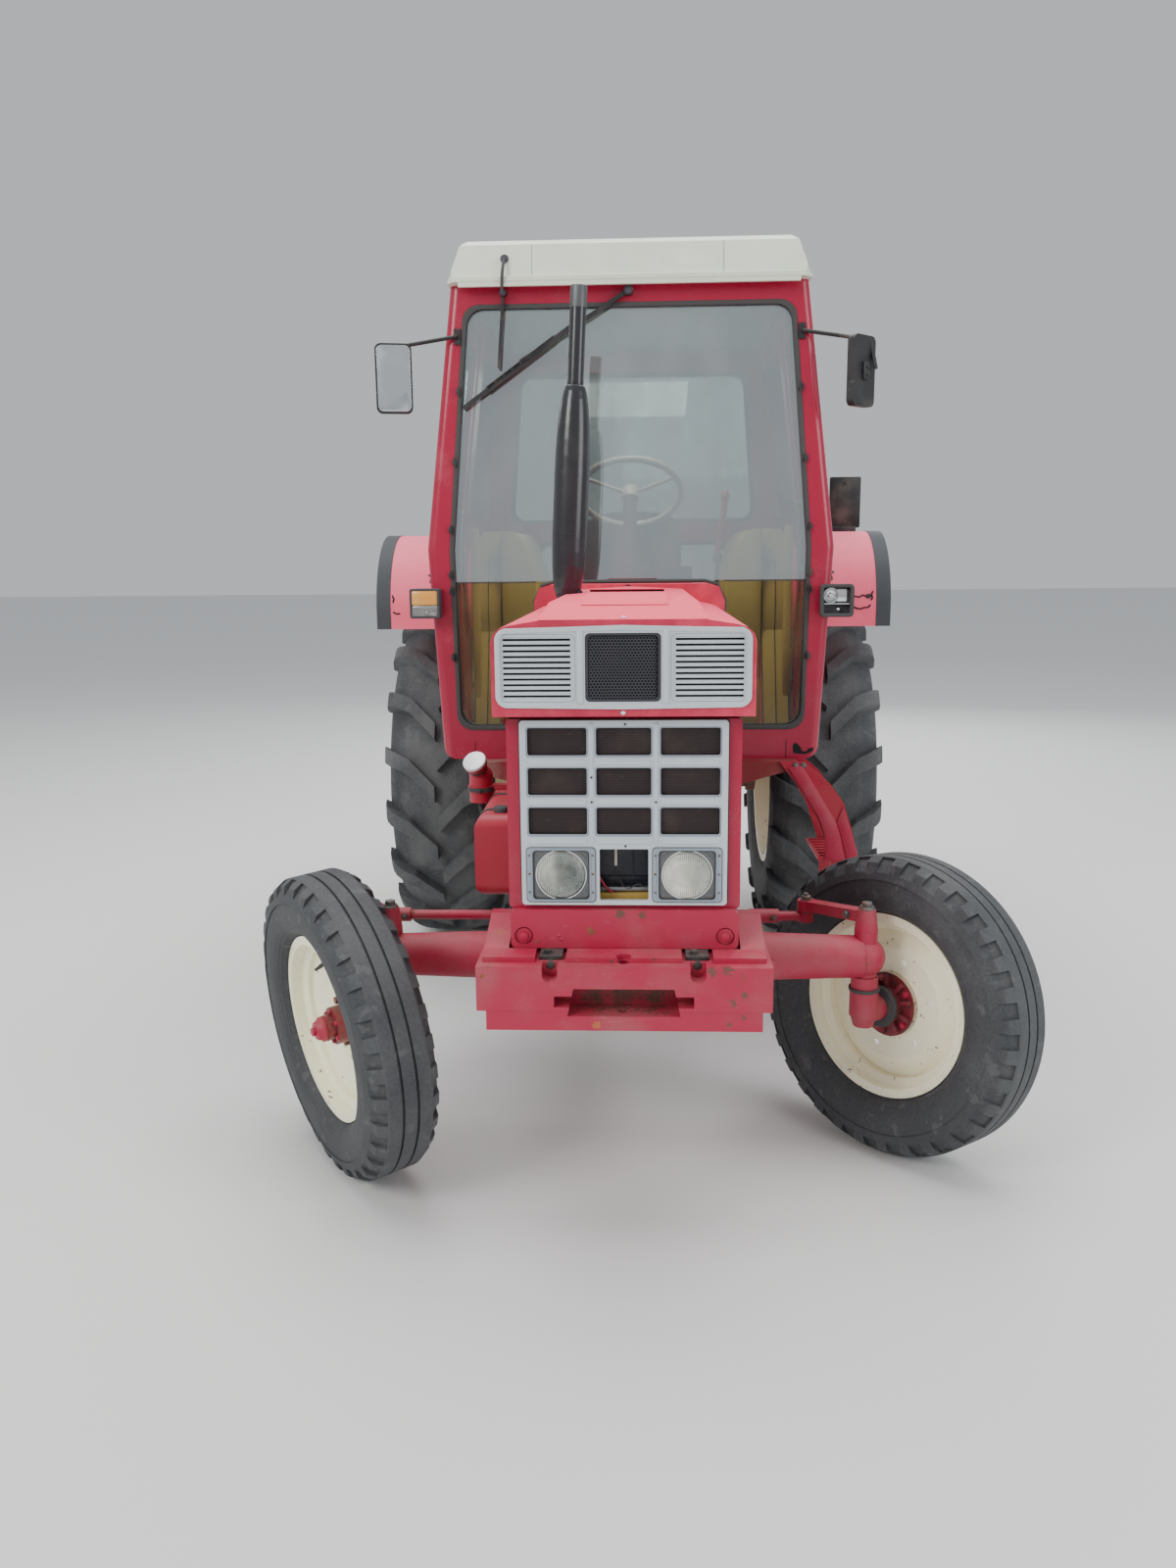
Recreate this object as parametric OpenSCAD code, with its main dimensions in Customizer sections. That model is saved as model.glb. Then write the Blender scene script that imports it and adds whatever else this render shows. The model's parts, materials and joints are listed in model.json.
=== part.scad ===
/* [Stance] */
// Distance between the front and rear axle centres
wheelbase = 2350; // [2250:10:2450]
// Front face of the weight block ahead of the front axle
front_reach = 530; // [510:5:560]
// Lower link ball centres behind the rear axle
rear_reach = 950; // [900:10:1000]
// Steering angle of the left wheel as parked
steer_left = 42.5; // [35:0.5:46]
// Steering angle of the right wheel as parked
steer_right = 35.5; // [30:0.5:40]

/* [Front wheels] */
// Radius over the ribs of a front tyre
front_tyre_r = 455; // [440:1:470]
// Width of a front tyre
front_tyre_w = 206; // [190:2:220]
// Radius of the front rim flange
front_rim_r = 280; // [270:1:288]
// Half width of the flat part of the front tread
front_tread_half = 62; // [55:1:66]
// Depth of the grooves in the front tread
front_groove = 7; // [5:1:12]
// Shoulder blocks round one side of a front tyre
front_blocks = 32; // [24:2:40]
// Lean of the front wheels, top outwards
camber = 5; // [3:0.5:6]
// Wheel centre outboard of the kingpin
front_offset = 160; // [150:2:175]
// Bolt circle radius of the front disc
front_bolt_r = 138; // [128:1:145]

/* [Rear wheels] */
// Radius over the lugs of a rear tyre
rear_tyre_r = 790; // [770:5:810]
// Width of a rear tyre
rear_tyre_w = 480; // [460:5:490]
// Radius of the rear rim flange
rear_rim_r = 455; // [445:1:465]
// Height of the lugs
lug_h = 40; // [30:1:44]
// Width of one lug
lug_w = 52; // [44:1:58]
// Lugs on one side of a rear tyre
lug_count = 18; // [16:1:20]
// Middle of a rear tyre from the centre plane
rear_wheel_x = 837; // [830:1:860]

/* [Front axle] */
// Kingpin axis from the centre plane
kingpin_x = 705; // [690:5:730]
// Diameter of the kingpin
kingpin_d = 40; // [36:1:44]
// Outer diameter of the kingpin housing
kingpin_tube_d = 68; // [62:1:76]
// Top of the kingpin housing
kingpin_top_z = 724; // [715:1:735]
// Bottom of the kingpin housing
kingpin_foot_z = 548; // [535:1:555]
// Centre height of the axle beam
axle_z = 640; // [632:1:648]
// Radius of the axle beam beside the pivot
axle_r_inner = 80; // [74:1:84]
// Radius of the axle beam at the kingpin
axle_r_outer = 62; // [54:1:66]
// Diameter of the axle's pivot pin
pivot_d = 60; // [50:1:66]
// Length of a steering arm between kingpin and ball
steer_arm_l = 240; // [220:5:260]
// Angle of the parked steering arms from straight back
steer_arm_a = 39; // [36:0.5:42]
// Thickness of a steering arm
steer_arm_t = 34; // [28:1:38]
// Diameter of the tie rod
tie_rod_d = 30; // [24:1:36]

/* [Front support] */
// Half width of the front bolster
bolster_half_w = 296; // [285:1:305]
// Underside of the front bolster
bolster_z0 = 803; // [795:1:812]
// Top of the front bolster
bolster_z1 = 907; // [900:1:912]
// Front face of the bolster ahead of the front axle
bolster_front = 420; // [405:5:430]
// Half width of the weight block
weight_half_w = 376; // [360:2:390]
// Top of the weight block's front face
weight_z1 = 790; // [780:1:796]
// Underside of the weight block
weight_z0 = 620; // [605:1:635]
// Notch centres in the weight block from the centre plane
notch_x = 188; // [175:1:200]
// Diameter of the tow pin's hole
tow_pin_d = 30; // [24:1:34]

/* [Radiator front] */
// Half width of the radiator shell
shell_half_w = 300; // [292:1:305]
// Top of the radiator shell
shell_z1 = 1404; // [1395:1:1408]
// Front face of the shell ahead of the front axle
shell_front = 400; // [390:2:410]
// Sheet thickness of shell and bonnet
sheet = 4; // [3:0.5:5]
// Half width of the silver grid
grid_half_w = 265; // [258:1:268]
// Bar width of the silver grid
grid_bar = 16; // [13:1:20]
// Half width of the grid's middle column of openings
grid_mid_half = 74; // [70:1:80]
// Radius of a headlight lens
headlight_r = 64; // [58:1:66]

/* [Bonnet] */
// Half width of the bonnet
bonnet_half_w = 328; // [320:1:334]
// Front of the bonnet ahead of the front axle
bonnet_front = 450; // [440:2:460]
// Lower edge of the bonnet
bonnet_z0 = 1416; // [1412:1:1425]
// Top edge of the bonnet at the sides of the nose
bonnet_z1 = 1640; // [1630:1:1650]
// Height of the bonnet's raised middle over its shoulders
bonnet_rise = 40; // [30:1:50]
// Slots in each louvre of the nose
louvre_slots = 11; // [9:1:12]

/* [Exhaust] */
// Radius of the silencer body
muffler_r = 54; // [48:1:58]
// Radius of the tail pipe
tail_r = 25; // [20:1:30]
// Top of the tail pipe
tail_top_z = 2608; // [2550:5:2650]
// Exhaust axis right of the centre plane where it leaves the bonnet
exhaust_x = 188; // [175:1:200]
// Exhaust axis behind the front axle
exhaust_y = 400; // [380:5:420]

/* [Engine] */
// Front face of the engine block behind the front axle
engine_y0 = 180; // [170:5:200]
// Rear face of the engine block
engine_y1 = 900; // [860:5:920]
// Half width of the cylinder block
engine_half_w = 150; // [140:2:165]
// Radius of the cooling fan
fan_r = 225; // [205:5:235]

/* [Cab] */
// Front face of the cab behind the front axle
cab_y0 = 1030; // [1010:5:1050]
// Rear face of the cab behind the front axle
cab_y1 = 2520; // [2460:10:2560]
// Lower edge of the cab
sill_z = 1060; // [1050:5:1070]
// Height of the widest line of the cab
belt_z = 1840; // [1820:5:1860]
// Top of the cab's walls
eave_z = 2752; // [2720:4:2780]
// Half width of the cab at the sill
sill_half_w = 705; // [695:1:712]
// Half width of the cab at the belt
belt_half_w = 745; // [738:1:752]
// Half width of the cab at the eaves
eave_half_w = 632; // [624:1:640]
// Thickness of walls, posts and doors
wall = 42; // [36:1:48]
// Thickness of the glass
glass_t = 6; // [4:0.5:8]
// Rear edge of the doors behind the front axle
door_y1 = 1640; // [1620:5:1650]
// Gap round a closed door
door_gap = 6; // [5:0.5:8]
// Height of the roof
roof_h = 142; // [120:2:160]
// Overhang of the roof over the walls
roof_lip = 62; // [50:2:70]

/* [Fenders] */
// Front edge of the fenders behind the front axle
fender_y0 = 1700; // [1690:5:1720]
// Top of the fenders
fender_z1 = 1910; // [1900:2:1925]
// Outer edge of the fender sheet
fender_x1 = 1030; // [1020:2:1040]
// Outer edge of the rubber flare
flare_x1 = 1090; // [1080:2:1100]
// Inner wall of the fenders from the centre plane
fender_x0 = 548; // [535:1:556]
// Lower edge of the fender's front face
fender_lip_z = 1512; // [1500:2:1530]

/* [Rear linkage] */
// Radius of the hole in a lower link ball
link_ball_bore_r = 14.4; // [14.2:0.1:14.6]
// Lower link ball centres from the centre plane
link_ball_x = 410; // [400:1:420]
// Height of the lower link balls as parked
link_ball_z = 420; // [400:5:440]
// Outer radius of a ball end
link_eye_r = 42; // [38:1:46]
// Diameter of the power take-off shaft
pto_d = 34.9; // [34.9:0.1:44.5]
// Height of the power take-off shaft
pto_z = 660; // [640:5:680]
// Diameter of the drawbar's pin hole
drawbar_pin_d = 32; // [28:1:34]

/* [Hidden] */
$fn = 64;
// Gap between pieces that seat on each other
seat_gap = 0.3;
// Gap of a shaft in its bore, on the radius
fit_gap = 0.3;
// Cutter overrun that keeps faces from coinciding
eps = 1;

// Front axle line so that the middle of the overall length is at zero
front_axle_y = front_reach - (front_reach + wheelbase + rear_reach + link_eye_r) / 2;
rear_axle_z = rear_tyre_r;
front_wheel_z = front_tyre_r * cos(camber) + front_tread_half * sin(camber);

// Radius of the front spindles and of the rear axle shafts
spindle_r = 25;
axle_shaft_r = 42;
// Bead seats and half widths of the rims
front_seat_r = front_rim_r - 20;
rear_seat_r = rear_rim_r - 26;
front_rim_half_w = 68;
rear_rim_half_w = 205;
// Half length of the axle's centre boss along the pivot
pivot_boss_y = 88;
// Heights on the engine
crank_z = 850;
pump_z = 1130;
block_top_z = 1180;
head_top_z = 1272;
manifold_z = 1232;
manifold_top_z = 1290;
// Top of the pan between the bolster's rails
pan_top_z = bolster_z0 + 46;
// Top of the bolster's side rails
rail_top_z = bolster_z1 - 10;
// Lower edge of the silver grid, and the lamps in it
grid_z0 = bolster_z1 + 12;
lamp_x = 160;
lamp_z = 998;
lamp_half_w = 84;
lamp_half_h = 68;
// Lean of the exhaust towards the middle, and its foot on the manifold
exhaust_lean = 2.9;
exhaust_foot_x = exhaust_x + (bonnet_z1 + 60 - manifold_top_z) * tan(exhaust_lean);
// Bonnet: edge of the raised middle, and the nose opening
bonnet_rib_x = 196;
nose_half_w = 318;
nose_z0 = 1438;
nose_z1 = 1636;
nose_r = 30;
// Rounding of the cab's front posts and of its lower corners
post_r = 34;
sill_r = 56;
// Front face of the cowl
cowl_y0 = cab_y0 - 112;
// Front cab bracket
bracket_y0 = engine_y1 + 60;
// Lower link pivots behind the rear axle, and the parallel lift arms above
link_pivot_y = 70;
link_pivot_z = 540;
link_pin_r = 14;
link_angle = atan2(link_ball_z - link_pivot_z, rear_reach - link_pivot_y);
lift_pivot_y = 90;
lift_pivot_z = 1130;
lift_arm_l = 330;
// Top link pin
top_pivot_z = 1040;
top_pin_r = 12.7;
// Upper face of the drawbar
drawbar_z1 = 440;
// Cowl and cab floor
cowl_half_w = 342;
cowl_top_z = 1712;
arch_foot_y = fender_y0 - 150;
deck_z = 1290;
// Doors
door_z0 = sill_z + 62;
door_z1 = eave_z - 70;
door_foot_y = arch_foot_y - 56;
hinge_zs = [1600, 2300];
// Rear ends of the fenders
fender_y1 = wheelbase + 880;
fender_rear_z = 1330;
// Seat, steering wheel and top link
seat_y = cab_y0 + 1010;
riser_y = seat_y + 10;
wheel_tilt = 36;
wheel_axis = [0, sin(wheel_tilt), cos(wheel_tilt)];
wheel_hub = [0, cab_y0 + 350, 2052];
top_link_a = -14;
link_x0 = 270;
rod_x = 281;
// Ball joint of a steering arm
ball_eye_r = 27;
ball_pin_r = 11;
// Centre height of the tie rod
tie_rod_z = kingpin_top_z - 18;
// Outer end of the rear axle trumpets
trumpet_x1 = 590;

RED = [0.62, 0.08, 0.13];
CREAM = [0.86, 0.83, 0.68];
SILVER = [0.70, 0.72, 0.74];
RUBBER = [0.07, 0.07, 0.08];
IRON = [0.16, 0.15, 0.15];
GLASS = [0.60, 0.70, 0.72, 0.45];
ROOF = [0.80, 0.82, 0.72];
TAN = [0.72, 0.58, 0.26];
AMBER = [0.90, 0.50, 0.10];

// Places children with the front axle line at zero
module from_axle() {
    translate([0, front_axle_y, 0]) children();
}

// Draws children on the left side and mirrored on the right
module both_sides() {
    children();
    mirror([1, 0, 0]) children();
}

// Extrudes an outline drawn in (Y, Z) along X
module along_x(x0, x1) {
    translate([x0, 0, 0]) rotate([90, 0, 90]) linear_extrude(x1 - x0) children();
}

// Extrudes an outline drawn in (X, Z) along Y
module along_y(y0, y1) {
    translate([0, y1, 0]) rotate([90, 0, 0]) linear_extrude(y1 - y0) children();
}

// Box between two corners
module box(low, high) {
    translate(low) cube(high - low);
}

// Rectangle between two corners with round corners
module round_rect(low, high, r) {
    translate([low[0] + r, low[1]]) square([high[0] - low[0] - 2 * r, high[1] - low[1]]);
    translate([low[0], low[1] + r]) square([high[0] - low[0], high[1] - low[1] - 2 * r]);
    for (x = [low[0] + r, high[0] - r], y = [low[1] + r, high[1] - r])
        translate([x, y]) circle(r, $fn = 48);
}

// Cylinder along X
module rod_x(x0, x1, r) {
    translate([x0, 0, 0]) rotate([0, 90, 0]) cylinder(h = x1 - x0, r = r);
}

// Cylinder along Y
module rod_y(y0, y1, r) {
    translate([0, y0, 0]) rotate([-90, 0, 0]) cylinder(h = y1 - y0, r = r);
}

// Cylinder along Y about a point given in (X, Z)
module rod_y_at(at, y0, y1, r) {
    translate([at[0], 0, at[1]]) rod_y(y0, y1, r);
}

// Round bar from one point to another
module bar(a, b, r) {
    d = b - a;
    turn = atan2(d[1], d[0]);
    lean = acos(d[2] / norm(d));
    translate(a) rotate([0, lean, turn]) cylinder(h = norm(d), r = r);
}

// Flat bar between two (X, Z) points
module strip(a, b, w) {
    d = b - a;
    translate(a) rotate(atan2(d[1], d[0])) translate([0, -w / 2]) square([norm(d), w]);
}

// Rounded section of a tyre in (radius, width)
function tyre_section(r0, r1, half_w, power) =
    let (mid = (r0 + r1) / 2, half_h = (r1 - r0) / 2)
    [for (t = [0:12:348]) [
        mid + half_h * sign(cos(t)) * pow(abs(cos(t)), 2 / power),
        half_w * sign(sin(t)) * pow(abs(sin(t)), 2 / power)]];

// Revolves a (radius, width) outline about the X axis
module wheel_turned() {
    rotate([0, 90, 0]) rotate_extrude($fn = 96) children();
}

// Front wheels

// Outboard frame of a front knuckle with the kingpin on its Z axis
module knuckle_frame(side) {
    steer = side > 0 ? steer_left : steer_right;
    from_axle() translate([side * kingpin_x, 0, 0]) rotate([0, 0, steer])
        mirror([side > 0 ? 0 : 1, 0, 0]) children();
}

// Frame of a front wheel with its spin axis along X, outboard positive
module front_wheel_frame(side) {
    knuckle_frame(side) translate([front_offset, 0, front_wheel_z]) rotate([0, camber, 0]) children();
}

module front_tyre() {
    carcass_r = front_tyre_r - front_groove;
    shoulder_x = front_tread_half + 30;
    rib_w = 36;
    rib_pitch = 44;
    notch = [72, 46, 36];
    difference() {
        union() {
            wheel_turned() polygon(tyre_section(front_rim_r - 6, carcass_r, front_tyre_w / 2, 2.9));
            wheel_turned() for (side = [0, 1]) mirror([0, side])
                translate([front_seat_r + seat_gap, 24]) square([40,
                    front_rim_half_w - 10 - seat_gap - 24]);
            wheel_turned() for (x = [-rib_pitch, 0, rib_pitch])
                translate([carcass_r - 25, x - rib_w / 2]) square([front_groove + 25, rib_w]);
            for (side = [-1, 1]) wheel_turned() polygon([
                [carcass_r - 30, side * (front_tread_half - 4)],
                [front_tyre_r, side * (front_tread_half - 4)],
                [front_tyre_r, side * front_tread_half], [carcass_r - 12, side * shoulder_x],
                [carcass_r - 62, side * (front_tyre_w / 2 + 2)], [carcass_r - 62, side * 60]]);
        }
        for (i = [0:front_blocks - 1], side = [-1, 1]) rotate([(i + side / 4) * 360 / front_blocks, 0, 0])
            translate([side * (shoulder_x + 8), 0, front_tyre_r - 22]) rotate([0, side * 46, 0])
            cube(notch, center = true);
    }
}

module front_wheel() {
    hub_r = 56;
    flange_r = 98;
    disc_x = -28;
    half = front_rim_half_w;
    drop = 24;
    difference() {
        union() {
            wheel_turned() polygon([
                [front_rim_r, -half], [front_rim_r, -half + 8], [front_rim_r - 8, -half + 10],
                [front_seat_r, -half + 10], [front_seat_r, -34], [front_seat_r - drop, -24],
                [front_seat_r - drop, 20], [front_seat_r, 30], [front_seat_r, half - 10],
                [front_rim_r - 8, half - 10], [front_rim_r, half - 8], [front_rim_r, half],
                [front_seat_r - 6, half], [front_seat_r - 8, 34], [front_seat_r - drop - 8, 24],
                [front_seat_r - drop - 8, -28], [front_seat_r - 8, -38], [front_seat_r - 6, -half]]);
            wheel_turned() polygon([
                [flange_r - 10, disc_x], [170, disc_x], [front_rim_r - 50, 0], [front_rim_r - 50, 10],
                [166, disc_x + 10], [flange_r - 10, disc_x + 10]]);
            wheel_turned() translate([0, disc_x - 16]) square([flange_r, 26]);
            wheel_turned() translate([0, -70]) square([hub_r, 108]);
            wheel_turned() translate([0, 30]) square([38, 34]);
            for (i = [0:5]) rotate([i * 60 + 15, 0, 0]) translate([0, 0, 74]) rod_x(-24, 4, 11);
            for (i = [0:9]) rotate([i * 36, 0, 0]) translate([-60, -6, 0]) cube([34, 12, flange_r - 8]);
        }
        wheel_turned() translate([0, -71]) square([spindle_r + fit_gap, 116]);
        for (i = [0:5]) rotate([i * 60 + 15, 0, 0]) translate([0, 0, front_bolt_r]) rod_x(-60, 20, 9);
    }
}

module front_tyre_left() { color(RUBBER) front_wheel_frame(1) front_tyre(); }
module front_tyre_right() { color(RUBBER) front_wheel_frame(-1) front_tyre(); }
module front_wheel_left() { color(CREAM) front_wheel_frame(1) front_wheel(); }
module front_wheel_right() { color(CREAM) front_wheel_frame(-1) front_wheel(); }

// Rear wheels

// Frame of a rear wheel with its spin axis along X, outboard positive
module rear_wheel_frame(side) {
    from_axle() mirror([side > 0 ? 0 : 1, 0, 0])
        translate([rear_wheel_x, wheelbase, rear_axle_z]) children();
}

// Bent outline of one lug from the tread's middle to the shoulder in (X, Y)
module lug_outline() {
    half = lug_w * 0.66;
    line = [[6, -112], [118, 4], [rear_tyre_w / 2 + 8, 66]];
    polygon([for (p = line) [p[0], p[1] - half], for (i = [2:-1:0]) [line[i][0], line[i][1] + half]]);
}

module rear_tyre() {
    carcass_r = rear_tyre_r - lug_h;
    bead_r = rear_seat_r + seat_gap;
    wheel_turned() polygon(tyre_section(bead_r, carcass_r, rear_tyre_w / 2 - 12, 3.0));
    wheel_turned() for (side = [0, 1]) mirror([0, side])
        translate([rear_seat_r + seat_gap, 140]) square([50, rear_rim_half_w - 12 - seat_gap - 140]);
    intersection() {
        wheel_turned() polygon(tyre_section(bead_r, rear_tyre_r, rear_tyre_w / 2, 4.2));
        for (i = [0:lug_count - 1], side = [0, 1]) rotate([(i + side / 2) * 360 / lug_count, 0, 0])
            mirror([side, 0, 0]) translate([0, 0, carcass_r - 90])
            linear_extrude(lug_h + 100) lug_outline();
    }
}

module rear_wheel() {
    half = rear_rim_half_w;
    drop = 32;
    disc_x = 60;
    hub_r = 118;
    difference() {
        union() {
            wheel_turned() polygon([
                [rear_rim_r, -half], [rear_rim_r, -half + 10], [rear_rim_r - 8, -half + 12],
                [rear_seat_r, -half + 12],
                [rear_seat_r, -100], [rear_seat_r - drop, -84], [rear_seat_r - drop, 50],
                [rear_seat_r, 70],
                [rear_seat_r, half - 12], [rear_rim_r - 8, half - 12], [rear_rim_r, half - 10],
                [rear_rim_r, half],
                [rear_seat_r - 6, half], [rear_seat_r - 10, 76], [rear_seat_r - drop - 10, 56],
                [rear_seat_r - drop - 10, -90], [rear_seat_r - 10, -106], [rear_seat_r - 6, -half]]);
            wheel_turned() polygon([
                [0, disc_x - 80], [hub_r + 60, disc_x - 80], [rear_rim_r - 130, disc_x - 14],
                [rear_rim_r - 64, disc_x - 14], [rear_rim_r - 64, disc_x - 2],
                [rear_rim_r - 134, disc_x - 2],
                [hub_r + 54, disc_x - 66], [0, disc_x - 66]]);
            wheel_turned() translate([0, disc_x - 110]) square([hub_r, 60]);
            wheel_turned() translate([0, disc_x - 60]) square([58, 56]);
            rod_x(trumpet_x1 - rear_wheel_x - 60, disc_x - 100, axle_shaft_r);
        }
        for (i = [0:7]) rotate([i * 45 + 22.5, 0, 0]) translate([0, 0, rear_rim_r - 100])
            rod_x(disc_x - 40, disc_x + 20, 22);
    }
}

module rear_tyre_left() { color(RUBBER) rear_wheel_frame(1) rear_tyre(); }
module rear_tyre_right() { color(RUBBER) rear_wheel_frame(-1) rear_tyre(); }
module rear_wheel_left() { color(CREAM) rear_wheel_frame(1) rear_wheel(); }
module rear_wheel_right() { color(CREAM) rear_wheel_frame(-1) rear_wheel(); }

// Front axle and steering

// Direction of both parked steering arms seen from above
function arm_tip(side) = [side * kingpin_x - steer_arm_l * sin(steer_arm_a),
    steer_arm_l * cos(steer_arm_a)];

module knuckle(side) {
    axis_z = front_wheel_z + front_offset * tan(camber);
    collar_r = kingpin_tube_d / 2 + 8;
    arm_z = kingpin_top_z + seat_gap;
    boss_h = steer_arm_t + 28;
    tip = arm_tip(side);
    knuckle_frame(side) {
        translate([0, 0, axis_z]) cylinder(h = kingpin_top_z + steer_arm_t - axis_z - 4, d = kingpin_d);
        translate([0, 0, axis_z - 14]) cylinder(h = kingpin_foot_z - seat_gap - axis_z + 14,
            r = collar_r);
        translate([0, 0, axis_z - 46]) cylinder(h = 33, r1 = collar_r - 12, r2 = collar_r - 3);
        translate([0, 0, axis_z]) sphere(collar_r - 2);
        translate([0, 0, axis_z]) rotate([0, camber, 0]) rod_x(0, front_offset + 30, spindle_r);
        translate([0, 0, axis_z]) rotate([0, camber, 0]) rod_x(0, front_offset - 76, 40);
    }
    from_axle() {
        translate([side * kingpin_x, 0, arm_z]) cylinder(h = boss_h,
            r1 = kingpin_tube_d / 2, r2 = kingpin_tube_d / 2 - 8);
        translate([side * kingpin_x, 0, arm_z]) rotate([0, 0, steer_arm_a]) along_x(-21, 21) polygon([
            [0, 24], [steer_arm_l, 4], [steer_arm_l, steer_arm_t], [80, boss_h - 12], [0, boss_h - 3]]);
        translate([tip[0], tip[1], arm_z]) cylinder(h = steer_arm_t, r = ball_eye_r);
        translate([tip[0], tip[1], tie_rod_z - tie_rod_d / 2 - 4])
            cylinder(h = arm_z - tie_rod_z + 30, r = ball_pin_r);
    }
}

module knuckle_left() { color(RED) knuckle(1); }
module knuckle_right() { color(RED) knuckle(-1); }

// Tie rod between the balls of both steering arms, with its clamp sleeves
module tie_rod() {
    left = arm_tip(1);
    right = arm_tip(-1);
    color(RED) from_axle() difference() {
        union() {
            translate([0, left[1], tie_rod_z]) rod_x(right[0], left[0], tie_rod_d / 2);
            for (tip = [left, right], inward = [tip[0] > 0 ? -1 : 1])
                translate([tip[0] + inward * 130, tip[1], tie_rod_z]) rod_x(-45, 45, tie_rod_d / 2 + 7);
            for (tip = [left, right]) translate([tip[0], tip[1], tie_rod_z - 15])
                cylinder(h = 15 + kingpin_top_z - tie_rod_z - 2, r = ball_eye_r - 3);
        }
        for (tip = [left, right]) translate([tip[0], tip[1], 0])
            cylinder(h = 2 * kingpin_top_z, r = ball_pin_r + fit_gap);
    }
}

// Axle beam that tapers outwards and turns down into the kingpin housings
module front_axle() {
    beam_x0 = 110;
    elbow_r = axle_r_outer;
    color(RED) from_axle() difference() {
        union() {
            both_sides() {
                translate([beam_x0 - 40, 0, axle_z]) rotate([0, 90, 0])
                    cylinder(h = kingpin_x - beam_x0 + 30, r1 = axle_r_inner, r2 = elbow_r);
                translate([kingpin_x, 0, kingpin_foot_z])
                    cylinder(h = kingpin_top_z - kingpin_foot_z, d = kingpin_tube_d);
                translate([kingpin_x, 0, axle_z]) sphere(elbow_r - 4);
                translate([kingpin_x, 0, kingpin_foot_z]) cylinder(h = 34, d = kingpin_tube_d + 12);
            }
            box([-beam_x0, -pivot_boss_y, axle_z - axle_r_inner - 6],
                [beam_x0, pivot_boss_y, axle_z + axle_r_inner + 6]);
        }
        translate([0, 0, axle_z]) rod_y(-200, 200, pivot_d / 2 + fit_gap);
        both_sides() translate([kingpin_x, 0, 0]) cylinder(h = 1000, d = kingpin_d + 2 * fit_gap);
    }
}

// Cast front support with the pivot lugs and the pin that carries the axle
module front_bolster() {
    lug_y = pivot_boss_y + seat_gap;
    lug_t = 34;
    rail_y1 = engine_y0 + 260;
    rail_x0 = engine_half_w + seat_gap;
    color(RED) from_axle() {
        difference() {
            along_y(-bolster_front, -bolster_front + 70)
                round_rect([-bolster_half_w, bolster_z0], [bolster_half_w, bolster_z1], 16);
            both_sides() translate([262, 0, bolster_z0 + 34]) rod_y(-bolster_front - eps,
                -bolster_front + 6, 24);
        }
        both_sides() translate([262, 0, bolster_z0 + 34]) rod_y(-bolster_front + 1,
            -bolster_front + 8, 20);
        box([-bolster_half_w + 30, -bolster_front + 60, bolster_z0 + 10],
            [bolster_half_w - 30, engine_y0 - 56, bolster_z0 + 46]);
        both_sides() box([rail_x0, -bolster_front + 60, bolster_z0 + 10],
            [rail_x0 + 36, rail_y1, rail_top_z]);
        for (y = [-lug_y - lug_t, lug_y]) along_y(y, y + lug_t) {
            translate([0, axle_z]) circle(pivot_d / 2 + 34);
            translate([-pivot_d / 2 - 34, axle_z]) square([pivot_d + 68, bolster_z0 + 20 - axle_z]);
        }
        translate([0, 0, axle_z]) rod_y(-lug_y - lug_t - 6, lug_y + lug_t, pivot_d / 2);
    }
}

// Front weight block with its notches, sloped ears and tow slot
module front_weight() {
    front = -front_reach;
    back = -pivot_boss_y - 140;
    step_z = weight_z0 + 52;
    color(RED) from_axle() difference() {
        union() {
            box([-weight_half_w, front, step_z], [weight_half_w, back, weight_z1]);
            box([-weight_half_w + 24, front + 2, weight_z0], [weight_half_w - 24, back, step_z + eps]);
            both_sides() along_x(bolster_half_w + 6, weight_half_w - 10) polygon([
                [front + 60, weight_z1 - eps], [back, weight_z1 - eps], [back, weight_z1 + 62],
                [back - 40, weight_z1 + 62]]);
            both_sides() for (x = [[-eps, notch_x - 40], [notch_x + 40, weight_half_w - 14]])
                box([x[0], front + 34, weight_z1 - eps], [x[1], -bolster_front - 4, weight_z1 + 14]);
            both_sides() along_x(notch_x - 70, notch_x - 36) polygon([
                [-bolster_front + 10, weight_z1 - eps], [back, weight_z1 - eps],
                [back, bolster_z0 + 10 - seat_gap], [-bolster_front + 75, bolster_z0 - seat_gap],
                [-bolster_front + 10, bolster_z0 - seat_gap]]);
        }
        both_sides() {
            translate([notch_x, 0, weight_z1 - 22]) rod_y(front - eps, front + 46, 20);
            box([notch_x - 20, front - eps, weight_z1 - 22], [notch_x + 20, front + 46, weight_z1 + eps]);
        }
        box([-178, front - eps, weight_z0 + 62], [178, front + 60, weight_z0 + 92]);
        along_y(front - eps, front + 90) polygon([
            [-144, weight_z0 + 38], [144, weight_z0 + 38], [128, weight_z0 + 112],
            [-128, weight_z0 + 112]]);
        translate([0, front + 45, weight_z0 - eps]) cylinder(h = weight_z1 - weight_z0 + 2 * eps,
            d = tow_pin_d);
        translate([0, front + 45, weight_z1 - eps]) cylinder(h = 20, d = tow_pin_d + 10);
    }
}

// Engine

// Section of the cylinder block in (X, Z), with the seat gap round it if asked
module block_outline(gap = 0) {
    half = engine_half_w + gap;
    polygon([[-half, 770], [half, 770], [half, 960], [half - 22, block_top_z],
        [-half + 22, block_top_z], [-half, 960]]);
}

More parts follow.
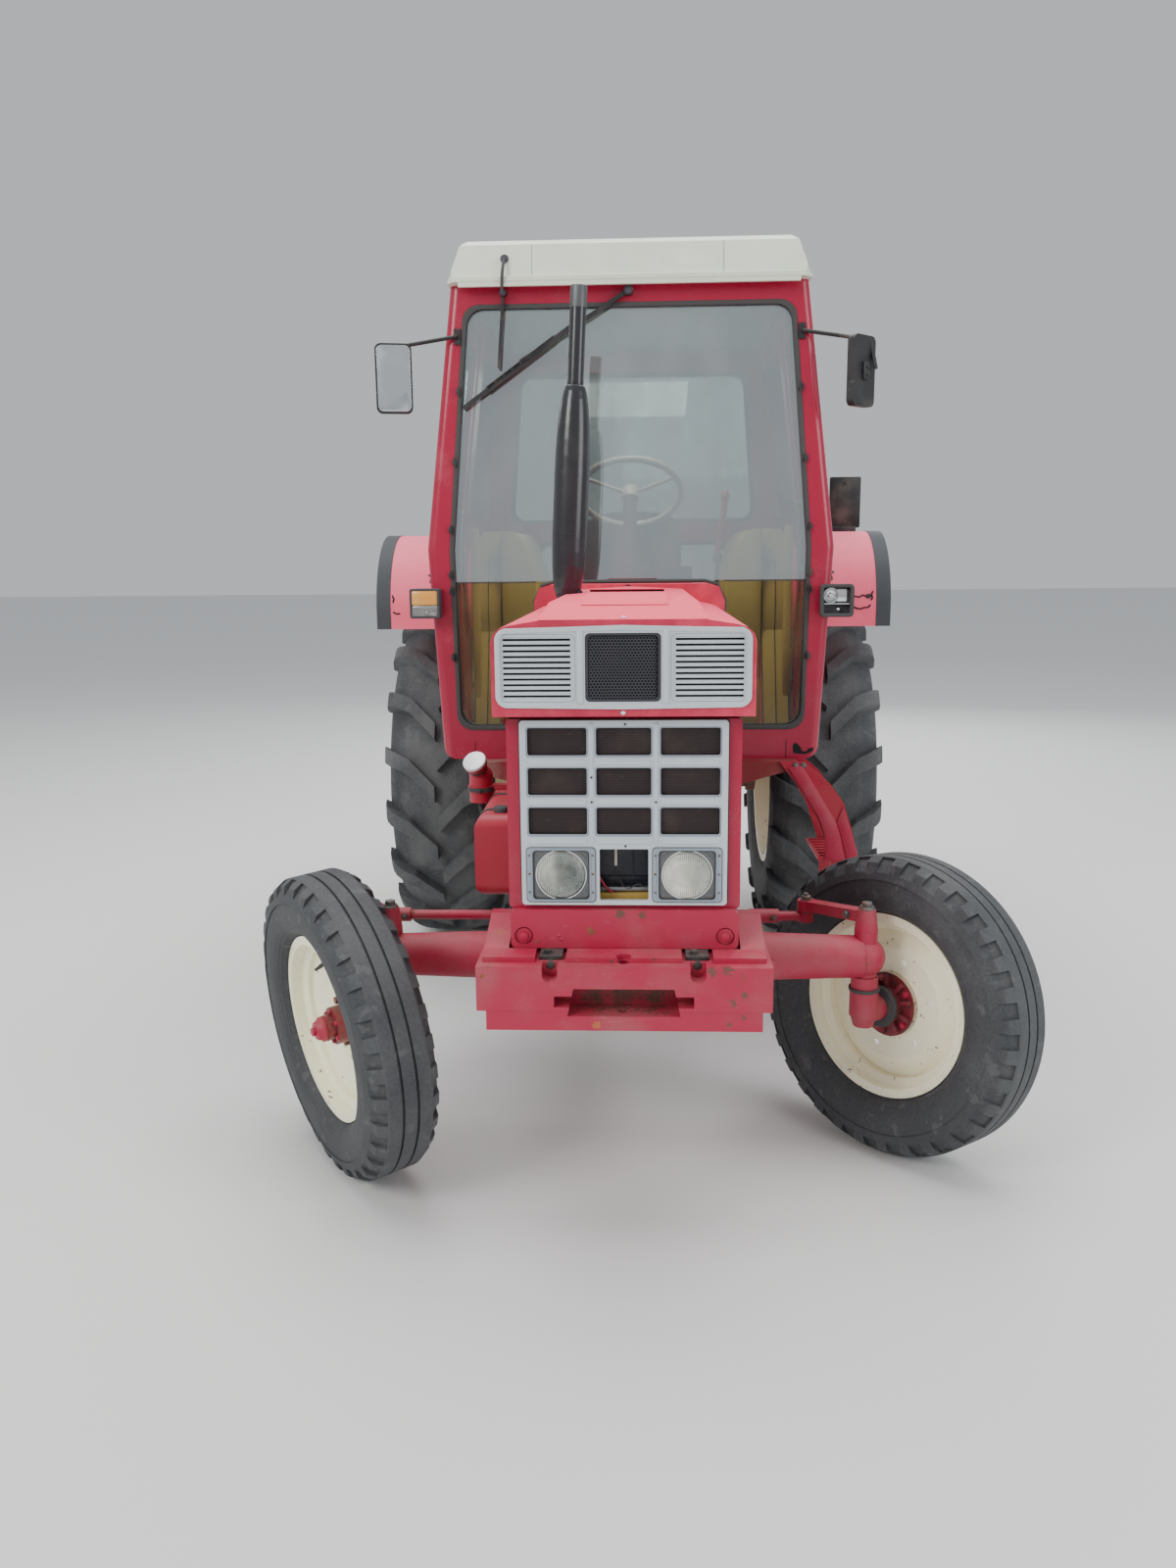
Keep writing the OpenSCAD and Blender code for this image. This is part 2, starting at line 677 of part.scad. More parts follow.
module engine() {
    sump_y0 = engine_y0 + 110;
    color(RED) from_axle() {
        along_y(engine_y0, engine_y1) block_outline();
        along_x(-engine_half_w + 10, engine_half_w - 10) polygon([
            [sump_y0, 780], [sump_y0, 660], [sump_y0 + 50, 600], [engine_y1 - 60, 600],
            [engine_y1, 650], [engine_y1, 780]]);
        rod_y_at([0, crank_z], engine_y0 - 44, engine_y0, 78);
        rod_y_at([0, pump_z], engine_y0 - 60, engine_y0, 46);
    }
}

// Head, rocker cover, manifolds, filters, injection pump and alternator
module engine_top() {
    head_y = [engine_y0 + 24, engine_y1 - 24];
    head_x = engine_half_w - 26;
    manifold_x = exhaust_foot_x;
    port_pitch = (head_y[1] - head_y[0]) / 4;
    color(IRON) from_axle() {
        box([-head_x, head_y[0], block_top_z + seat_gap], [head_x, head_y[1], head_top_z]);
        along_y(head_y[0] + 20, head_y[1] - 20)
            round_rect([-78, head_top_z - 20], [78, head_top_z + 66], 18);
        rod_y_at([-manifold_x, manifold_z], head_y[0] + 30, head_y[1] - 30, 32);
        rod_y_at([head_x + 44, manifold_z], head_y[0] + 30, head_y[1] - 30, 34);
        for (i = [0:3]) translate([0, head_y[0] + (i + 0.5) * port_pitch, manifold_z])
            rod_x(-manifold_x, head_x + 44, 23);
        translate([-manifold_x, exhaust_y, manifold_z]) cylinder(h = manifold_top_z - manifold_z, r = 38);
        box([engine_half_w + seat_gap, engine_y0 + 60, 930], [engine_half_w + 90, engine_y0 + 300, 1030]);
        rod_y_at([engine_half_w + 46, 1064], engine_y0 + 70, engine_y0 + 290, 36);
        for (y = [engine_y0 + 400, engine_y0 + 500]) translate([engine_half_w + 52, y, 960]) {
            cylinder(h = 150, r = 44);
            translate([0, 0, 148]) cylinder(h = 34, r = 34);
        }
        translate([-engine_half_w - 52, engine_y0 + 420, 800]) cylinder(h = 150, r = 46);
        box([-engine_half_w - 60, engine_y0 + 390, 926], [-engine_half_w - seat_gap,
            engine_y0 + 450, 980]);
        rod_y_at([-engine_half_w - 76, 1075], engine_y0 + 10, engine_y0 + 170, 70);
        difference() {
            union() {
                box([engine_half_w - 30, engine_y0 + 360, 1100],
                    [engine_half_w + 90, engine_y0 + 540, 1128]);
                box([-engine_half_w - 40, engine_y0 + 50, 1040],
                    [-engine_half_w + 24, engine_y0 + 130, 1110]);
            }
            along_y(engine_y0, engine_y1) block_outline(seat_gap);
        }
    }
}

// Fan with pitched blades on the pump's hub
module cooling_fan() {
    hub_y1 = engine_y0 - 60 - seat_gap;
    color(IRON) from_axle() {
        rod_y_at([0, pump_z], hub_y1 - 58, hub_y1, 52);
        for (i = [0:5]) translate([0, hub_y1 - 30, pump_z]) rotate([0, i * 60, 0]) rotate([0, 0, 28])
            box([-48, -2, 30], [48, 2, fan_r - 8]);
    }
}

// Radiator with its tanks, feet and filler neck
module radiator() {
    y0 = -90;
    y1 = -22;
    color(IRON) from_axle() {
        box([-236, y0 + 8, rail_top_z + seat_gap], [236, y1 - 8, 1330]);
        along_y(y0, y1) round_rect([-248, 1300], [248, 1386], 20);
        box([-248, y0, rail_top_z + seat_gap], [248, y1, 950]);
        both_sides() box([230, y0, rail_top_z + seat_gap], [248, y1, 1320]);
        translate([60, (y0 + y1) / 2, 1380]) cylinder(h = 50, r = 30);
    }
}

// Battery on its tray behind the gap between the headlights
module battery() {
    color([0.05, 0.06, 0.10]) from_axle() {
        box([-92, -336, pan_top_z + seat_gap], [92, -130, pan_top_z + 34]);
        box([-86, -328, pan_top_z + 33], [86, -138, 1078]);
        for (x = [-52, 52]) translate([x, -290, 1070]) cylinder(h = 26, r = 9);
    }
}

// Sheet housing round the radiator, open in front behind the grid
module radiator_shell() {
    back = -14;
    opening_x = grid_half_w - 8;
    color(RED) from_axle() difference() {
        along_y(-shell_front, back)
            round_rect([-shell_half_w, bolster_z1 + seat_gap], [shell_half_w, shell_z1], 10);
        box([-shell_half_w + sheet, -shell_front + sheet, bolster_z1 - eps],
            [shell_half_w - sheet, back + eps, shell_z1 - sheet]);
        box([-opening_x, -shell_front - eps, grid_z0 + 7], [opening_x,
            -shell_front + 2 * sheet, shell_z1 - 10]);
        translate([60, -56, shell_z1 - 20]) cylinder(h = 40, r = 40);
    }
}

// Silver grid of three by three openings over a row of lamps and a gap
module grille_grid() {
    z1 = shell_z1 - 2;
    row_h = 79;
    row_pitch = 103;
    side_x0 = grid_mid_half + grid_bar;
    side_x1 = grid_half_w - grid_bar;
    color(SILVER) from_axle() difference() {
        along_y(-shell_front - 14, -shell_front - seat_gap)
            round_rect([-grid_half_w, grid_z0], [grid_half_w, z1], 10);
        along_y(-shell_front - 20, -shell_front + 10) {
            for (i = [0:2]) {
                top = z1 - 16 - i * row_pitch;
                round_rect([-grid_mid_half, top - row_h], [grid_mid_half, top], 8);
                both_sides() round_rect([side_x0, top - row_h], [side_x1, top], 8);
            }
            both_sides() round_rect([lamp_x - lamp_half_w, lamp_z - lamp_half_h],
                [lamp_x + lamp_half_w, lamp_z + lamp_half_h], 8);
            round_rect([-63, grid_z0 + 12], [63, lamp_z + lamp_half_h + 2], 4);
        }
    }
}

// Dark mesh panel behind the openings of the grid
module grille_screen() {
    color([0.14, 0.09, 0.08]) from_axle() box(
        [-grid_half_w + 10, -shell_front, lamp_z + lamp_half_h + 12],
        [grid_half_w - 10, -shell_front + 3, shell_z1 - 12]);
}

module headlights() {
    front = -shell_front - 10;
    color([0.9, 0.9, 0.86]) from_axle() both_sides() translate([lamp_x, 0, lamp_z]) {
        along_y(front, front + 22) round_rect([-lamp_half_w + seat_gap, -lamp_half_h + seat_gap],
            [lamp_half_w - seat_gap, lamp_half_h - seat_gap], 8);
        rod_y(front + 20, front + 76, headlight_r - 6);
        intersection() {
            translate([0, front + 130, 0]) sphere(r = 146, $fn = 64);
            rod_y(front - 20, front + 10, headlight_r);
        }
    }
}

// Bonnet and exhaust

// Points of the bonnet's outline on one side, from the lower edge to the middle, as (X, Z)
function bonnet_side(inset) = [
    [bonnet_half_w - inset, bonnet_z0], [bonnet_half_w - inset, bonnet_z1 - 40],
    [bonnet_half_w - 6 - inset, bonnet_z1 - 20], [bonnet_half_w - 22 - inset, bonnet_z1 - 5 - inset],
    [bonnet_half_w - 44 - inset, bonnet_z1 + 2 - inset],
    [bonnet_rib_x + 14 - inset / 2, bonnet_z1 + 14 - inset], [bonnet_rib_x - 6 - inset / 2,
    bonnet_z1 + 14 + bonnet_rise - inset],
    [0, bonnet_z1 + 24 + bonnet_rise - inset]];

module bonnet_outline(inset, drop = 0) {
    side = bonnet_side(inset);
    last = len(side) - 1;
    polygon([for (p = side) [p[0], p == side[0] ? p[1] - drop : p[1]],
        for (i = [last - 1:-1:0]) [-side[i][0], i == 0 ? side[i][1] - drop : side[i][1]]]);
}

// Solid form of the bonnet, with its front sloped above the nose, drawn in by an inset
module bonnet_form(inset) {
    front = -bonnet_front + inset;
    back = cowl_y0 - seat_gap + (inset > 0 ? eps : 0);
    slope_y = 140;
    top = bonnet_z1 + 24 + bonnet_rise;
    intersection() {
        along_y(front, back) bonnet_outline(inset, inset > 0 ? eps : 0);
        along_x(-bonnet_half_w, bonnet_half_w) polygon([
            [front, bonnet_z0 - eps], [back, bonnet_z0 - eps], [back, top + 100],
            [front + slope_y, top + 100],
            [front + slope_y, top - inset], [front, bonnet_z1 + 16 - inset]]);
    }
}

// Outline of the nose opening in (X, Z), slightly peaked in the middle, pulled in by a gap
module nose_outline(gap) {
    half = nose_half_w - gap;
    round_rect([-half, nose_z0 + gap], [half, nose_z1 - gap], nose_r);
    polygon([[-half + nose_r, nose_z0 + gap + 1], [0, nose_z0 + gap - 4],
        [half - nose_r, nose_z0 + gap + 1],
        [half - nose_r, nose_z1 - gap - 1], [0, nose_z1 - gap + 7], [-half + nose_r, nose_z1 - gap - 1]]);
}

// Sheet bonnet, open below and behind, with the nose opening and the hole for the exhaust
module bonnet() {
    color(RED) from_axle() difference() {
        bonnet_form(0);
        bonnet_form(sheet);
        along_y(-bonnet_front - eps, -bonnet_front + 20) nose_outline(0);
        translate([-exhaust_x, exhaust_y, bonnet_z0]) cylinder(h = 400, r = 45);
    }
}

// Silver nose insert: ring, two louvres and the middle panel
module nose_grille() {
    front = -bonnet_front - 2;
    back = -bonnet_front + 16;
    slot_pitch = (nose_z1 - nose_z0 - 44) / louvre_slots;
    color(SILVER) from_axle() difference() {
        along_y(front, back) nose_outline(seat_gap);
        for (x = [-214, 214]) {
            along_y(front - eps, front + 5) round_rect([x - 96, nose_z0 + 15],
                [x + 96, nose_z1 - 15], 14);
            for (i = [0:louvre_slots - 1]) translate([x, 0, nose_z0 + 26 + i * slot_pitch])
                box([-84, front - eps, 0], [84, back + eps, slot_pitch * 0.42]);
        }
        along_y(front - eps, front + 10) round_rect([-94, nose_z0 + 15], [94, nose_z1 - 13], 12);
    }
}

// Silencer and tail pipe on the manifold, leaning slightly inwards
module exhaust() {
    base_z = manifold_top_z + seat_gap;
    pipe_r = 33;
    swell = muffler_r - pipe_r;
    taper = muffler_r - tail_r;
    // Heights over the foot: start and end of the swelling, start and end of the upper taper
    z = [1690, 1870, 2060, 2325] - base_z * [1, 1, 1, 1];
    color(IRON) from_axle() translate([-exhaust_foot_x, exhaust_y, base_z]) {
        cylinder(h = 14, r = 38);
        rotate([0, exhaust_lean, 0]) rotate_extrude() polygon([
            [0, 4], [pipe_r, 4],
            for (i = [0:6]) [pipe_r + swell * sin(i * 15), z[0] + (z[1] - z[0]) * (1 - cos(i * 15))],
            for (i = [0:7]) [tail_r + taper * cos(i * 11.25), z[2] + (z[3] - z[2]) * sin(i * 11.25)],
            [tail_r, z[3]], [tail_r, tail_top_z - base_z], [0, tail_top_z - base_z]]);
    }
}

// Rounded side tank with its brackets to the engine
module side_tank() {
    x0 = -456;
    x1 = -304;
    color(RED) from_axle() {
        intersection() {
            along_x(x0, x1) round_rect([60, 800], [500, 1050], 40);
            along_y(60, 500) round_rect([x0, 800], [x1, 1050], 40);
        }
        for (y = [engine_y0 + 40, engine_y0 + 280])
            box([x1 - 20, y, bolster_z1 + 4], [-engine_half_w - seat_gap, y + 34, bolster_z1 + 14]);
    }
}

// Oil reservoir with its cap, clamp and bracket
module oil_reservoir() {
    at = [-498, 548, 0];
    neck = at + [0, 0, 1085];
    tilt = 41;
    color(RED) from_axle() {
        translate(at + [0, 0, 996]) cylinder(h = 96, r = 40);
        translate(at + [0, 0, 1030]) cylinder(h = 22, r = 45);
        translate(neck) sphere(39);
        translate(neck) rotate([tilt, -14, 0]) {
            cylinder(h = 62, r = 31);
            translate([0, 0, 56]) cylinder(h = 14, r = 38);
        }
        difference() {
            box([at[0] + 20, at[1] - 16, 1036], [0, at[1] + 16, 1056]);
            along_y(engine_y0, engine_y1) block_outline(seat_gap);
        }
    }
}

// Driveline

// Clutch housing, gearbox, rear axle housing with trumpets, lift housing and front cab brackets
module transmission() {
    y0 = engine_y1 + seat_gap;
    rear_y1 = wheelbase + 260;
    trumpet_x0 = 150;
    color(RED) from_axle() difference() {
        union() {
            along_x(-190, 190) polygon([
                [y0, 640], [y0 + 120, 600], [wheelbase - 400, 590], [wheelbase - 400, 1000], [y0, 1020]]);
            along_x(-215, 215) polygon([
                [wheelbase - 420, 560], [rear_y1 - 60, 540], [rear_y1, 600], [rear_y1, 1000],
                [rear_y1 - 40, 1040], [wheelbase - 420, 1040]]);
            along_x(-165, 165) polygon([
                [wheelbase - 190, 1030], [rear_y1 - 40, 1030], [rear_y1 - 60, 1180],
                [wheelbase - 120, 1210], [wheelbase - 190, 1170]]);
            both_sides() {
                translate([trumpet_x0, wheelbase, rear_axle_z]) rotate([0, 90, 0])
                    cylinder(h = trumpet_x1 - 30 - trumpet_x0, r1 = 150, r2 = 88);
                translate([0, wheelbase, rear_axle_z]) rod_x(trumpet_x1 - 40, trumpet_x1, 108);
                rod_x_at([wheelbase + lift_pivot_y, lift_pivot_z], 150, 300, 30);
                rod_x_at([wheelbase + link_pivot_y, link_pivot_z], 200, 292, link_pin_r);
                along_x(200, 240) polygon([
                    [wheelbase, 620], [wheelbase + link_pivot_y + 40, 620],
                    [wheelbase + link_pivot_y + 36, link_pivot_z - 36],
                    [wheelbase + link_pivot_y - 36, link_pivot_z - 36]]);
                along_y(bracket_y0, bracket_y0 + 14) polygon([
                    [180, 900], [180, 1010], [300, sill_z - seat_gap], [620, sill_z - seat_gap],
                    [620, sill_z - 26], [360, 960]]);
                box([180, bracket_y0, sill_z - 14], [620, bracket_y0 + 120, sill_z - seat_gap]);
                box([150, bracket_y0, 960], [200, bracket_y0 + 120, sill_z - 10]);
            }
            along_x(-60, 60) polygon([
                [rear_y1 - 10, 940], [rear_y1 + 60, 950], [rear_y1 + 80, top_pivot_z + 36],
                [rear_y1 + 20, top_pivot_z + 36], [rear_y1 - 50, 1030]]);
            rod_y_at([0, pto_z], rear_y1 - 10, rear_y1 + 30, 70);
            rod_y_at([0, pto_z], rear_y1 - 10, rear_y1 + 110, pto_d / 2);
            box([-70, wheelbase - 200, drawbar_z1 + seat_gap], [70, rear_y1 - 60, 560]);
        }
        both_sides() translate([0, wheelbase, rear_axle_z])
            rod_x(trumpet_x1 - 90, trumpet_x1 + eps, axle_shaft_r + fit_gap);
        box([-25, rear_y1, top_pivot_z - 140], [25, rear_y1 + 100, top_pivot_z + 60]);
    }
    color(IRON) from_axle() rod_x_at([rear_y1 + 50, top_pivot_z], -72, 72, top_pin_r);
}

// Cylinder along X about a point given in (Y, Z)
module rod_x_at(at, x0, x1, r) {
    translate([0, at[0], at[1]]) rod_x(x0, x1, r);
}

// Cab

// Arc points that round corner b between a and c
function corner_arc(a, b, c, r, n = 5) =
    let (u = (a - b) / norm(a - b), v = (c - b) / norm(c - b), open = acos(u * v),
        centre = b + (u + v) / norm(u + v) * r / sin(open / 2),
        p = b + u * r / tan(open / 2) - centre, q = b + v * r / tan(open / 2) - centre,
        t0 = atan2(p[1], p[0]), turn = atan2(p[0] * q[1] - p[1] * q[0], p * q))
    [for (i = [0:n]) centre + r * [cos(t0 + turn * i / n), sin(t0 + turn * i / n)]];

// Closed outline with every corner rounded
module rounded(points, r) {
    n = len(points);
    polygon([for (i = [0:n - 1]) each corner_arc(points[(i + n - 1) % n],
        points[i], points[(i + 1) % n], r)]);
}

// Half width of the cab's outer face at a height
function cab_half_w(z) = z < belt_z
    ? sill_half_w + (belt_half_w - sill_half_w) * (z - sill_z) / (belt_z - sill_z)
    : belt_half_w + (eave_half_w - belt_half_w) * (z - belt_z) / (eave_z - belt_z);

// Section of one cab side in (X, Z), between two depths from the outer face
module side_section(depth0, depth1) {
    zs = [sill_z, belt_z, eave_z];
    polygon([for (z = zs) [cab_half_w(z) - depth0, z], for (i = [2:-1:0]) [cab_half_w(zs[i]) - depth1,
        zs[i]]]);
}

// Profile over a rear wheel in (Y, Z), with its upper corners rounded
module arch(inset) {
    y0 = fender_y0 + inset;
    y1 = fender_y1 - inset;
    z1 = fender_z1 - inset;
    r0 = 330 - inset;
    r1 = 420 - inset;
    translate([y0, 0]) square([y1 - y0, z1 - max(r0, r1)]);
    translate([y0, 0]) square([y1 - y0 - r1, z1 - r0]);
    translate([y0 + r0, 0]) square([y1 - y0 - r0 - r1, z1]);
    translate([y0 + r0, z1 - r0]) circle(r0, $fn = 96);
    translate([y1 - r1, z1 - r1]) circle(r1, $fn = 96);
}

// Outline of a door in (Y, Z), pulled in by a gap
module door_outline(gap) {
    y0 = cab_y0 + 58 + gap;
    y1 = door_y1 - gap;
    rounded([[y0, door_z0 + gap], [door_foot_y - gap, door_z0 + gap], [y1, fender_lip_z + 40 + gap],
        [y1, door_z1 - gap], [y0, door_z1 - gap]], 40);
}

// Two window openings of a door in (Y, Z), pulled in by a gap
module door_windows(gap) {
    y0 = cab_y0 + 128 + gap;
    y1 = door_y1 - 66 - gap;
    rounded([[y0, belt_z - 60 + gap], [y1, belt_z - 60 + gap], [y1, door_z1 - 66 - gap],
        [y0, door_z1 - 66 - gap]], 40);
    rounded([[y0, door_z0 + 70 + gap], [door_foot_y - 90 - gap, door_z0 + 70 + gap],
        [y1 - 10, belt_z - 130 - gap], [y0, belt_z - 130 - gap]], 40);
}

// Rear side window in (Y, Z)
module quarter_window(gap) {
    rounded([[door_y1 + 110 + gap, fender_z1 + 70 + gap], [cab_y1 - 80 - gap, fender_z1 + 70 + gap],
        [cab_y1 - 80 - gap, door_z1 - 46 - gap], [door_y1 + 110 + gap, door_z1 - 46 - gap]], 50);
}

// Windscreen opening in (X, Z), with its lower panes beside the cowl
module windscreen_opening(gap) {
    rounded([[-646 + gap, sill_z + 114 + gap], [646 - gap, sill_z + 114 + gap], [656 - gap, belt_z],
        [582 - gap, eave_z - 68 - gap], [-582 + gap, eave_z - 68 - gap], [-656 + gap, belt_z]], 60);
}

// Rear window openings in (X, Z)
module rear_openings(gap) {
    z0 = fender_z1 + 60 + gap;
    z1 = eave_z - 90 - gap;
    rounded([[-590 + gap, z0], [590 - gap, z0], [540 - gap, z1], [-540 + gap, z1]], 50);
    rounded([[-460 + gap, deck_z + 110 + gap], [460 - gap, deck_z + 110 + gap],
        [460 - gap, fender_z1 - 30 - gap], [-460 + gap, fender_z1 - 30 - gap]], 40);
}

module front_wall_outline() {
    polygon([[-sill_half_w, sill_z], [sill_half_w, sill_z], [belt_half_w, belt_z], [eave_half_w, eave_z],
        [-eave_half_w, eave_z], [-belt_half_w, belt_z]]);
}

// Cutter that rounds the front edge of one side between two heights
module post_cutter(z0, z1) {
    over = 12;
    lean = atan2(cab_half_w(z1 - 0.01) - cab_half_w(z0), z1 - z0);
    translate([cab_half_w(z0), cab_y0, z0]) rotate([0, lean, 0]) difference() {
        box([-post_r, -eps, -over], [eps, post_r, (z1 - z0) / cos(lean) + over]);
        translate([-post_r, post_r, -over - eps]) cylinder(h = (z1 - z0) / cos(lean) + 2 * over + eps,
            r = post_r);
    }
}

// Cutter that rounds the lower edge of one side
module sill_cutter() {
    centre_x = cab_half_w(sill_z + sill_r) - sill_r;
    along_y(cab_y0 - eps, arch_foot_y + 200) difference() {
        translate([centre_x, sill_z - eps]) square([sill_r + 20, sill_r + eps]);
        translate([centre_x, sill_z + sill_r]) circle(sill_r);
    }
}

// Hollow cab frame: side walls with posts, windscreen frame and rear wall
module cab_frame() {
    hinge_x = belt_half_w + 12;
    color(RED) from_axle() {
        difference() {
            cab_walls();
            both_sides() {
                post_cutter(sill_z, belt_z);
                post_cutter(belt_z, eave_z);
                sill_cutter();
            }
        }
        both_sides() for (z = hinge_zs) {
            translate([hinge_x, door_y1 + door_gap, z - 44]) cylinder(h = 43.7, r = 9);
            box([cab_half_w(z) - 12, door_y1 + door_gap - 5, z - 44], [hinge_x, door_y1 + 34, z - 24]);
        }
    }
}

// Walls of the cab before their front and lower edges are rounded
module cab_walls() {
    both_sides() difference() {
        along_y(cab_y0, cab_y1) side_section(0, wall);
        along_x(0, 900) {
            polygon([[arch_foot_y, 0], [fender_y0 + 4000, 0], [fender_y0 + 4000, fender_lip_z],
                [fender_y0 - seat_gap, fender_lip_z], [arch_foot_y, sill_z - eps]]);
            arch(-seat_gap);
            door_outline(0);
            quarter_window(0);
        }
    }
    difference() {
        along_y(cab_y0, cab_y0 + wall) front_wall_outline();
        along_y(cab_y0 - eps, cab_y0 + wall + eps) windscreen_opening(0);
    }
    difference() {
        along_y(cab_y1 - wall, cab_y1) intersection() {
            front_wall_outline();
            union() {
                translate([-fender_x0 + seat_gap, deck_z - 30])
                    square([2 * fender_x0 - 2 * seat_gap, eave_z - deck_z + 30]);
                translate([-900, fender_z1 + seat_gap]) square([1800, 1000]);
            }
        }
        along_y(cab_y1 - wall - eps, cab_y1 + eps) rear_openings(0);
    }
}

module door(side) {
    hinge_x = belt_half_w + 12;
    color(RED) from_axle() mirror([side > 0 ? 0 : 1, 0, 0]) {
        difference() {
            intersection() {
                along_y(cab_y0, cab_y1) side_section(0, wall - 6);
                along_x(0, 900) door_outline(door_gap);
            }
            along_x(0, 900) door_windows(0);
        }
        for (z = hinge_zs) {
            translate([hinge_x, door_y1 + door_gap, z]) cylinder(h = 44, r = 9);
            box([cab_half_w(z) - 12, door_y1 - 34, z + 20], [hinge_x, door_y1 - door_gap, z + 40]);
            box([hinge_x - 7, door_y1 - 34, z + 20], [hinge_x, door_y1 + door_gap, z + 40]);
        }
    }
}

module door_glass(side) {
    color(GLASS) from_axle() mirror([side > 0 ? 0 : 1, 0, 0]) intersection() {
        along_y(cab_y0, cab_y1) side_section(16, 16 + glass_t);
        along_x(0, 900) door_windows(seat_gap);
    }
}

module door_left() { door(1); }
module door_right() { door(-1); }
module door_left_glass() { door_glass(1); }
module door_right_glass() { door_glass(-1); }

// Glass of the windscreen above the cowl and beside it
module windscreen() {
    color(GLASS) from_axle() along_y(cab_y0 + 14, cab_y0 + 14 + glass_t) difference() {
        windscreen_opening(seat_gap);
        translate([-cowl_half_w - seat_gap, 0]) square([2 * cowl_half_w + 2 * seat_gap,
            cowl_top_z + seat_gap]);
    }
}

module side_glass() {
    color(GLASS) from_axle() both_sides() intersection() {
        along_y(cab_y0, cab_y1) side_section(16, 16 + glass_t);
        along_x(0, 900) quarter_window(seat_gap);
    }
}

module rear_glass() {
    color(GLASS) from_axle() along_y(cab_y1 - 20 - glass_t, cab_y1 - 20) rear_openings(seat_gap);
}

// Cowl between the bonnet and the cab, with the bulkhead below it
module cowl() {
    color(RED) from_axle() {
        along_y(cowl_y0, cab_y0 + 14) polygon([
            [-cowl_half_w, bonnet_z0], [cowl_half_w, bonnet_z0], [cowl_half_w, cowl_top_z - 60],
            [cowl_half_w - 20, cowl_top_z - 12], [cowl_half_w - 60, cowl_top_z],
            [-cowl_half_w + 60, cowl_top_z],
            [-cowl_half_w + 20, cowl_top_z - 12], [-cowl_half_w, cowl_top_z - 60]]);
        box([-cowl_half_w, cab_y0 - 24, sill_z], [cowl_half_w, cab_y0 - seat_gap, bonnet_z0 + eps]);
    }
}

// Pressed roof that tapers upwards, with rounded corners
module cab_roof() {
    x1 = eave_half_w + 5;
    y0 = cab_y0 - roof_lip;
    y1 = cab_y1 + roof_lip;
    z0 = eave_z + seat_gap;
    z1 = eave_z + roof_h;
    color(ROOF) from_axle() intersection() {
        along_y(y0, y1) polygon([[-x1, z0], [x1, z0], [x1, z0 + 14], [x1 - 12, z0 + 18],
            [x1 - 50, z1 - 18],
            [x1 - 74, z1], [-x1 + 74, z1], [-x1 + 50, z1 - 18], [-x1 + 12, z0 + 18], [-x1, z0 + 14]]);
        along_x(-x1, x1) polygon([[y0, z0], [y1, z0], [y1, z0 + 14], [y1 - 12, z0 + 18],
            [y1 - 44, z1 - 18],
            [y1 - 70, z1], [y0 + 54, z1], [y0 + 30, z1 - 18], [y0 + 12, z0 + 18], [y0, z0 + 14]]);
        translate([0, 0, z0]) linear_extrude(roof_h) round_rect([-x1, y0], [x1, y1], 60);
    }
    // Lip that hangs in front of the walls
    color(ROOF) from_axle() box([-x1 + 44, y0 + 2, z0 - 17], [x1 - 44, y0 + 16, z0 + 10]);
}

// Floor between the side walls and the raised deck over the lift housing
module cab_floor() {
    inner = sill_half_w - wall - seat_gap;
    front = cab_y0 + wall + seat_gap;
    back = cab_y1 - wall - seat_gap;
    inner_rear = fender_x0 - seat_gap;
    color([0.12, 0.12, 0.13]) from_axle() {
        box([-inner, front, sill_z], [inner, arch_foot_y - 10, sill_z + 8]);
        box([-inner_rear, arch_foot_y - 20, sill_z], [inner_rear, riser_y + 8, sill_z + 8]);
        box([-inner_rear, riser_y, sill_z], [inner_rear, riser_y + 8, deck_z]);
        box([-inner_rear, riser_y, deck_z - 8], [inner_rear, back, deck_z]);
    }
}

// Fenders

// Fender sheets: the band over the wheel, the inner wall and the sloped foot inside the cab
module fender_sheet() {
    t = 5;
    along_x(fender_x0, fender_x1) difference() {
        arch(0);
        arch(t);
        square([fender_y0 + 700, fender_lip_z]);
        translate([fender_y0 + 700, 0]) square([2000, fender_rear_z]);
    }
    along_x(fender_x0, fender_x0 + t) intersection() {
        union() {
            arch(0);
            polygon([[arch_foot_y, sill_z], [fender_y0 + 50, sill_z], [fender_y0 + 50, fender_lip_z + 30],
                [fender_y0, fender_lip_z + 30], [fender_y0, fender_lip_z]]);
        }
        polygon([[arch_foot_y, sill_z], [cab_y1, sill_z], [fender_y1 - 300, 1150],
            [fender_y1, fender_rear_z],
            [fender_y1, 2000], [fender_y0, 2000], [fender_y0, fender_lip_z]]);
    }
    along_x(fender_x0, sill_half_w - wall - seat_gap) polygon([
        [arch_foot_y, sill_z + 8 + seat_gap], [arch_foot_y + 3, sill_z + 8 + seat_gap],
        [fender_y0 + 5, fender_lip_z + 2],
        [fender_y0, fender_lip_z + 2]]);
}

module fenders() {
    color(RED) from_axle() both_sides() fender_sheet();
}

// Rubber flares along the outer edges of the fenders
module fender_flares() {
    color(RUBBER) from_axle() both_sides() along_x(fender_x1 + seat_gap, flare_x1) difference() {
        arch(-2);
        arch(12);
        square([fender_y0 + 700, fender_lip_z]);
        translate([fender_y0 + 700, 0]) square([2000, fender_rear_z]);
    }
}

// Lamps, mirrors and wiper

module front_indicators() {
    color(AMBER) from_axle() both_sides() {
        along_y(cab_y0 - 62, cab_y0 - seat_gap)
            round_rect([belt_half_w - 52, 1592], [belt_half_w + 58, 1700], 8);
    }
}

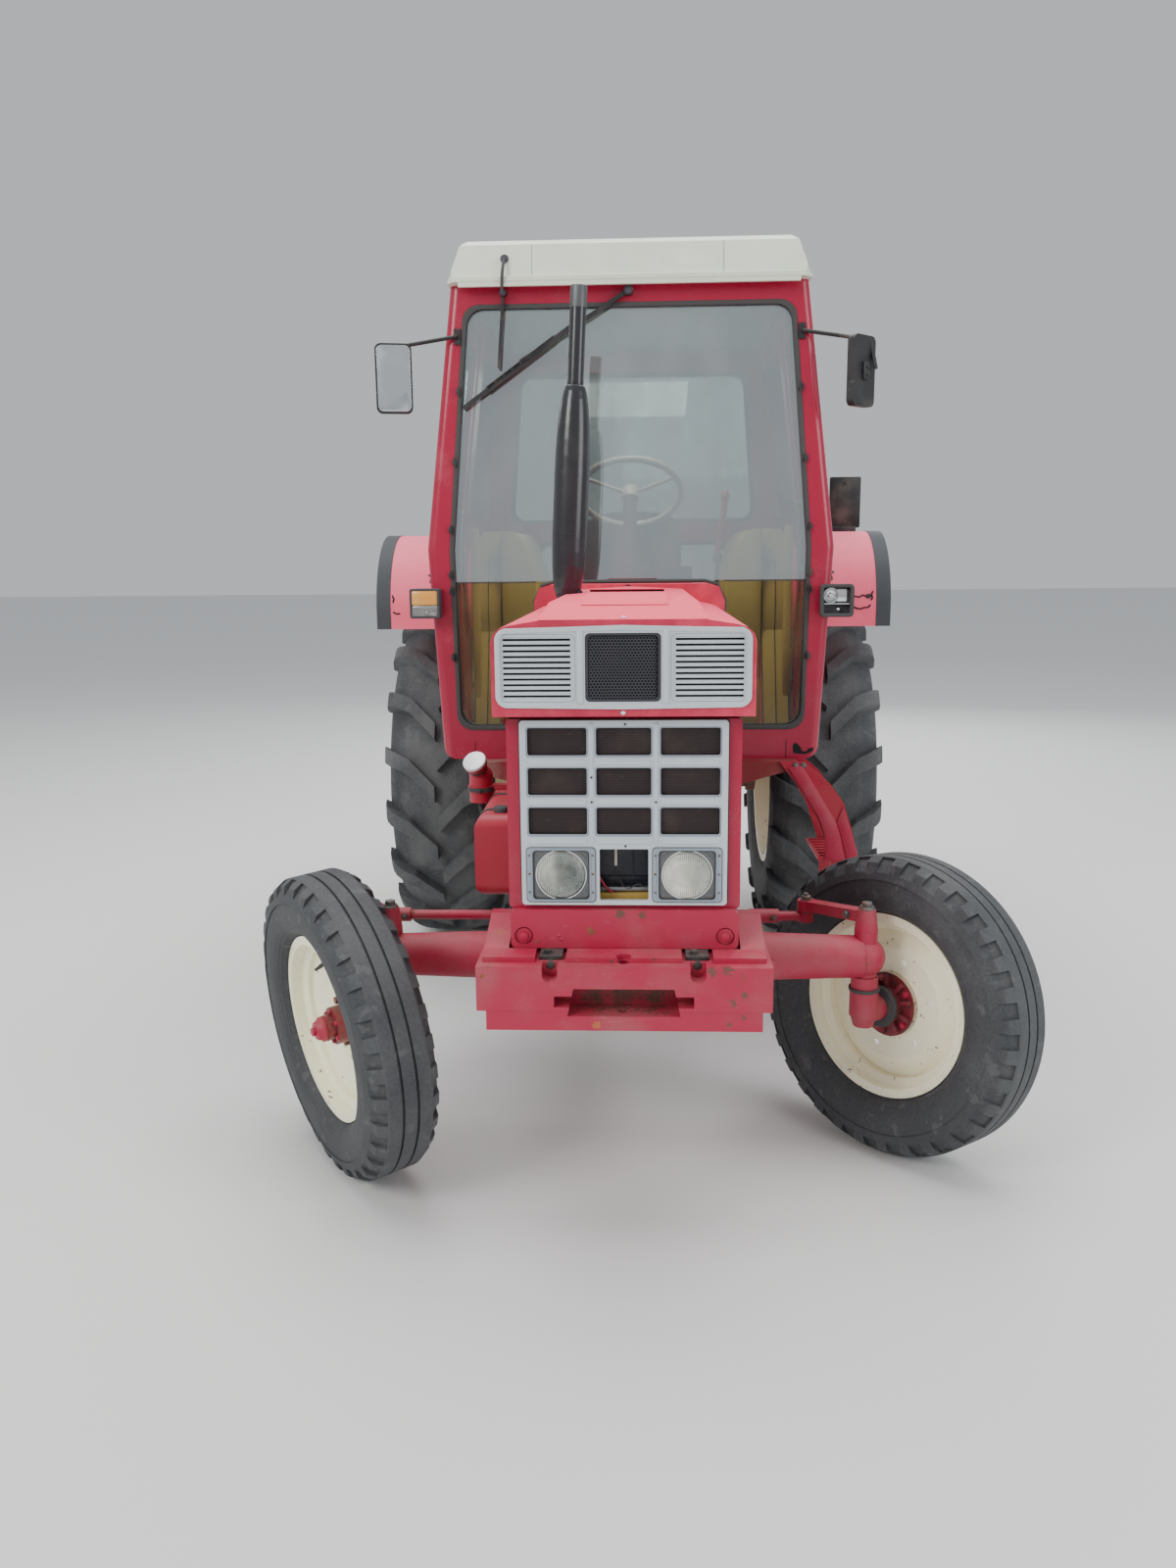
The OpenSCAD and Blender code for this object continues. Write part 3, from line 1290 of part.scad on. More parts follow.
module rear_lamps() {
    color([0.6, 0.1, 0.1]) from_axle() {
        both_sides() along_y(fender_y1 + seat_gap, fender_y1 + 40)
            round_rect([fender_x1 - 170, fender_rear_z + 10], [fender_x1 - 20, fender_rear_z + 100], 8);
        translate([0, wheelbase - 160, 0]) {
            box([fender_x1 - 130, 0, fender_z1 + seat_gap], [fender_x1 - 10, 46, fender_z1 + 26]);
            box([fender_x1 - 130, 18, fender_z1 + 20], [fender_x1 + 10, 28, fender_z1 + 246]);
        }
    }
}

// Mirror heads on bent arms from the front posts
module mirrors() {
    root_z = 2580;
    foot_t = 8;
    root = [cab_half_w(root_z) - post_r - 12, cab_y0 - foot_t, root_z];
    bend = [840, cab_y0 - 40, 2540];
    color([0.1, 0.1, 0.1]) from_axle() for (side = [-1, 1]) mirror([side > 0 ? 0 : 1, 0, 0]) {
        bar([root[0], root[1] - 4, root[2]], bend, 7);
        translate(bend) sphere(r = 9);
        bar(bend, [858, cab_y0 - 60, 2440], 7);
        box([root[0] - 11, root[1], root_z - 27], [root[0] + 11, cab_y0 - seat_gap, root_z + 27]);
        translate([side > 0 ? 806 : 828, cab_y0 - 66, 2432]) rotate([0, 0, side > 0 ? 46 : -12])
            along_y(-14, 14) round_rect([-64, -118], [64, 118], 22);
    }
}

module wiper() {
    color([0.03, 0.03, 0.03]) from_axle() {
        translate([0, 0, 2722]) rod_y(cab_y0 - 26, cab_y0 - seat_gap, 16);
        along_y(cab_y0 - 22, cab_y0 - 10) strip([0, 2722], [-384, 2490], 14);
        along_y(cab_y0 - 18, cab_y0 - 6) strip([-176, 2626], [-592, 2335], 15);
        translate([-440, 0, 2722]) rod_y(cab_y0 - 26, cab_y0 - seat_gap, 12);
        along_y(cab_y0 - 20, cab_y0 - 10) strip([-440, 2722], [-461, 2470], 10);
    }
}

// Seat and controls

module seat() {
    color([0.1, 0.1, 0.1]) from_axle() {
        box([-240, seat_y - 200, deck_z + 150], [240, seat_y + 260, deck_z + 260]);
        along_x(-230, 230) polygon([
            [seat_y + 190, deck_z + 250], [seat_y + 300, deck_z + 250], [seat_y + 370, deck_z + 740],
            [seat_y + 290, deck_z + 740]]);
    }
}

module seat_base() {
    color(IRON) from_axle() {
        box([-170, seat_y - 40, deck_z + seat_gap], [170, seat_y + 240, deck_z + 30]);
        box([-120, seat_y, deck_z + 28], [120, seat_y + 200, deck_z + 122]);
        box([-200, seat_y - 120, deck_z + 120], [200, seat_y + 250, deck_z + 150 - seat_gap]);
    }
}

module dashboard() {
    color([0.1, 0.1, 0.11]) from_axle() along_x(-230, 230) polygon([
        [cab_y0 + 14 + seat_gap, bonnet_z0 + 10], [cab_y0 + 170, bonnet_z0 + 10],
        [cab_y0 + 210, cowl_top_z - 60],
        [cab_y0 + 110, cowl_top_z + 60], [cab_y0 + 50, cowl_top_z + 60],
        [cab_y0 + 14 + seat_gap, cowl_top_z - 24]]);
}

module steering_column() {
    foot = [0, cab_y0 + 130, cowl_top_z + 20];
    color([0.1, 0.1, 0.11]) from_axle() difference() {
        union() {
            bar(foot, wheel_hub - 34 * wheel_axis, 26);
            bar(wheel_hub - 70 * wheel_axis, wheel_hub + 4 * wheel_axis, 12);
        }
        along_x(-60, 60) polygon([
            [cab_y0, 0], [cab_y0 + 210 + seat_gap, 0], [cab_y0 + 210 + seat_gap, cowl_top_z - 60],
            [cab_y0 + 110, cowl_top_z + 60 + seat_gap], [cab_y0, cowl_top_z + 60 + seat_gap]]);
    }
}

module steering_wheel() {
    rim_r = 198;
    color([0.75, 0.76, 0.74]) from_axle() translate(wheel_hub) rotate([-wheel_tilt, 0, 0]) {
        rotate_extrude() translate([rim_r, 0]) circle(13, $fn = 32);
        difference() {
            translate([0, 0, -28]) cylinder(h = 44, r = 34);
            translate([0, 0, -29]) cylinder(h = 35, r = 12 + fit_gap);
        }
        for (i = [0:2]) rotate([0, 0, 90 + i * 120]) translate([20, 0, -6]) rotate([0, 90, 0])
            cylinder(h = rim_r - 24, r = 7);
    }
}

// Bent step frame with two treads on the left side
module step() {
    x0 = sill_half_w;
    y0 = bracket_y0 - 10 - seat_gap;
    y1 = bracket_y0 + 300;
    line = [[x0 - 152, sill_z - seat_gap], [x0 - 62, sill_z - seat_gap], [x0 + 36, 976], [x0 + 86, 907],
        [x0 + 118, 807], [x0 + 141, 716], [x0 + 151, 430], [x0 + 56, 430], [x0 + 42, 690], [x0 + 18, 766],
        [x0 - 9, 847], [x0 - 60, 936]];
    color(RED) from_axle() {
        for (y = [y0, y1 - 10]) along_y(y, y + 10) polygon(line);
        for (z = [430, 690]) box([x0 - 5, y0, z], [x0 + 145, y1, z + 8]);
    }
}

// Rear linkage

// Point on the parked lower link's line at a distance from its pivot, as (Y, Z) behind the rear axle
function link_point(d) = [wheelbase + link_pivot_y + d * cos(link_angle),
    link_pivot_z + d * sin(link_angle)];
link_l = norm([rear_reach - link_pivot_y, link_ball_z - link_pivot_z]);
function link_x(d) = link_x0 + (link_ball_x - link_x0) * d / link_l;

module lower_links() {
    tip = link_point(link_l);
    rod_at = link_point(lift_arm_l);
    color(IRON) from_axle() both_sides() difference() {
        union() {
            rod_x_at([wheelbase + link_pivot_y, link_pivot_z], link_x0 - 14, link_x0 + 14, 40);
            bar([link_x0, wheelbase + link_pivot_y, link_pivot_z], [link_ball_x, tip[0], tip[1]], 22);
            rod_x_at(tip, link_ball_x - 22, link_ball_x + 22, link_eye_r);
            rod_x_at(rod_at, rod_x - 12, link_x(lift_arm_l), 12);
        }
        rod_x_at([wheelbase + link_pivot_y, link_pivot_z], 200, link_x0 + 40, link_pin_r + fit_gap);
        rod_x_at(tip, link_ball_x - 60, link_ball_x + 60, link_ball_bore_r);
    }
}

module lift_arms() {
    end = [wheelbase + lift_pivot_y + lift_arm_l * cos(link_angle),
        lift_pivot_z + lift_arm_l * sin(link_angle)];
    color(RED) from_axle() both_sides() difference() {
        union() {
            rod_x_at([wheelbase + lift_pivot_y, lift_pivot_z], 228, 296, 52);
            bar([250, wheelbase + lift_pivot_y, lift_pivot_z], [250, end[0], end[1]], 16);
            rod_x_at(end, 240, rod_x + 12, 12);
            rod_x_at(end, 234, rod_x - 12, 24);
        }
        rod_x_at([wheelbase + lift_pivot_y, lift_pivot_z], 100, 301, 30 + fit_gap);
    }
}

module lift_rods() {
    top = [wheelbase + lift_pivot_y + lift_arm_l * cos(link_angle),
        lift_pivot_z + lift_arm_l * sin(link_angle)];
    foot = link_point(lift_arm_l);
    color(IRON) from_axle() both_sides() difference() {
        union() {
            bar([rod_x, top[0], top[1]], [rod_x, foot[0], foot[1]], 10);
            rod_x_at(top, rod_x - 10, rod_x + 10, 26);
            rod_x_at(foot, rod_x - 10, rod_x + 10, 24);
            bar([rod_x, top[0], top[1]] * 0.6 + [rod_x, foot[0], foot[1]] * 0.4,
                [rod_x, top[0], top[1]] * 0.35 + [rod_x, foot[0], foot[1]] * 0.65, 19);
        }
        rod_x_at(top, rod_x - 30, rod_x + 30, 12 + fit_gap);
        rod_x_at(foot, rod_x - 30, rod_x + 30, 12 + fit_gap);
    }
}

module top_link() {
    root = [wheelbase + 310, top_pivot_z];
    end = root + 560 * [cos(top_link_a), sin(top_link_a)];
    color(IRON) from_axle() difference() {
        union() {
            rod_x_at(root, -20, 20, 30);
            rod_x_at(end, -24, 24, 34);
            bar([0, root[0], root[1]], [0, end[0], end[1]], 14);
            bar([0, root[0], root[1]] * 0.72 + [0, end[0], end[1]] * 0.28,
                [0, root[0], root[1]] * 0.28 + [0, end[0], end[1]] * 0.72, 22);
        }
        rod_x_at(root, -60, 60, top_pin_r + fit_gap);
        rod_x_at(end, -60, 60, top_pin_r);
    }
}

module drawbar() {
    rear = wheelbase + 560;
    color(IRON) from_axle() difference() {
        union() {
            box([-42, wheelbase - 160, drawbar_z1 - 34], [42, rear, drawbar_z1]);
            translate([0, rear, drawbar_z1 - 34]) cylinder(h = 34, r = 42);
        }
        translate([0, rear, 0]) cylinder(h = 800, d = drawbar_pin_d);
    }
}

front_tyre_left();
front_tyre_right();
front_wheel_left();
front_wheel_right();
rear_tyre_left();
rear_tyre_right();
rear_wheel_left();
rear_wheel_right();
knuckle_left();
knuckle_right();
tie_rod();
front_axle();
front_bolster();
front_weight();
engine();
engine_top();
cooling_fan();
radiator();
battery();
radiator_shell();
grille_grid();
grille_screen();
headlights();
bonnet();
nose_grille();
exhaust();
side_tank();
oil_reservoir();
transmission();
cowl();
cab_floor();
cab_frame();
cab_roof();
windscreen();
side_glass();
rear_glass();
door_left();
door_left_glass();
door_right();
door_right_glass();
fenders();
fender_flares();
front_indicators();
rear_lamps();
mirrors();
wiper();
seat();
seat_base();
steering_column();
steering_wheel();
dashboard();
step();
lower_links();
lift_arms();
lift_rods();
top_link();
drawbar();
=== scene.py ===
"""Looks of a vintage farm tractor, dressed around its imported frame."""

import json
import logging
import math
from collections.abc import Iterable, Sequence
from dataclasses import dataclass
from enum import Enum

import bmesh
import bpy
from mathutils import Matrix, Vector


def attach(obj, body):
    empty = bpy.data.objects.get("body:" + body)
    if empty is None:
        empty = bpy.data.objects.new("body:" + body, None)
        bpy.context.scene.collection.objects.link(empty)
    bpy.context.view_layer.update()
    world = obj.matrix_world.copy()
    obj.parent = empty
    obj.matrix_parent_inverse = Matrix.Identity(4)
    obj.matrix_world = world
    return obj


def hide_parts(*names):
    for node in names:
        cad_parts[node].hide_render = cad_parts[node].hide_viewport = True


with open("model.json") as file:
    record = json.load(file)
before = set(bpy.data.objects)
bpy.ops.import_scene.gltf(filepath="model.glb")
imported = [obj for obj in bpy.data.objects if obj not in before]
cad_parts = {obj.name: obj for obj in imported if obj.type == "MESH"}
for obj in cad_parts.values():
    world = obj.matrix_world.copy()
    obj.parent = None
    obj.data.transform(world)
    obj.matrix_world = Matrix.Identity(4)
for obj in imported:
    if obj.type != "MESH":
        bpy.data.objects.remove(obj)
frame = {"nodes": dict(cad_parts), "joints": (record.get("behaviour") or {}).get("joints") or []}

LOG = logging.getLogger("tractor")
Colour = tuple[float, float, float]
Point = tuple[float, float, float]
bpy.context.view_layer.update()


def joint(name: str) -> dict:
    """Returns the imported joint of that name."""
    return next(each for each in frame["joints"] if each["name"] == name)


# Front axle line and rear axle line, from the frame's joints
AXLE_Y = joint("steering")["pos_m"][1]
REAR_Y = joint("rear_wheel_left_turn")["pos_m"][1]
REAR_Z = joint("rear_wheel_left_turn")["pos_m"][2]
# Colours of rust and dust
RUST: Colour = (0.115, 0.048, 0.026)
DUST: Colour = (0.25, 0.215, 0.175)
# Points closer than this are joined, in metres, and edges that bend more than this are rounded, in radians
WELD = 1e-6
SHARP = 0.6
# Middle of the rear fenders' arch, from the front axle line and the ground
ARCH_Y = 2.030
ARCH_Z = 1.580
# Placements that lay the Z axis of a turned shape across, to the front and to the back
ALONG_X = Matrix.Rotation(math.pi / 2, 4, "Y")
TO_FRONT = Matrix.Rotation(math.pi / 2, 4, "X")
TO_BACK = Matrix.Rotation(-math.pi / 2, 4, "X")


def ahead(x: float, y: float, z: float) -> Point:
    """Returns a point whose y is measured back from the front axle line."""
    return (x, AXLE_Y + y, z)


class Value:
    """A socket of a material's nodes that takes part in Python expressions."""

    def __init__(self, shader: "Shader", socket: bpy.types.NodeSocket) -> None:
        """Keeps the socket and the shader it belongs to."""
        self.shader = shader
        self.socket = socket

    def _math(self, operation: str, first: "Number", second: "Number") -> "Value":
        """Returns a Math node's result for two operands."""
        return self.shader.node("ShaderNodeMath", {"operation": operation}, {0: first, 1: second})

    def __add__(self, other: "Number") -> "Value":
        """Returns the sum."""
        return self._math("ADD", self, other)

    def __sub__(self, other: "Number") -> "Value":
        """Returns the difference."""
        return self._math("SUBTRACT", self, other)

    def __rsub__(self, other: "Number") -> "Value":
        """Returns the difference from a plain number."""
        return self._math("SUBTRACT", other, self)

    def __mul__(self, other: "Number") -> "Value":
        """Returns the product."""
        return self._math("MULTIPLY", self, other)

    def __truediv__(self, other: "Number") -> "Value":
        """Returns the quotient."""
        return self._math("DIVIDE", self, other)

    def __pow__(self, other: "Number") -> "Value":
        """Returns the power."""
        return self._math("POWER", self, other)

    __radd__ = __add__
    __rmul__ = __mul__


Number = Value | float


class Shader:
    """One material and the nodes that make it."""

    def __init__(self, name: str) -> None:
        """Starts an empty material.

        Args:
            name: the material's name.
        """
        self.material = bpy.data.materials.new(name)
        self.material.use_nodes = True
        self.tree = self.material.node_tree
        self.tree.nodes.clear()

    def node(
        self, kind: str, settings: dict | None = None, inputs: dict | None = None, output: str | int = 0
    ) -> Value:
        """Adds a node.

        Args:
            kind: the node's type.
            settings: its own settings, set first; "stops" fills a colour ramp.
            inputs: values or links of its sockets, by name or number.
            output: the socket that is returned.

        Returns:
            The chosen output.
        """
        made = self.tree.nodes.new(kind)
        for key, value in (settings or {}).items():
            if key == "stops":
                ramp = made.color_ramp.elements
                for index, (place, colour) in enumerate(value):
                    stop = ramp[index] if index < 2 else ramp.new(place)
                    stop.position, stop.color = place, (*colour, 1.0)
            else:
                setattr(made, key, value)
        for key, value in (inputs or {}).items():
            socket = made.inputs[key]
            if isinstance(value, Value):
                self.tree.links.new(value.socket, socket)
            elif isinstance(value, tuple) and len(value) == 3 and len(socket.default_value) == 4:
                socket.default_value = (*value, 1.0)
            else:
                socket.default_value = value
        return Value(self, made.outputs[output])

    def point(self) -> Value:
        """Returns the Object coordinates, which are metres in the shared frame."""
        return self.node("ShaderNodeTexCoord", output="Object")

    def part(self, vector: Value, axis: int) -> Value:
        """Returns one component of a vector."""
        return self.node("ShaderNodeSeparateXYZ", None, {0: vector}, axis)

    def upward(self) -> Value:
        """Returns how far a face looks up, from -1 to 1."""
        return self.part(self.node("ShaderNodeTexCoord", output="Normal"), 2)

    def noise(
        self, scale: float, detail: float = 3.0, stretch: Point = (1, 1, 1), shift: float = 0.0
    ) -> Value:
        """Returns soft noise about 0.5.

        Args:
            scale: waves per metre.
            detail: octaves.
            stretch: how much finer it is along each axis.
            shift: where in the noise it is read, so that layers differ.
        """
        place = self.node(
            "ShaderNodeMapping", None,
            {"Vector": self.point(), "Scale": stretch, "Location": (shift, 1.7 * shift, 0.3 * shift)},
        )
        return self.node("ShaderNodeTexNoise", None, {"Vector": place, "Scale": scale, "Detail": detail})

    def step(self, value: Number, low: float, high: float) -> Value:
        """Returns a soft step from 0 at low to 1 at high."""
        return self.node(
            "ShaderNodeMapRange", {"interpolation_type": "SMOOTHSTEP"},
            {"Value": value, "From Min": low, "From Max": high},
        )

    def mix(self, factor: Number, first: "Value | Colour", second: "Value | Colour") -> Value:
        """Returns a colour between two colours."""
        return self.node("ShaderNodeMix", {"data_type": "RGBA"}, {0: factor, 6: first, 7: second}, 2)

    def vector(
        self, operation: str, first: "Value | Point", second: "Value | Point", output: int = 0
    ) -> Value:
        """Returns a Vector Math node's result."""
        return self.node("ShaderNodeVectorMath", {"operation": operation}, {0: first, 1: second}, output)

    def about(self, centre: Point, axis: Point) -> tuple[Value, Value]:
        """Returns the distance along an axis, and the distance from it."""
        away = self.vector("SUBTRACT", self.point(), centre)
        along = self.vector("DOT_PRODUCT", away, axis, 1)
        reach = self.vector("LENGTH", away, (0, 0, 0), 1)
        return along, (reach * reach - along * along) ** 0.5

    def bump(self, height: Value, depth: float, strength: float = 1.0) -> Value:
        """Returns a normal raised by a height field, depth in metres."""
        return self.node("ShaderNodeBump", None, {"Height": height, "Distance": depth, "Strength": strength})

    def principled(self, **sockets: object) -> bpy.types.Material:
        """Ends the material in one Principled shader.

        Args:
            sockets: the shader's sockets, with spaces written as underscores.

        Returns:
            The finished material.
        """
        inputs = {key.replace("_", " "): value for key, value in sockets.items()}
        shade = self.node("ShaderNodeBsdfPrincipled", None, inputs)
        self.node_output(shade)
        return self.material

    def node_output(self, shade: Value) -> None:
        """Links a shader to the material's output."""
        end = self.tree.nodes.new("ShaderNodeOutputMaterial")
        self.tree.links.new(shade.socket, end.inputs["Surface"])


@dataclass(frozen=True)
class Finish:
    """A surface finish, made into a material once.

    Attributes:
        name: the material's name.
    """

    name: str

    def material(self) -> bpy.types.Material:
        """Returns the material, made on first use."""
        return bpy.data.materials.get(self.name) or self.make(Shader(self.name))

    def make(self, s: Shader) -> bpy.types.Material:
        """Builds the nodes; each finish has its own."""
        raise NotImplementedError


@dataclass(frozen=True)
class OldPaint(Finish):
    """Enamel that has faded on top, with dust low down, scuffs and rust spots.

    Attributes:
        deep: colour where it kept.
        faded: colour where sun and wear took it.
        fade: how much of it has faded.
        dirt: how much dust lies on it.
        rust: how many rust spots it has.
        gloss: roughness of the clean paint.
        metal: share of metal in the paint.
        patches: worn chips and darkened places, each a centre, a radius and the colour that shows.
        sky: how much more faded what faces up is.
    """

    deep: Colour
    faded: Colour
    fade: float = 0.5
    dirt: float = 0.35
    rust: float = 0.3
    gloss: float = 0.34
    metal: float = 0.0
    patches: tuple[tuple[Point, float, Colour], ...] = ()
    sky: float = 0.34

    def make(self, s: Shader) -> bpy.types.Material:
        """Builds faded, dusty and rusty paint."""
        up = s.upward()
        cloud = s.noise(2.6, 4.0)
        mottle = s.noise(21.0, 5.0, shift=3.0)
        fine = s.noise(150.0, 3.0, shift=5.0)
        fade = s.step(
            up * self.sky * self.fade + cloud * 0.7 + mottle * 0.35 + fine * 0.1, 0.72 - self.fade * 0.3, 1.05
        )
        colour = s.mix(fade, self.deep, self.faded)
        scuffs = s.step(s.noise(34.0, 4.0, (1.0, 1.0, 3.6), 9.0) + mottle * 0.3, 0.82, 0.88) * 0.45
        pale = tuple(min(1.0, c * 0.65 + 0.22) for c in self.faded)
        colour = s.mix(scuffs * self.dirt, colour, pale)
        height = s.part(s.point(), 2)
        low = s.step(1.25 - height, 0.0, 1.0)
        dusty = s.noise(7.0, 6.0, shift=2.0) + low * 0.2 + s.step(up, 0.3, 0.9) * 0.10
        dusty = s.step(dusty, 0.50, 0.86) * self.dirt
        colour = s.mix(dusty, colour, DUST)
        field_noise = s.noise(11.0, 6.0, shift=7.0) * 0.62 + s.noise(75.0, 4.0, shift=1.0) * 0.38
        edge = 0.745 - 0.16 * self.rust
        spots = s.step(field_noise, edge, edge + 0.025)
        stain = s.step(field_noise, edge - 0.05, edge + 0.02) * 0.5
        rust = s.mix(s.noise(60.0, 3.0, shift=4.0), RUST, (0.30, 0.12, 0.05))
        colour = s.mix(stain, colour, s.mix(0.5, self.deep, RUST))
        colour = s.mix(spots, colour, rust)
        for centre, radius, shown in self.patches:
            gap = s.vector("LENGTH", s.vector("SUBTRACT", s.point(), centre), (0, 0, 0), 1)
            worn = s.step(radius * 1.4 - gap + (fine * 1.6 + mottle - 1.3) * radius * 2.4, 0.0, radius * 0.5)
            colour = s.mix(worn * 0.9, colour, shown)
        rough = fade * 0.16 + self.gloss + dusty * 0.4 + spots * 0.4 + fine * 0.06
        lump = s.noise(120.0, 2.0, shift=8.0) * 0.25 + mottle * 0.35 + spots * 0.5
        return s.principled(
            Base_Color=colour, Roughness=rough, Metallic=self.metal, Normal=s.bump(lump, 0.0009, 0.5)
        )


@dataclass(frozen=True)
class WheelPaint(Finish):
    """Cream wheel enamel with a red hub, told apart by distance from the wheel's axis.

    Attributes:
        centre: a point on the wheel's axis.
        axis: direction of the axis, outwards.
        hub_inner: radius of the red on the side towards the tractor.
        hub_outer: radius of the red on the outer side.
        rim: radius of the rim's flange.
        cream: colour of the clean enamel.
        red: colour of the hub.
    """

    centre: Point = (0.0, 0.0, 0.0)
    axis: Point = (1.0, 0.0, 0.0)
    hub_inner: float = 0.1
    hub_outer: float = 0.06
    rim: float = 0.27
    cream: Colour = (1.0, 0.96, 0.72)
    red: Colour = (0.24, 0.020, 0.035)

    def make(self, s: Shader) -> bpy.types.Material:
        """Builds cream paint round a red hub, with brake dust, grime and rust runs."""
        along, radius = s.about(self.centre, self.axis)
        outside = s.step(along, -0.02, -0.015)
        limit = outside * (self.hub_outer - self.hub_inner) + self.hub_inner
        hub = s.step(limit - radius, 0.0, 0.002)
        mottle = s.noise(9.0, 6.0)
        fine = s.noise(85.0, 4.0, shift=2.0)
        tint = s.mix(s.step(mottle, 0.35, 0.7), self.cream, tuple(c * 0.97 for c in self.cream))
        ring = s.step(radius, self.rim - 0.040, self.rim - 0.005) * 0.45
        near = s.step(limit + 0.04 - radius, 0.0, 0.045) * 0.4
        grime = s.step(mottle * 0.6 + fine * 0.4 + ring * 0.30 + near * 0.22, 0.60, 0.86)
        tint = s.mix(grime * 0.26, tint, (0.30, 0.24, 0.14))
        red = s.mix(s.step(fine, 0.4, 0.62), self.red, (0.16, 0.04, 0.045))
        red = s.mix(s.step(mottle, 0.52, 0.68) * 0.6, red, (0.05, 0.035, 0.03))
        colour = s.mix(hub, tint, red)
        spots = s.step(fine * 0.5 + s.noise(17.0, 6.0, shift=6.0) * 0.5, 0.625, 0.65)
        colour = s.mix(spots * 0.8, colour, RUST)
        rough = grime * 0.25 + spots * 0.3 + 0.36 + fine * 0.08
        return s.principled(
            Base_Color=colour, Roughness=rough,
            Normal=s.bump(fine * 0.5 + spots * 0.5 + mottle * 0.3, 0.0008, 0.5)
        )


@dataclass(frozen=True)
class TyreRubber(Finish):
    """Worn tyre rubber, dusty on the tread and ringed on the side.

    Attributes:
        centre: a point on the wheel's axis.
        axis: direction of the axis.
        tread: radius where the tread starts.
        rim: radius of the rim's flange.
        dust: how much dust lies on it.
    """

    centre: Point = (0.0, 0.0, 0.0)
    axis: Point = (1.0, 0.0, 0.0)
    tread: float = 0.4
    rim: float = 0.27
    dust: float = 0.5

    def make(self, s: Shader) -> bpy.types.Material:
        """Builds rubber with moulded rings, cracks and dust by radius."""
        _, radius = s.about(self.centre, self.axis)
        fine = s.noise(120.0, 5.0)
        cloud = s.noise(6.0, 6.0, shift=2.0)
        grain = s.noise(420.0, 2.0, shift=4.0)
        side = s.step(self.tread - radius, 0.0, 0.02)
        wave = s.node("ShaderNodeMath", {"operation": "SINE"}, {0: radius * 620.0})
        band = s.step(radius, self.rim + 0.012, self.rim + 0.016) * s.step(
            self.rim + 0.055 - radius, 0.0, 0.004
        )
        rings = s.step(wave, 0.2, 0.7) * side * band
        tread = 1.0 - side
        dusty = s.step(cloud * 0.6 + fine * 0.3 + tread * 0.12 + grain * 0.12, 0.42, 0.80) * self.dust
        colour = s.mix(fine, (0.027, 0.030, 0.034), (0.052, 0.056, 0.062))
        colour = s.mix(dusty, colour, (0.132, 0.136, 0.138))
        rub = s.step(s.noise(22.0, 5.0, shift=7.0), 0.60, 0.66) * 0.25
        colour = s.mix(rub, colour, (0.15, 0.152, 0.155))
        rough = dusty * 0.22 + 0.66 + grain * 0.1
        lump = rings * 1.0 + fine * 0.25 + grain * 0.18
        return s.principled(Base_Color=colour, Roughness=rough, Normal=s.bump(lump, 0.0022, 0.55))


@dataclass(frozen=True)
class Metal(Finish):
    """Bare or plated metal with grime and rust.

    Attributes:
        tint: colour of the metal.
        shine: roughness of the clean metal.
        rust: how much of it has rusted.
        metal: share of metal in the look.
    """

    tint: Colour = (0.5, 0.5, 0.5)
    shine: float = 0.3
    rust: float = 0.2
    metal: float = 1.0

    def make(self, s: Shader) -> bpy.types.Material:
        """Builds metal whose rust is rough and dull."""
        fine = s.noise(95.0, 5.0)
        cloud = s.noise(13.0, 6.0, shift=3.0)
        edge = 0.66 - self.rust * 0.2
        rusty = s.step(cloud * 0.6 + fine * 0.4, edge, edge + 0.09)
        colour = s.mix(fine * 0.5, self.tint, tuple(c * 0.6 for c in self.tint))
        colour = s.mix(rusty, colour, s.mix(fine, RUST, (0.22, 0.09, 0.04)))
        return s.principled(
            Base_Color=colour,
            Roughness=rusty * 0.5 + self.shine + fine * 0.1,
            Metallic=(1.0 - rusty * 0.9) * self.metal,
            Normal=s.bump(rusty * 0.6 + fine * 0.4, 0.0006, 0.5),
        )


@dataclass(frozen=True)
class Plastic(Finish):
    """Moulded plastic, rubber or vinyl with a fine grain and some dust.

    Attributes:
        tint: its colour.
        shine: roughness.
        grain: waves of the grain in each metre.
        depth: depth of the grain in metres.
        dust: how much dust lies on it.
        film: colour of that dust.
    """

    tint: Colour = (0.02, 0.02, 0.022)
    shine: float = 0.5
    grain: float = 400.0
    depth: float = 0.0004
    dust: float = 0.2
    film: Colour = DUST

    def make(self, s: Shader) -> bpy.types.Material:
        """Builds grained plastic with dust on what looks up."""
        cells = s.node("ShaderNodeTexVoronoi", None, {"Vector": s.point(), "Scale": self.grain})
        cloud = s.noise(9.0, 6.0, shift=4.0)
        fine = s.noise(70.0, 4.0)
        dusty = s.step(cloud * 0.75 + fine * 0.25 + s.upward() * 0.10, 0.42, 0.78) * self.dust
        colour = s.mix(fine * 0.6, self.tint, tuple(c * 0.72 for c in self.tint))
        colour = s.mix(dusty, colour, self.film)
        return s.principled(
            Base_Color=colour,
            Roughness=dusty * 0.3 + self.shine + fine * 0.08,
            Normal=s.bump(cells * 0.7 + fine * 0.3, self.depth, 0.6),
        )


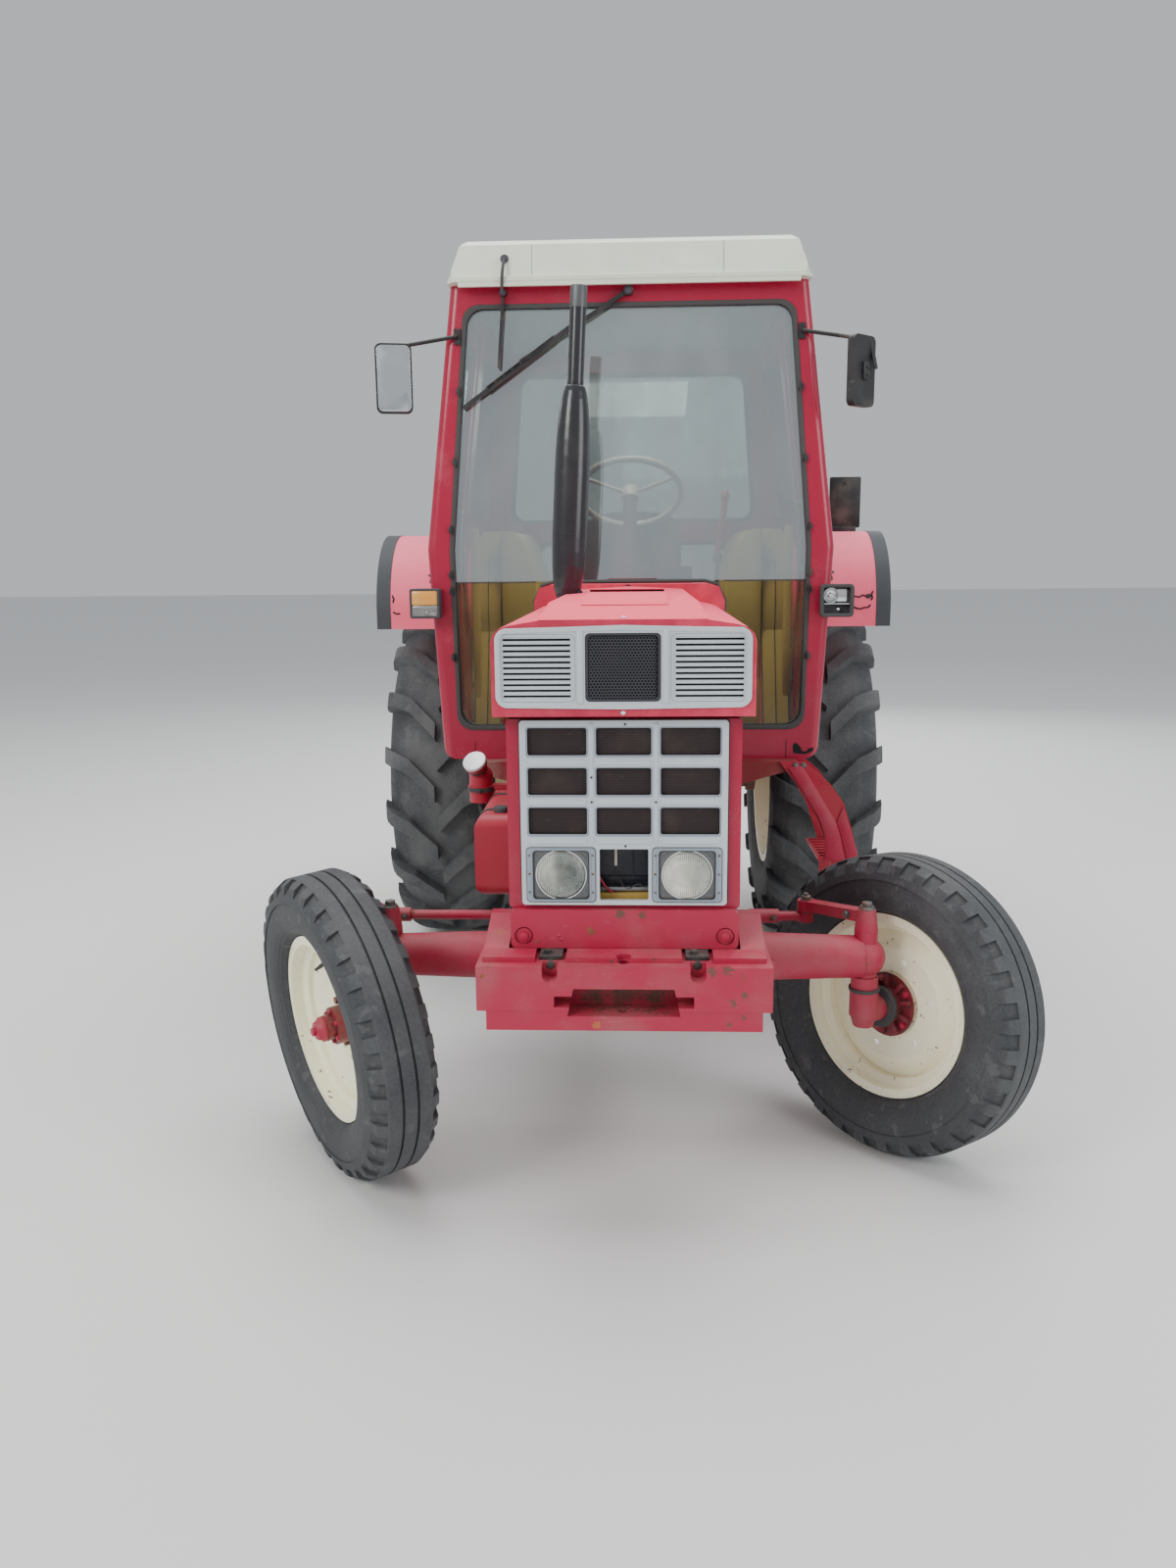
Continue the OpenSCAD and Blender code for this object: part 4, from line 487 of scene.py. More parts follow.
@dataclass(frozen=True)
class PaneGlass(Finish):
    """Window glass that lets most light by, with a film of dust towards its edges, and a painted sky
    reflection above a set height.

    Attributes:
        tint: colour of the film above the seam, where the film is dust plus a painted bluish sky haze.
        film: how much it hides.
        shine: roughness.
        seam: height above which a sky reflection is painted in: the pane mirrors more strongly and takes a
            thicker film there.
        low: colour of the film below the seam.
        gleam: how strongly it mirrors at a slant.
    """

    tint: Colour = (0.36, 0.41, 0.42)
    film: float = 0.16
    shine: float = 0.02
    seam: float = 9.0
    low: Colour = (0.36, 0.41, 0.42)
    gleam: float = 1.3

    def make(self, s: Shader) -> bpy.types.Material:
        """Builds glass from a clear and a mirroring shader, mixed by angle and film, with a painted sky
        reflection above the seam.
        """
        smear = s.step(s.noise(5.0, 6.0, (1.0, 1.0, 0.5)), 0.40, 0.72)
        speck = s.step(s.noise(130.0, 4.0, shift=3.0), 0.66, 0.74)
        # Mask above the seam, where a sky reflection is painted in.
        above = s.step(s.part(s.point(), 2), self.seam, self.seam + 0.006)
        clear = s.node("ShaderNodeBsdfTransparent", None, {"Color": (0.86, 0.90, 0.88)})
        gloss = s.node(
            "ShaderNodeBsdfPrincipled", None,
            {"Base Color": (0.70, 0.80, 0.84), "Metallic": 1.0, "Roughness": self.shine},
        )
        dusty = s.node(
            "ShaderNodeBsdfPrincipled", None,
            {"Base Color": s.mix(above, self.low, self.tint), "Roughness": 0.7}
        )
        sheen = s.node("ShaderNodeFresnel", None, {"IOR": 1.55})
        # The mirroring share rises by 0.41 above the seam: a painted sky reflection.
        pane = s.node(
            "ShaderNodeMixShader", None, {0: sheen * self.gleam + 0.01 + above * 0.41, 1: clear, 2: gloss}
        )
        # Smears and specks are dust; the 0.08 added above the seam is a painted bluish sky haze.
        cover = smear * self.film + speck * 0.10 + above * 0.08
        s.node_output(s.node("ShaderNodeMixShader", None, {0: cover, 1: pane, 2: dusty}))
        return s.material


@dataclass(frozen=True)
class LensGlass(Finish):
    """Moulded lens glass or plastic.

    Attributes:
        tint: its colour.
        shine: roughness.
        clear: how much light it lets through.
        level: how strongly it mirrors.
    """

    tint: Colour = (0.9, 0.92, 0.9)
    shine: float = 0.08
    clear: float = 0.82
    level: float = 0.5

    def make(self, s: Shader) -> bpy.types.Material:
        """Builds clear moulded glass with a little grime."""
        fine = s.noise(60.0, 4.0)
        grime = s.step(fine * 0.6 + s.noise(12.0, 5.0, shift=3.0) * 0.4, 0.50, 0.72)
        return s.principled(
            Base_Color=s.mix(grime * 0.35, self.tint, (0.32, 0.28, 0.22)),
            Roughness=grime * 0.3 + self.shine,
            Transmission_Weight=self.clear,
            IOR=1.45,
            Specular_IOR_Level=self.level,
        )


@dataclass(frozen=True)
class StudioFloor(Finish):
    """Plain pale floor that lightens far away, so that no hard horizon shows."""

    def make(self, s: Shader) -> bpy.types.Material:
        """Builds a matt floor, lighter with distance from the middle."""
        far = s.step(s.vector("LENGTH", s.point(), (0, 0, 0), 1), 3.0, 30.0)
        return s.principled(
            Base_Color=s.mix(far, (0.70, 0.70, 0.69), (0.745, 0.76, 0.775)), Roughness=far * 0.05 + 0.85
        )


@dataclass(frozen=True)
class Mirror(Finish):
    """Mirror glass with a faint film."""

    def make(self, s: Shader) -> bpy.types.Material:
        """Builds a slightly dusty mirror."""
        cloud = s.noise(14.0, 5.0)
        return s.principled(
            Base_Color=s.mix(cloud, (0.78, 0.82, 0.85), (0.62, 0.66, 0.70)),
            Metallic=1.0, Roughness=s.step(cloud, 0.3, 0.8) * 0.25 + 0.06,
        )


RED = OldPaint("red_enamel", (0.40, 0.009, 0.034), (0.50, 0.045, 0.078), 0.5, 0.16, 0.20)
CAB_RED = OldPaint("cab_red_enamel", (0.36, 0.009, 0.042), (0.46, 0.050, 0.092), 0.4, 0.10, 0.08, 0.22)
PINK_RED = OldPaint("faded_red_enamel", (1.0, 0.120, 0.205), (1.0, 0.200, 0.300), 0.95, 0.08, 0.14, 0.46)
BONNET_RED = OldPaint(
    "bonnet_enamel", (0.42, 0.012, 0.048), (1.0, 0.085, 0.155), 0.95, 0.06, 0.10, 0.50, sky=0.90,
)
PATCH_BROWN: Colour = (0.105, 0.062, 0.038)
BARE_ORANGE: Colour = (0.42, 0.13, 0.035)
CAST_RED = OldPaint(
    "cast_red_enamel", (0.40, 0.010, 0.048), (0.49, 0.058, 0.100), 0.5, 0.26, 0.55, 0.44,
    patches=tuple(
        (ahead(x, y, z), radius, shown)
        for x, y, z, radius, shown in (
            (0.224, -0.525, 0.781, 0.010, PATCH_BROWN), (0.258, -0.525, 0.783, 0.011, PATCH_BROWN),
            (0.276, -0.525, 0.696, 0.008, PATCH_BROWN), (0.265, -0.525, 0.640, 0.007, PATCH_BROWN),
            (0.306, -0.525, 0.719, 0.007, PATCH_BROWN), (0.302, -0.525, 0.657, 0.006, PATCH_BROWN),
            (-0.069, -0.525, 0.635, 0.008, BARE_ORANGE), (-0.329, -0.350, 0.807, 0.014, BARE_ORANGE),
            (-0.012, -0.420, 0.896, 0.010, PATCH_BROWN), (0.046, -0.420, 0.893, 0.008, PATCH_BROWN),
            (-0.031, -0.500, 0.796, 0.006, PATCH_BROWN), (0.075, -0.500, 0.802, 0.006, PATCH_BROWN),
            # The last three, larger patches darken the inside of the tow slot to brown.
            (-0.080, -0.465, 0.690, 0.034, PATCH_BROWN), (0.0, -0.465, 0.690, 0.036, PATCH_BROWN),
            (0.080, -0.465, 0.690, 0.034, PATCH_BROWN),
        )
    ),
)
GREASY_RED = OldPaint("greasy_red_enamel", (0.20, 0.012, 0.016), (0.34, 0.05, 0.05), 0.4, 0.75, 0.8, 0.5)
ROOF = OldPaint("roof_shell", (0.66, 0.71, 0.58), (0.80, 0.85, 0.72), 0.9, 0.14, 0.0, 0.42)
SILVER = OldPaint("silver_enamel", (0.56, 0.60, 0.64), (0.70, 0.74, 0.78), 0.7, 0.14, 0.10, 0.34, 0.25)
STOVE_BLACK = OldPaint("stove_black", (0.020, 0.022, 0.026), (0.055, 0.057, 0.062), 0.5, 0.08, 0.22, 0.19)
BLACK_PAINT = OldPaint("black_enamel", (0.014, 0.014, 0.015), (0.05, 0.048, 0.045), 0.5, 0.45, 0.45, 0.45)
IRON = Metal("bare_iron", (0.20, 0.19, 0.18), 0.50, 0.75, 0.7)
SMOKED = Metal("smoked_steel", (0.13, 0.135, 0.14), 0.45, 0.35, 0.7)
STEEL = Metal("bright_steel", (0.55, 0.55, 0.55), 0.28, 0.25)
ZINC = Metal("dull_zinc", (0.42, 0.43, 0.44), 0.42, 0.35, 0.9)
CHROME = Metal("lamp_chrome", (0.82, 0.83, 0.84), 0.08, 0.0)
REFLECTOR = Metal("lamp_reflector", (1.0, 0.98, 0.86), 0.16, 0.0, 0.95)
ALUMINIUM = Metal("cap_aluminium", (0.85, 0.86, 0.87), 0.3, 0.02, 0.35)
COPPER = Metal("cable_clamp", (0.55, 0.34, 0.16), 0.4, 0.2)
BLACK_RUBBER = Plastic("black_rubber", (0.016, 0.016, 0.017), 0.62, 300.0, 0.0003, 0.22)
FLARE_RUBBER = Plastic("flare_rubber", (0.050, 0.056, 0.064), 0.60, 240.0, 0.0003, 0.25, (0.10, 0.108, 0.118))
BLACK_PLASTIC = Plastic("black_plastic", (0.018, 0.018, 0.02), 0.42, 500.0, 0.0002, 0.18)
COMB_BLACK = Plastic("comb_black", (0.046, 0.046, 0.058), 0.40, 500.0, 0.0001, 0.08)
DEEP_BLACK = Plastic("deep_black", (0.005, 0.005, 0.006), 0.8, 300.0, 0.0001, 0.04)
BATTERY_CASE = Plastic("battery_case", (0.012, 0.014, 0.03), 0.40, 350.0, 0.0002, 0.35)
TAN_VINYL = Plastic("tan_vinyl", (0.60, 0.40, 0.085), 0.50, 260.0, 0.0006, 0.10)
SEAT_VINYL = Plastic("seat_vinyl", (0.022, 0.022, 0.024), 0.48, 320.0, 0.0006, 0.30)
PALE_PLASTIC = Plastic("pale_plastic", (0.66, 0.65, 0.58), 0.34, 500.0, 0.0001, 0.15)
RED_PLASTIC = Plastic("red_plastic", (0.60, 0.02, 0.02), 0.34, 500.0, 0.0001, 0.1)
FLOOR_MAT = Plastic("floor_mat", (0.035, 0.034, 0.034), 0.8, 120.0, 0.0012, 0.7)
LAMP_EDGE = OldPaint("lamp_edge", (0.27, 0.32, 0.38), (0.38, 0.43, 0.50), 0.4, 0.20, 0.0, 0.34)
MESH_BROWN = OldPaint("mesh_brown", (0.040, 0.024, 0.024), (0.070, 0.045, 0.044), 0.4, 0.25, 0.1, 0.6)
WINDOW = PaneGlass("window_glass")
# Windscreen: a sky reflection is painted in above 1.719 m, and below it the film is tan, painting the tan
# trim seen through the glass.
SCREEN_GLASS = PaneGlass("windscreen_glass", seam=1.719, low=(0.36, 0.27, 0.10), gleam=0.35)
# Lamp glass and flutes wear a near-white film that paints the lens's bright reflection; the flutes show as
# painted bright lines.
LAMP_GLASS = PaneGlass("lamp_glass", (1.0, 0.97, 0.83), 0.60, 0.04, low=(1.0, 0.98, 0.86))
LAMP_RIB = PaneGlass("lamp_rib", (0.98, 0.97, 0.88), 0.95, 0.04, low=(1.0, 0.99, 0.90))
LAMP_PLATE = Metal("lamp_plate", (0.17, 0.175, 0.18), 0.45, 0.1, 0.5)
CLEAR_LENS = LensGlass("clear_lens")
AMBER_LENS = LensGlass("amber_lens", (0.84, 0.40, 0.004), 0.30, 0.10, 0.2)
RED_LENS = LensGlass("red_lens", (0.55, 0.012, 0.015), 0.14, 0.25)
MIRROR = Mirror("mirror_glass")
FLOOR = StudioFloor("studio_floor")


class Slot(Enum):
    """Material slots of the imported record."""

    RED = "red_paint"
    FADED = "faded_red_paint"
    ROOF = "roof_cream"
    SILVER = "silver_paint"
    DARK = "dark_paint"
    IRON = "cast_iron_grey"
    STEEL = "bright_steel"
    RUBBER = "black_rubber"
    PLASTIC = "black_plastic"
    PALE = "pale_plastic"
    GLASS = "clear_glass"
    AMBER = "amber_lens"
    RED_LENS = "red_lens"
    SEAT = "seat_cover"
    SILENCER = "silencer_black"


class Plane(Enum):
    """Plane that an outline is drawn in, and the axis it is extruded along."""

    XZ = 1
    YZ = 0

    def place(self, point: Sequence[float], depth: float) -> Vector:
        """Returns the outline's point at a depth along the third axis."""
        at = [point[0], point[1]]
        at.insert(self.value, depth)
        return Vector(at)


def hand_of(side: int) -> str:
    """Returns left for 1 and right for -1."""
    return "left" if side > 0 else "right"


def extrude(shape: bmesh.types.BMesh, faces: list[bmesh.types.BMFace], shift: Sequence[float]) -> None:
    """Extrudes faces along a shift."""
    grown = bmesh.ops.extrude_face_region(shape, geom=faces)["geom"]
    bmesh.ops.translate(shape, vec=shift, verts=[v for v in grown if isinstance(v, bmesh.types.BMVert)])


def fill_box(shape: bmesh.types.BMesh, low: Sequence[float], high: Sequence[float]) -> None:
    """Stretches a shape of size 1 so that it fills the box between two corners."""
    bmesh.ops.scale(shape, vec=Vector(high) - Vector(low), verts=shape.verts[:])
    bmesh.ops.translate(shape, vec=(Vector(high) + Vector(low)) / 2, verts=shape.verts[:])


def towards(start: Sequence[float], end: Sequence[float]) -> Matrix:
    """Returns the placement that lays the Z axis from start to end."""
    line = Vector(end) - Vector(start)
    return Matrix.Translation(start) @ line.to_track_quat("Z", "Y").to_matrix().to_4x4()


def tilted(at: Sequence[float], degrees: float, axis: str) -> Matrix:
    """Returns a placement at a point, turned about one axis."""
    return Matrix.Translation(at) @ Matrix.Rotation(math.radians(degrees), 4, axis)


def rounded(points: Sequence[Sequence[float]], radius: float, steps: int = 6) -> list[Vector]:
    """Rounds every corner of a closed outline.

    Args:
        points: the outline's corners.
        radius: radius of each corner.
        steps: pieces of each corner's arc.

    Returns:
        The outline with its arcs.
    """
    ring: list[Vector] = []
    count = len(points)
    for index, point in enumerate(points):
        corner = Vector(point)
        a = (Vector(points[index - 1]) - corner).normalized()
        b = (Vector(points[(index + 1) % count]) - corner).normalized()
        half = a.angle(b) / 2
        centre = corner + (a + b).normalized() * radius / math.sin(half)
        start = corner + a * radius / math.tan(half) - centre
        end = corner + b * radius / math.tan(half) - centre
        for step in range(steps + 1):
            ring.append(centre + start.slerp(end, step / steps) * radius)
    return ring


def rectangle(low: Sequence[float], high: Sequence[float], radius: float = 0.0) -> list[Vector]:
    """Returns a rectangle's outline, with round corners where a radius is given."""
    corners = [(low[0], low[1]), (high[0], low[1]), (high[0], high[1]), (low[0], high[1])]
    return rounded(corners, radius) if radius else [Vector(c) for c in corners]


class Form:
    """A mesh in the making, built up of bmesh shapes."""

    def __init__(self) -> None:
        """Starts with an empty mesh."""
        self.mesh = bmesh.new()

    def take(
        self, shape: bmesh.types.BMesh, place: Matrix | None = None, bevel: float = 0.0, segments: int = 2
    ) -> "Form":
        """Adds a shape, with its sharp edges rounded.

        Args:
            shape: the shape, which is used up.
            place: where it goes.
            bevel: width of the rounding.
            segments: facets across the rounding.

        Returns:
            This form.
        """
        bmesh.ops.remove_doubles(shape, verts=shape.verts[:], dist=WELD)
        bmesh.ops.recalc_face_normals(shape, faces=shape.faces[:])
        if bevel:
            sharp = [e for e in shape.edges if e.is_manifold and e.calc_face_angle(0.0) > SHARP]
            bmesh.ops.bevel(
                shape, geom=sharp, offset=bevel, offset_type="OFFSET", segments=segments, profile=0.5,
                affect="EDGES", material=-1, clamp_overlap=True,
            )
        if place:
            bmesh.ops.transform(shape, matrix=place, verts=shape.verts[:])
            if place.determinant() < 0:
                bmesh.ops.reverse_faces(shape, faces=shape.faces[:])
        scrap = bpy.data.meshes.new("scrap")
        shape.to_mesh(scrap)
        shape.free()
        self.mesh.from_mesh(scrap)
        bpy.data.meshes.remove(scrap)
        return self

    def box(
        self, low: Sequence[float], high: Sequence[float], bevel: float = 0.0, place: Matrix | None = None
    ) -> "Form":
        """Adds a box between two corners."""
        shape = bmesh.new()
        bmesh.ops.create_cube(shape, size=1.0)
        fill_box(shape, low, high)
        return self.take(shape, place, bevel)

    def rod(
        self, start: Sequence[float], end: Sequence[float], radius: float, tip: float | None = None,
        sides: int = 24, bevel: float = 0.0, place: Matrix | None = None,
    ) -> "Form":
        """Adds a round bar or cone between two points.

        Args:
            start: middle of its first end.
            end: middle of its other end.
            radius: radius at the start.
            tip: radius at the end, or the same.
            sides: facets round it.
            bevel: rounding of its ends.
            place: a further placement.

        Returns:
            This form.
        """
        length = (Vector(end) - Vector(start)).length
        shape = bmesh.new()
        bmesh.ops.create_cone(
            shape, cap_ends=True, segments=sides, radius1=radius, radius2=radius if tip is None else tip,
            depth=length,
        )
        bmesh.ops.translate(shape, vec=(0, 0, length / 2), verts=shape.verts[:])
        laid = towards(start, end)
        return self.take(shape, place @ laid if place else laid, bevel)

    def ball(
        self, centre: Sequence[float], radius: float, squash: Point = (1, 1, 1), sides: int = 24
    ) -> "Form":
        """Adds a ball, squashed along the axes."""
        shape = bmesh.new()
        bmesh.ops.create_uvsphere(shape, u_segments=sides, v_segments=sides // 2, radius=radius)
        return self.take(shape, Matrix.Translation(centre) @ Matrix.Diagonal((*squash, 1.0)))

    def turned(
        self, profile: Sequence[tuple[float, float]], place: Matrix, sides: int = 48, bevel: float = 0.0
    ) -> "Form":
        """Spins an outline of (radius, height) points about the Z axis.

        Args:
            profile: the outline; it closes on itself.
            place: where the Z axis goes.
            sides: steps round the axis.
            bevel: rounding of its edges.

        Returns:
            This form.
        """
        shape = bmesh.new()
        ring = [shape.verts.new((radius, 0.0, height)) for radius, height in profile]
        edges = [shape.edges.new((ring[i - 1], ring[i])) for i in range(len(ring))]
        bmesh.ops.spin(
            shape, geom=ring + edges, cent=(0, 0, 0), axis=(0, 0, 1), angle=math.tau, steps=sides,
            use_merge=True
        )
        bmesh.ops.remove_doubles(shape, verts=shape.verts[:], dist=WELD)
        thin = [e for e in shape.edges if not e.link_faces]
        bmesh.ops.delete(shape, geom=thin, context="EDGES")
        return self.take(shape, place, bevel)

    def plate(
        self, outline: Iterable[Sequence[float]], plane: Plane, low: float, high: float, bevel: float = 0.0,
        place: Matrix | None = None,
    ) -> "Form":
        """Extrudes a closed outline between two depths."""
        shape = bmesh.new()
        face = shape.faces.new([shape.verts.new(plane.place(p, low)) for p in outline])
        extrude(shape, [face], plane.place((0.0, 0.0), high - low))
        return self.take(shape, place, bevel)

    def frame(
        self, outer: Sequence[Sequence[float]], inner: Sequence[Sequence[float]], plane: Plane, low: float,
        high: float, bevel: float = 0.0, place: Matrix | None = None,
    ) -> "Form":
        """Extrudes the ring between two outlines of as many points each.

        Args:
            outer: the outer outline.
            inner: the inner outline.
            plane: plane of the outlines.
            low: first depth.
            high: last depth.
            bevel: rounding of its edges.
            place: a further placement.

        Returns:
            This form.
        """
        shape = bmesh.new()
        loops = []
        for outline in (outer, inner):
            ring = [shape.verts.new(plane.place(p, low)) for p in outline]
            loops += [shape.edges.new((ring[i - 1], ring[i])) for i in range(len(ring))]
        faces = bmesh.ops.bridge_loops(shape, edges=loops)["faces"]
        extrude(shape, faces, plane.place((0.0, 0.0), high - low))
        return self.take(shape, place, bevel)

    def tube(
        self, points: Sequence[Sequence[float]], radius: float, closed: bool = False, smooth: bool = True,
        sides: int = 4,
    ) -> "Form":
        """Sweeps a round section along points, through a curve that is made a mesh.

        Args:
            points: the path.
            radius: radius of the section.
            closed: whether the path ends where it starts.
            smooth: whether the path bends softly at its points.
            sides: resolution of the section.

        Returns:
            This form.
        """
        curve = bpy.data.curves.new("scrap", "CURVE")
        curve.dimensions, curve.bevel_depth, curve.bevel_resolution = "3D", radius, sides
        curve.use_fill_caps, curve.resolution_u = True, 8
        line = curve.splines.new("BEZIER")
        line.bezier_points.add(len(points) - 1)
        line.use_cyclic_u = closed
        for knot, point in zip(line.bezier_points, points):
            knot.co = point
            knot.handle_left_type = knot.handle_right_type = "AUTO" if smooth else "VECTOR"
        holder = bpy.data.objects.new("scrap", curve)
        shape = bmesh.new()
        shape.from_mesh(holder.to_mesh())
        holder.to_mesh_clear()
        bpy.data.objects.remove(holder)
        bpy.data.curves.remove(curve)
        return self.take(shape)

    def bolt(
        self, at: Sequence[float], facing: Sequence[float], size: float, place: Matrix | None = None
    ) -> "Form":
        """Adds a hexagon head on its washer.

        Args:
            at: middle of the washer's seat.
            facing: direction the head stands out.
            size: radius over the head's corners.
            place: a further placement.

        Returns:
            This form.
        """
        seat, out = Vector(at), Vector(facing).normalized()
        self.rod(seat, seat + out * size * 0.22, size * 1.25, sides=16, place=place)
        head = seat + out * size * 0.20
        return self.rod(head, head + out * size * 0.72, size, sides=6, bevel=size * 0.1, place=place)

    def done(
        self, name: str, finish: Finish, slot: Slot, body: str = "chassis", angle: float = 35.0
    ) -> bpy.types.Object:
        """Makes the object and declares what it rides on.

        Args:
            name: the piece's name.
            finish: its finish.
            slot: the record's slot of that finish; not used.
            body: the CAD body that carries it.
            angle: edges sharper than this stay sharp, in degrees.

        Returns:
            The object.
        """
        mesh = bpy.data.meshes.new(name)
        self.mesh.to_mesh(mesh)
        self.mesh.free()
        mesh.shade_smooth()
        mesh.set_sharp_from_angle(angle=math.radians(angle))
        made = bpy.data.objects.new(name, mesh)
        bpy.context.scene.collection.objects.link(made)
        mesh.materials.append(finish.material())
        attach(made, body)
        LOG.info("%s: %d faces", name, len(mesh.polygons))
        return made


def dress(finish: Finish, *nodes: str) -> None:
    """Gives CAD nodes a finish."""
    for name in nodes:
        for holder in frame["nodes"][name].material_slots:
            holder.material = finish.material()
        LOG.info("%s wears %s", name, finish.name)


@dataclass(frozen=True)
class Studio:
    """Camera at the photograph's angle, soft lights and a pale floor.

    Attributes:
        eye: place of the camera.
        yaw: turn of its view about the vertical, in radians.
        pitch: how far it looks down, in radians.
        roll: tilt of its horizon, in radians.
        lens: focal length in millimetres on a 36 mm tall sensor.
    """

    eye: Point = (0.0479, -4.7706, 1.8033)
    yaw: float = 0.047
    pitch: float = 0.1888
    roll: float = -0.0096
    lens: float = 27.105

    def camera(self) -> None:
        """Makes the camera and gives it to the scene."""
        forward = Vector((
            -math.sin(self.yaw) * math.cos(self.pitch), math.cos(self.yaw) * math.cos(self.pitch),
            -math.sin(self.pitch),
        ))
        level = Vector((math.cos(self.yaw), math.sin(self.yaw), 0.0))
        rise = level.cross(forward)
        right = level * math.cos(self.roll) + rise * math.sin(self.roll)
        above = rise * math.cos(self.roll) - level * math.sin(self.roll)
        data = bpy.data.cameras.new("camera")
        data.lens, data.sensor_fit, data.sensor_height = self.lens, "VERTICAL", 36.0
        data.clip_end = 200.0
        holder = bpy.data.objects.new("camera", data)
        turned = Matrix((right, above, -forward)).transposed().to_4x4()
        holder.matrix_world = Matrix.Translation(self.eye) @ turned
        bpy.context.scene.collection.objects.link(holder)
        bpy.context.scene.camera = holder

    def lamp(
        self, name: str, at: Point, aim: Point, size: float, power: float, tint: Colour = (1, 1, 1)
    ) -> None:
        """Adds one square soft light."""
        data = bpy.data.lights.new(name, "AREA")
        data.size, data.energy, data.color = size, power, tint
        holder = bpy.data.objects.new(name, data)
        holder.matrix_world = Matrix.Translation(at) @ (
            (Vector(aim) - Vector(at)).to_track_quat("-Z", "Y").to_matrix().to_4x4()
        )
        holder.visible_camera = False
        bpy.context.scene.collection.objects.link(holder)

    def build(self) -> None:
        """Makes the camera, the lights, the sky's light and the floor."""
        self.camera()
        self.lamp("sky_light", (0.0, 0.5, 9.0), (0.0, 0.3, 0.0), 9.0, 900.0)
        self.lamp("key_light", (-6.0, -7.0, 6.0), (0.0, 0.0, 1.2), 4.0, 520.0, (1.0, 0.98, 0.95))
        self.lamp("fill_light", (7.0, -5.0, 3.5), (0.0, 0.0, 1.2), 4.0, 250.0, (0.95, 0.98, 1.0))
        self.lamp("back_light", (2.0, 8.0, 5.0), (0.0, 0.0, 1.4), 5.0, 260.0)
        self.lamp("cab_light", ahead(0.0, 1.35, 2.70), ahead(0.0, 1.70, 1.30), 0.6, 12.0, (1.0, 0.93, 0.80))
        world = bpy.data.worlds.new("studio_air")
        world.use_nodes = True
        world.node_tree.nodes["Background"].inputs["Color"].default_value = (0.86, 0.89, 0.92, 1.0)
        world.node_tree.nodes["Background"].inputs["Strength"].default_value = 0.64
        bpy.context.scene.world = world
        shape = bmesh.new()
        bmesh.ops.create_grid(shape, x_segments=1, y_segments=1, size=60.0)
        mesh = bpy.data.meshes.new("floor")
        shape.to_mesh(mesh)
        shape.free()
        floor = bpy.data.objects.new("floor", mesh)
        bpy.context.scene.collection.objects.link(floor)
        mesh.materials.append(FLOOR.material())


def wheel_place(name: str) -> Matrix:
    """Returns the placement of a wheel with X along its joint's axis, outwards."""
    turn = joint(name)
    out = Vector(turn["axis"]).normalized()
    up = (Vector((0, 0, 1)) - out * out.z).normalized()
    basis = Matrix((out, up.cross(out), up)).transposed().to_4x4()
    return Matrix.Translation(turn["pos_m"]) @ basis


def around(count: int, radius: float, x: float, start: float = 0.0) -> list[Vector]:
    """Returns points spread round the X axis."""
    turns = [start + index * math.tau / count for index in range(count)]
    return [Vector((x, radius * math.sin(t), radius * math.cos(t))) for t in turns]


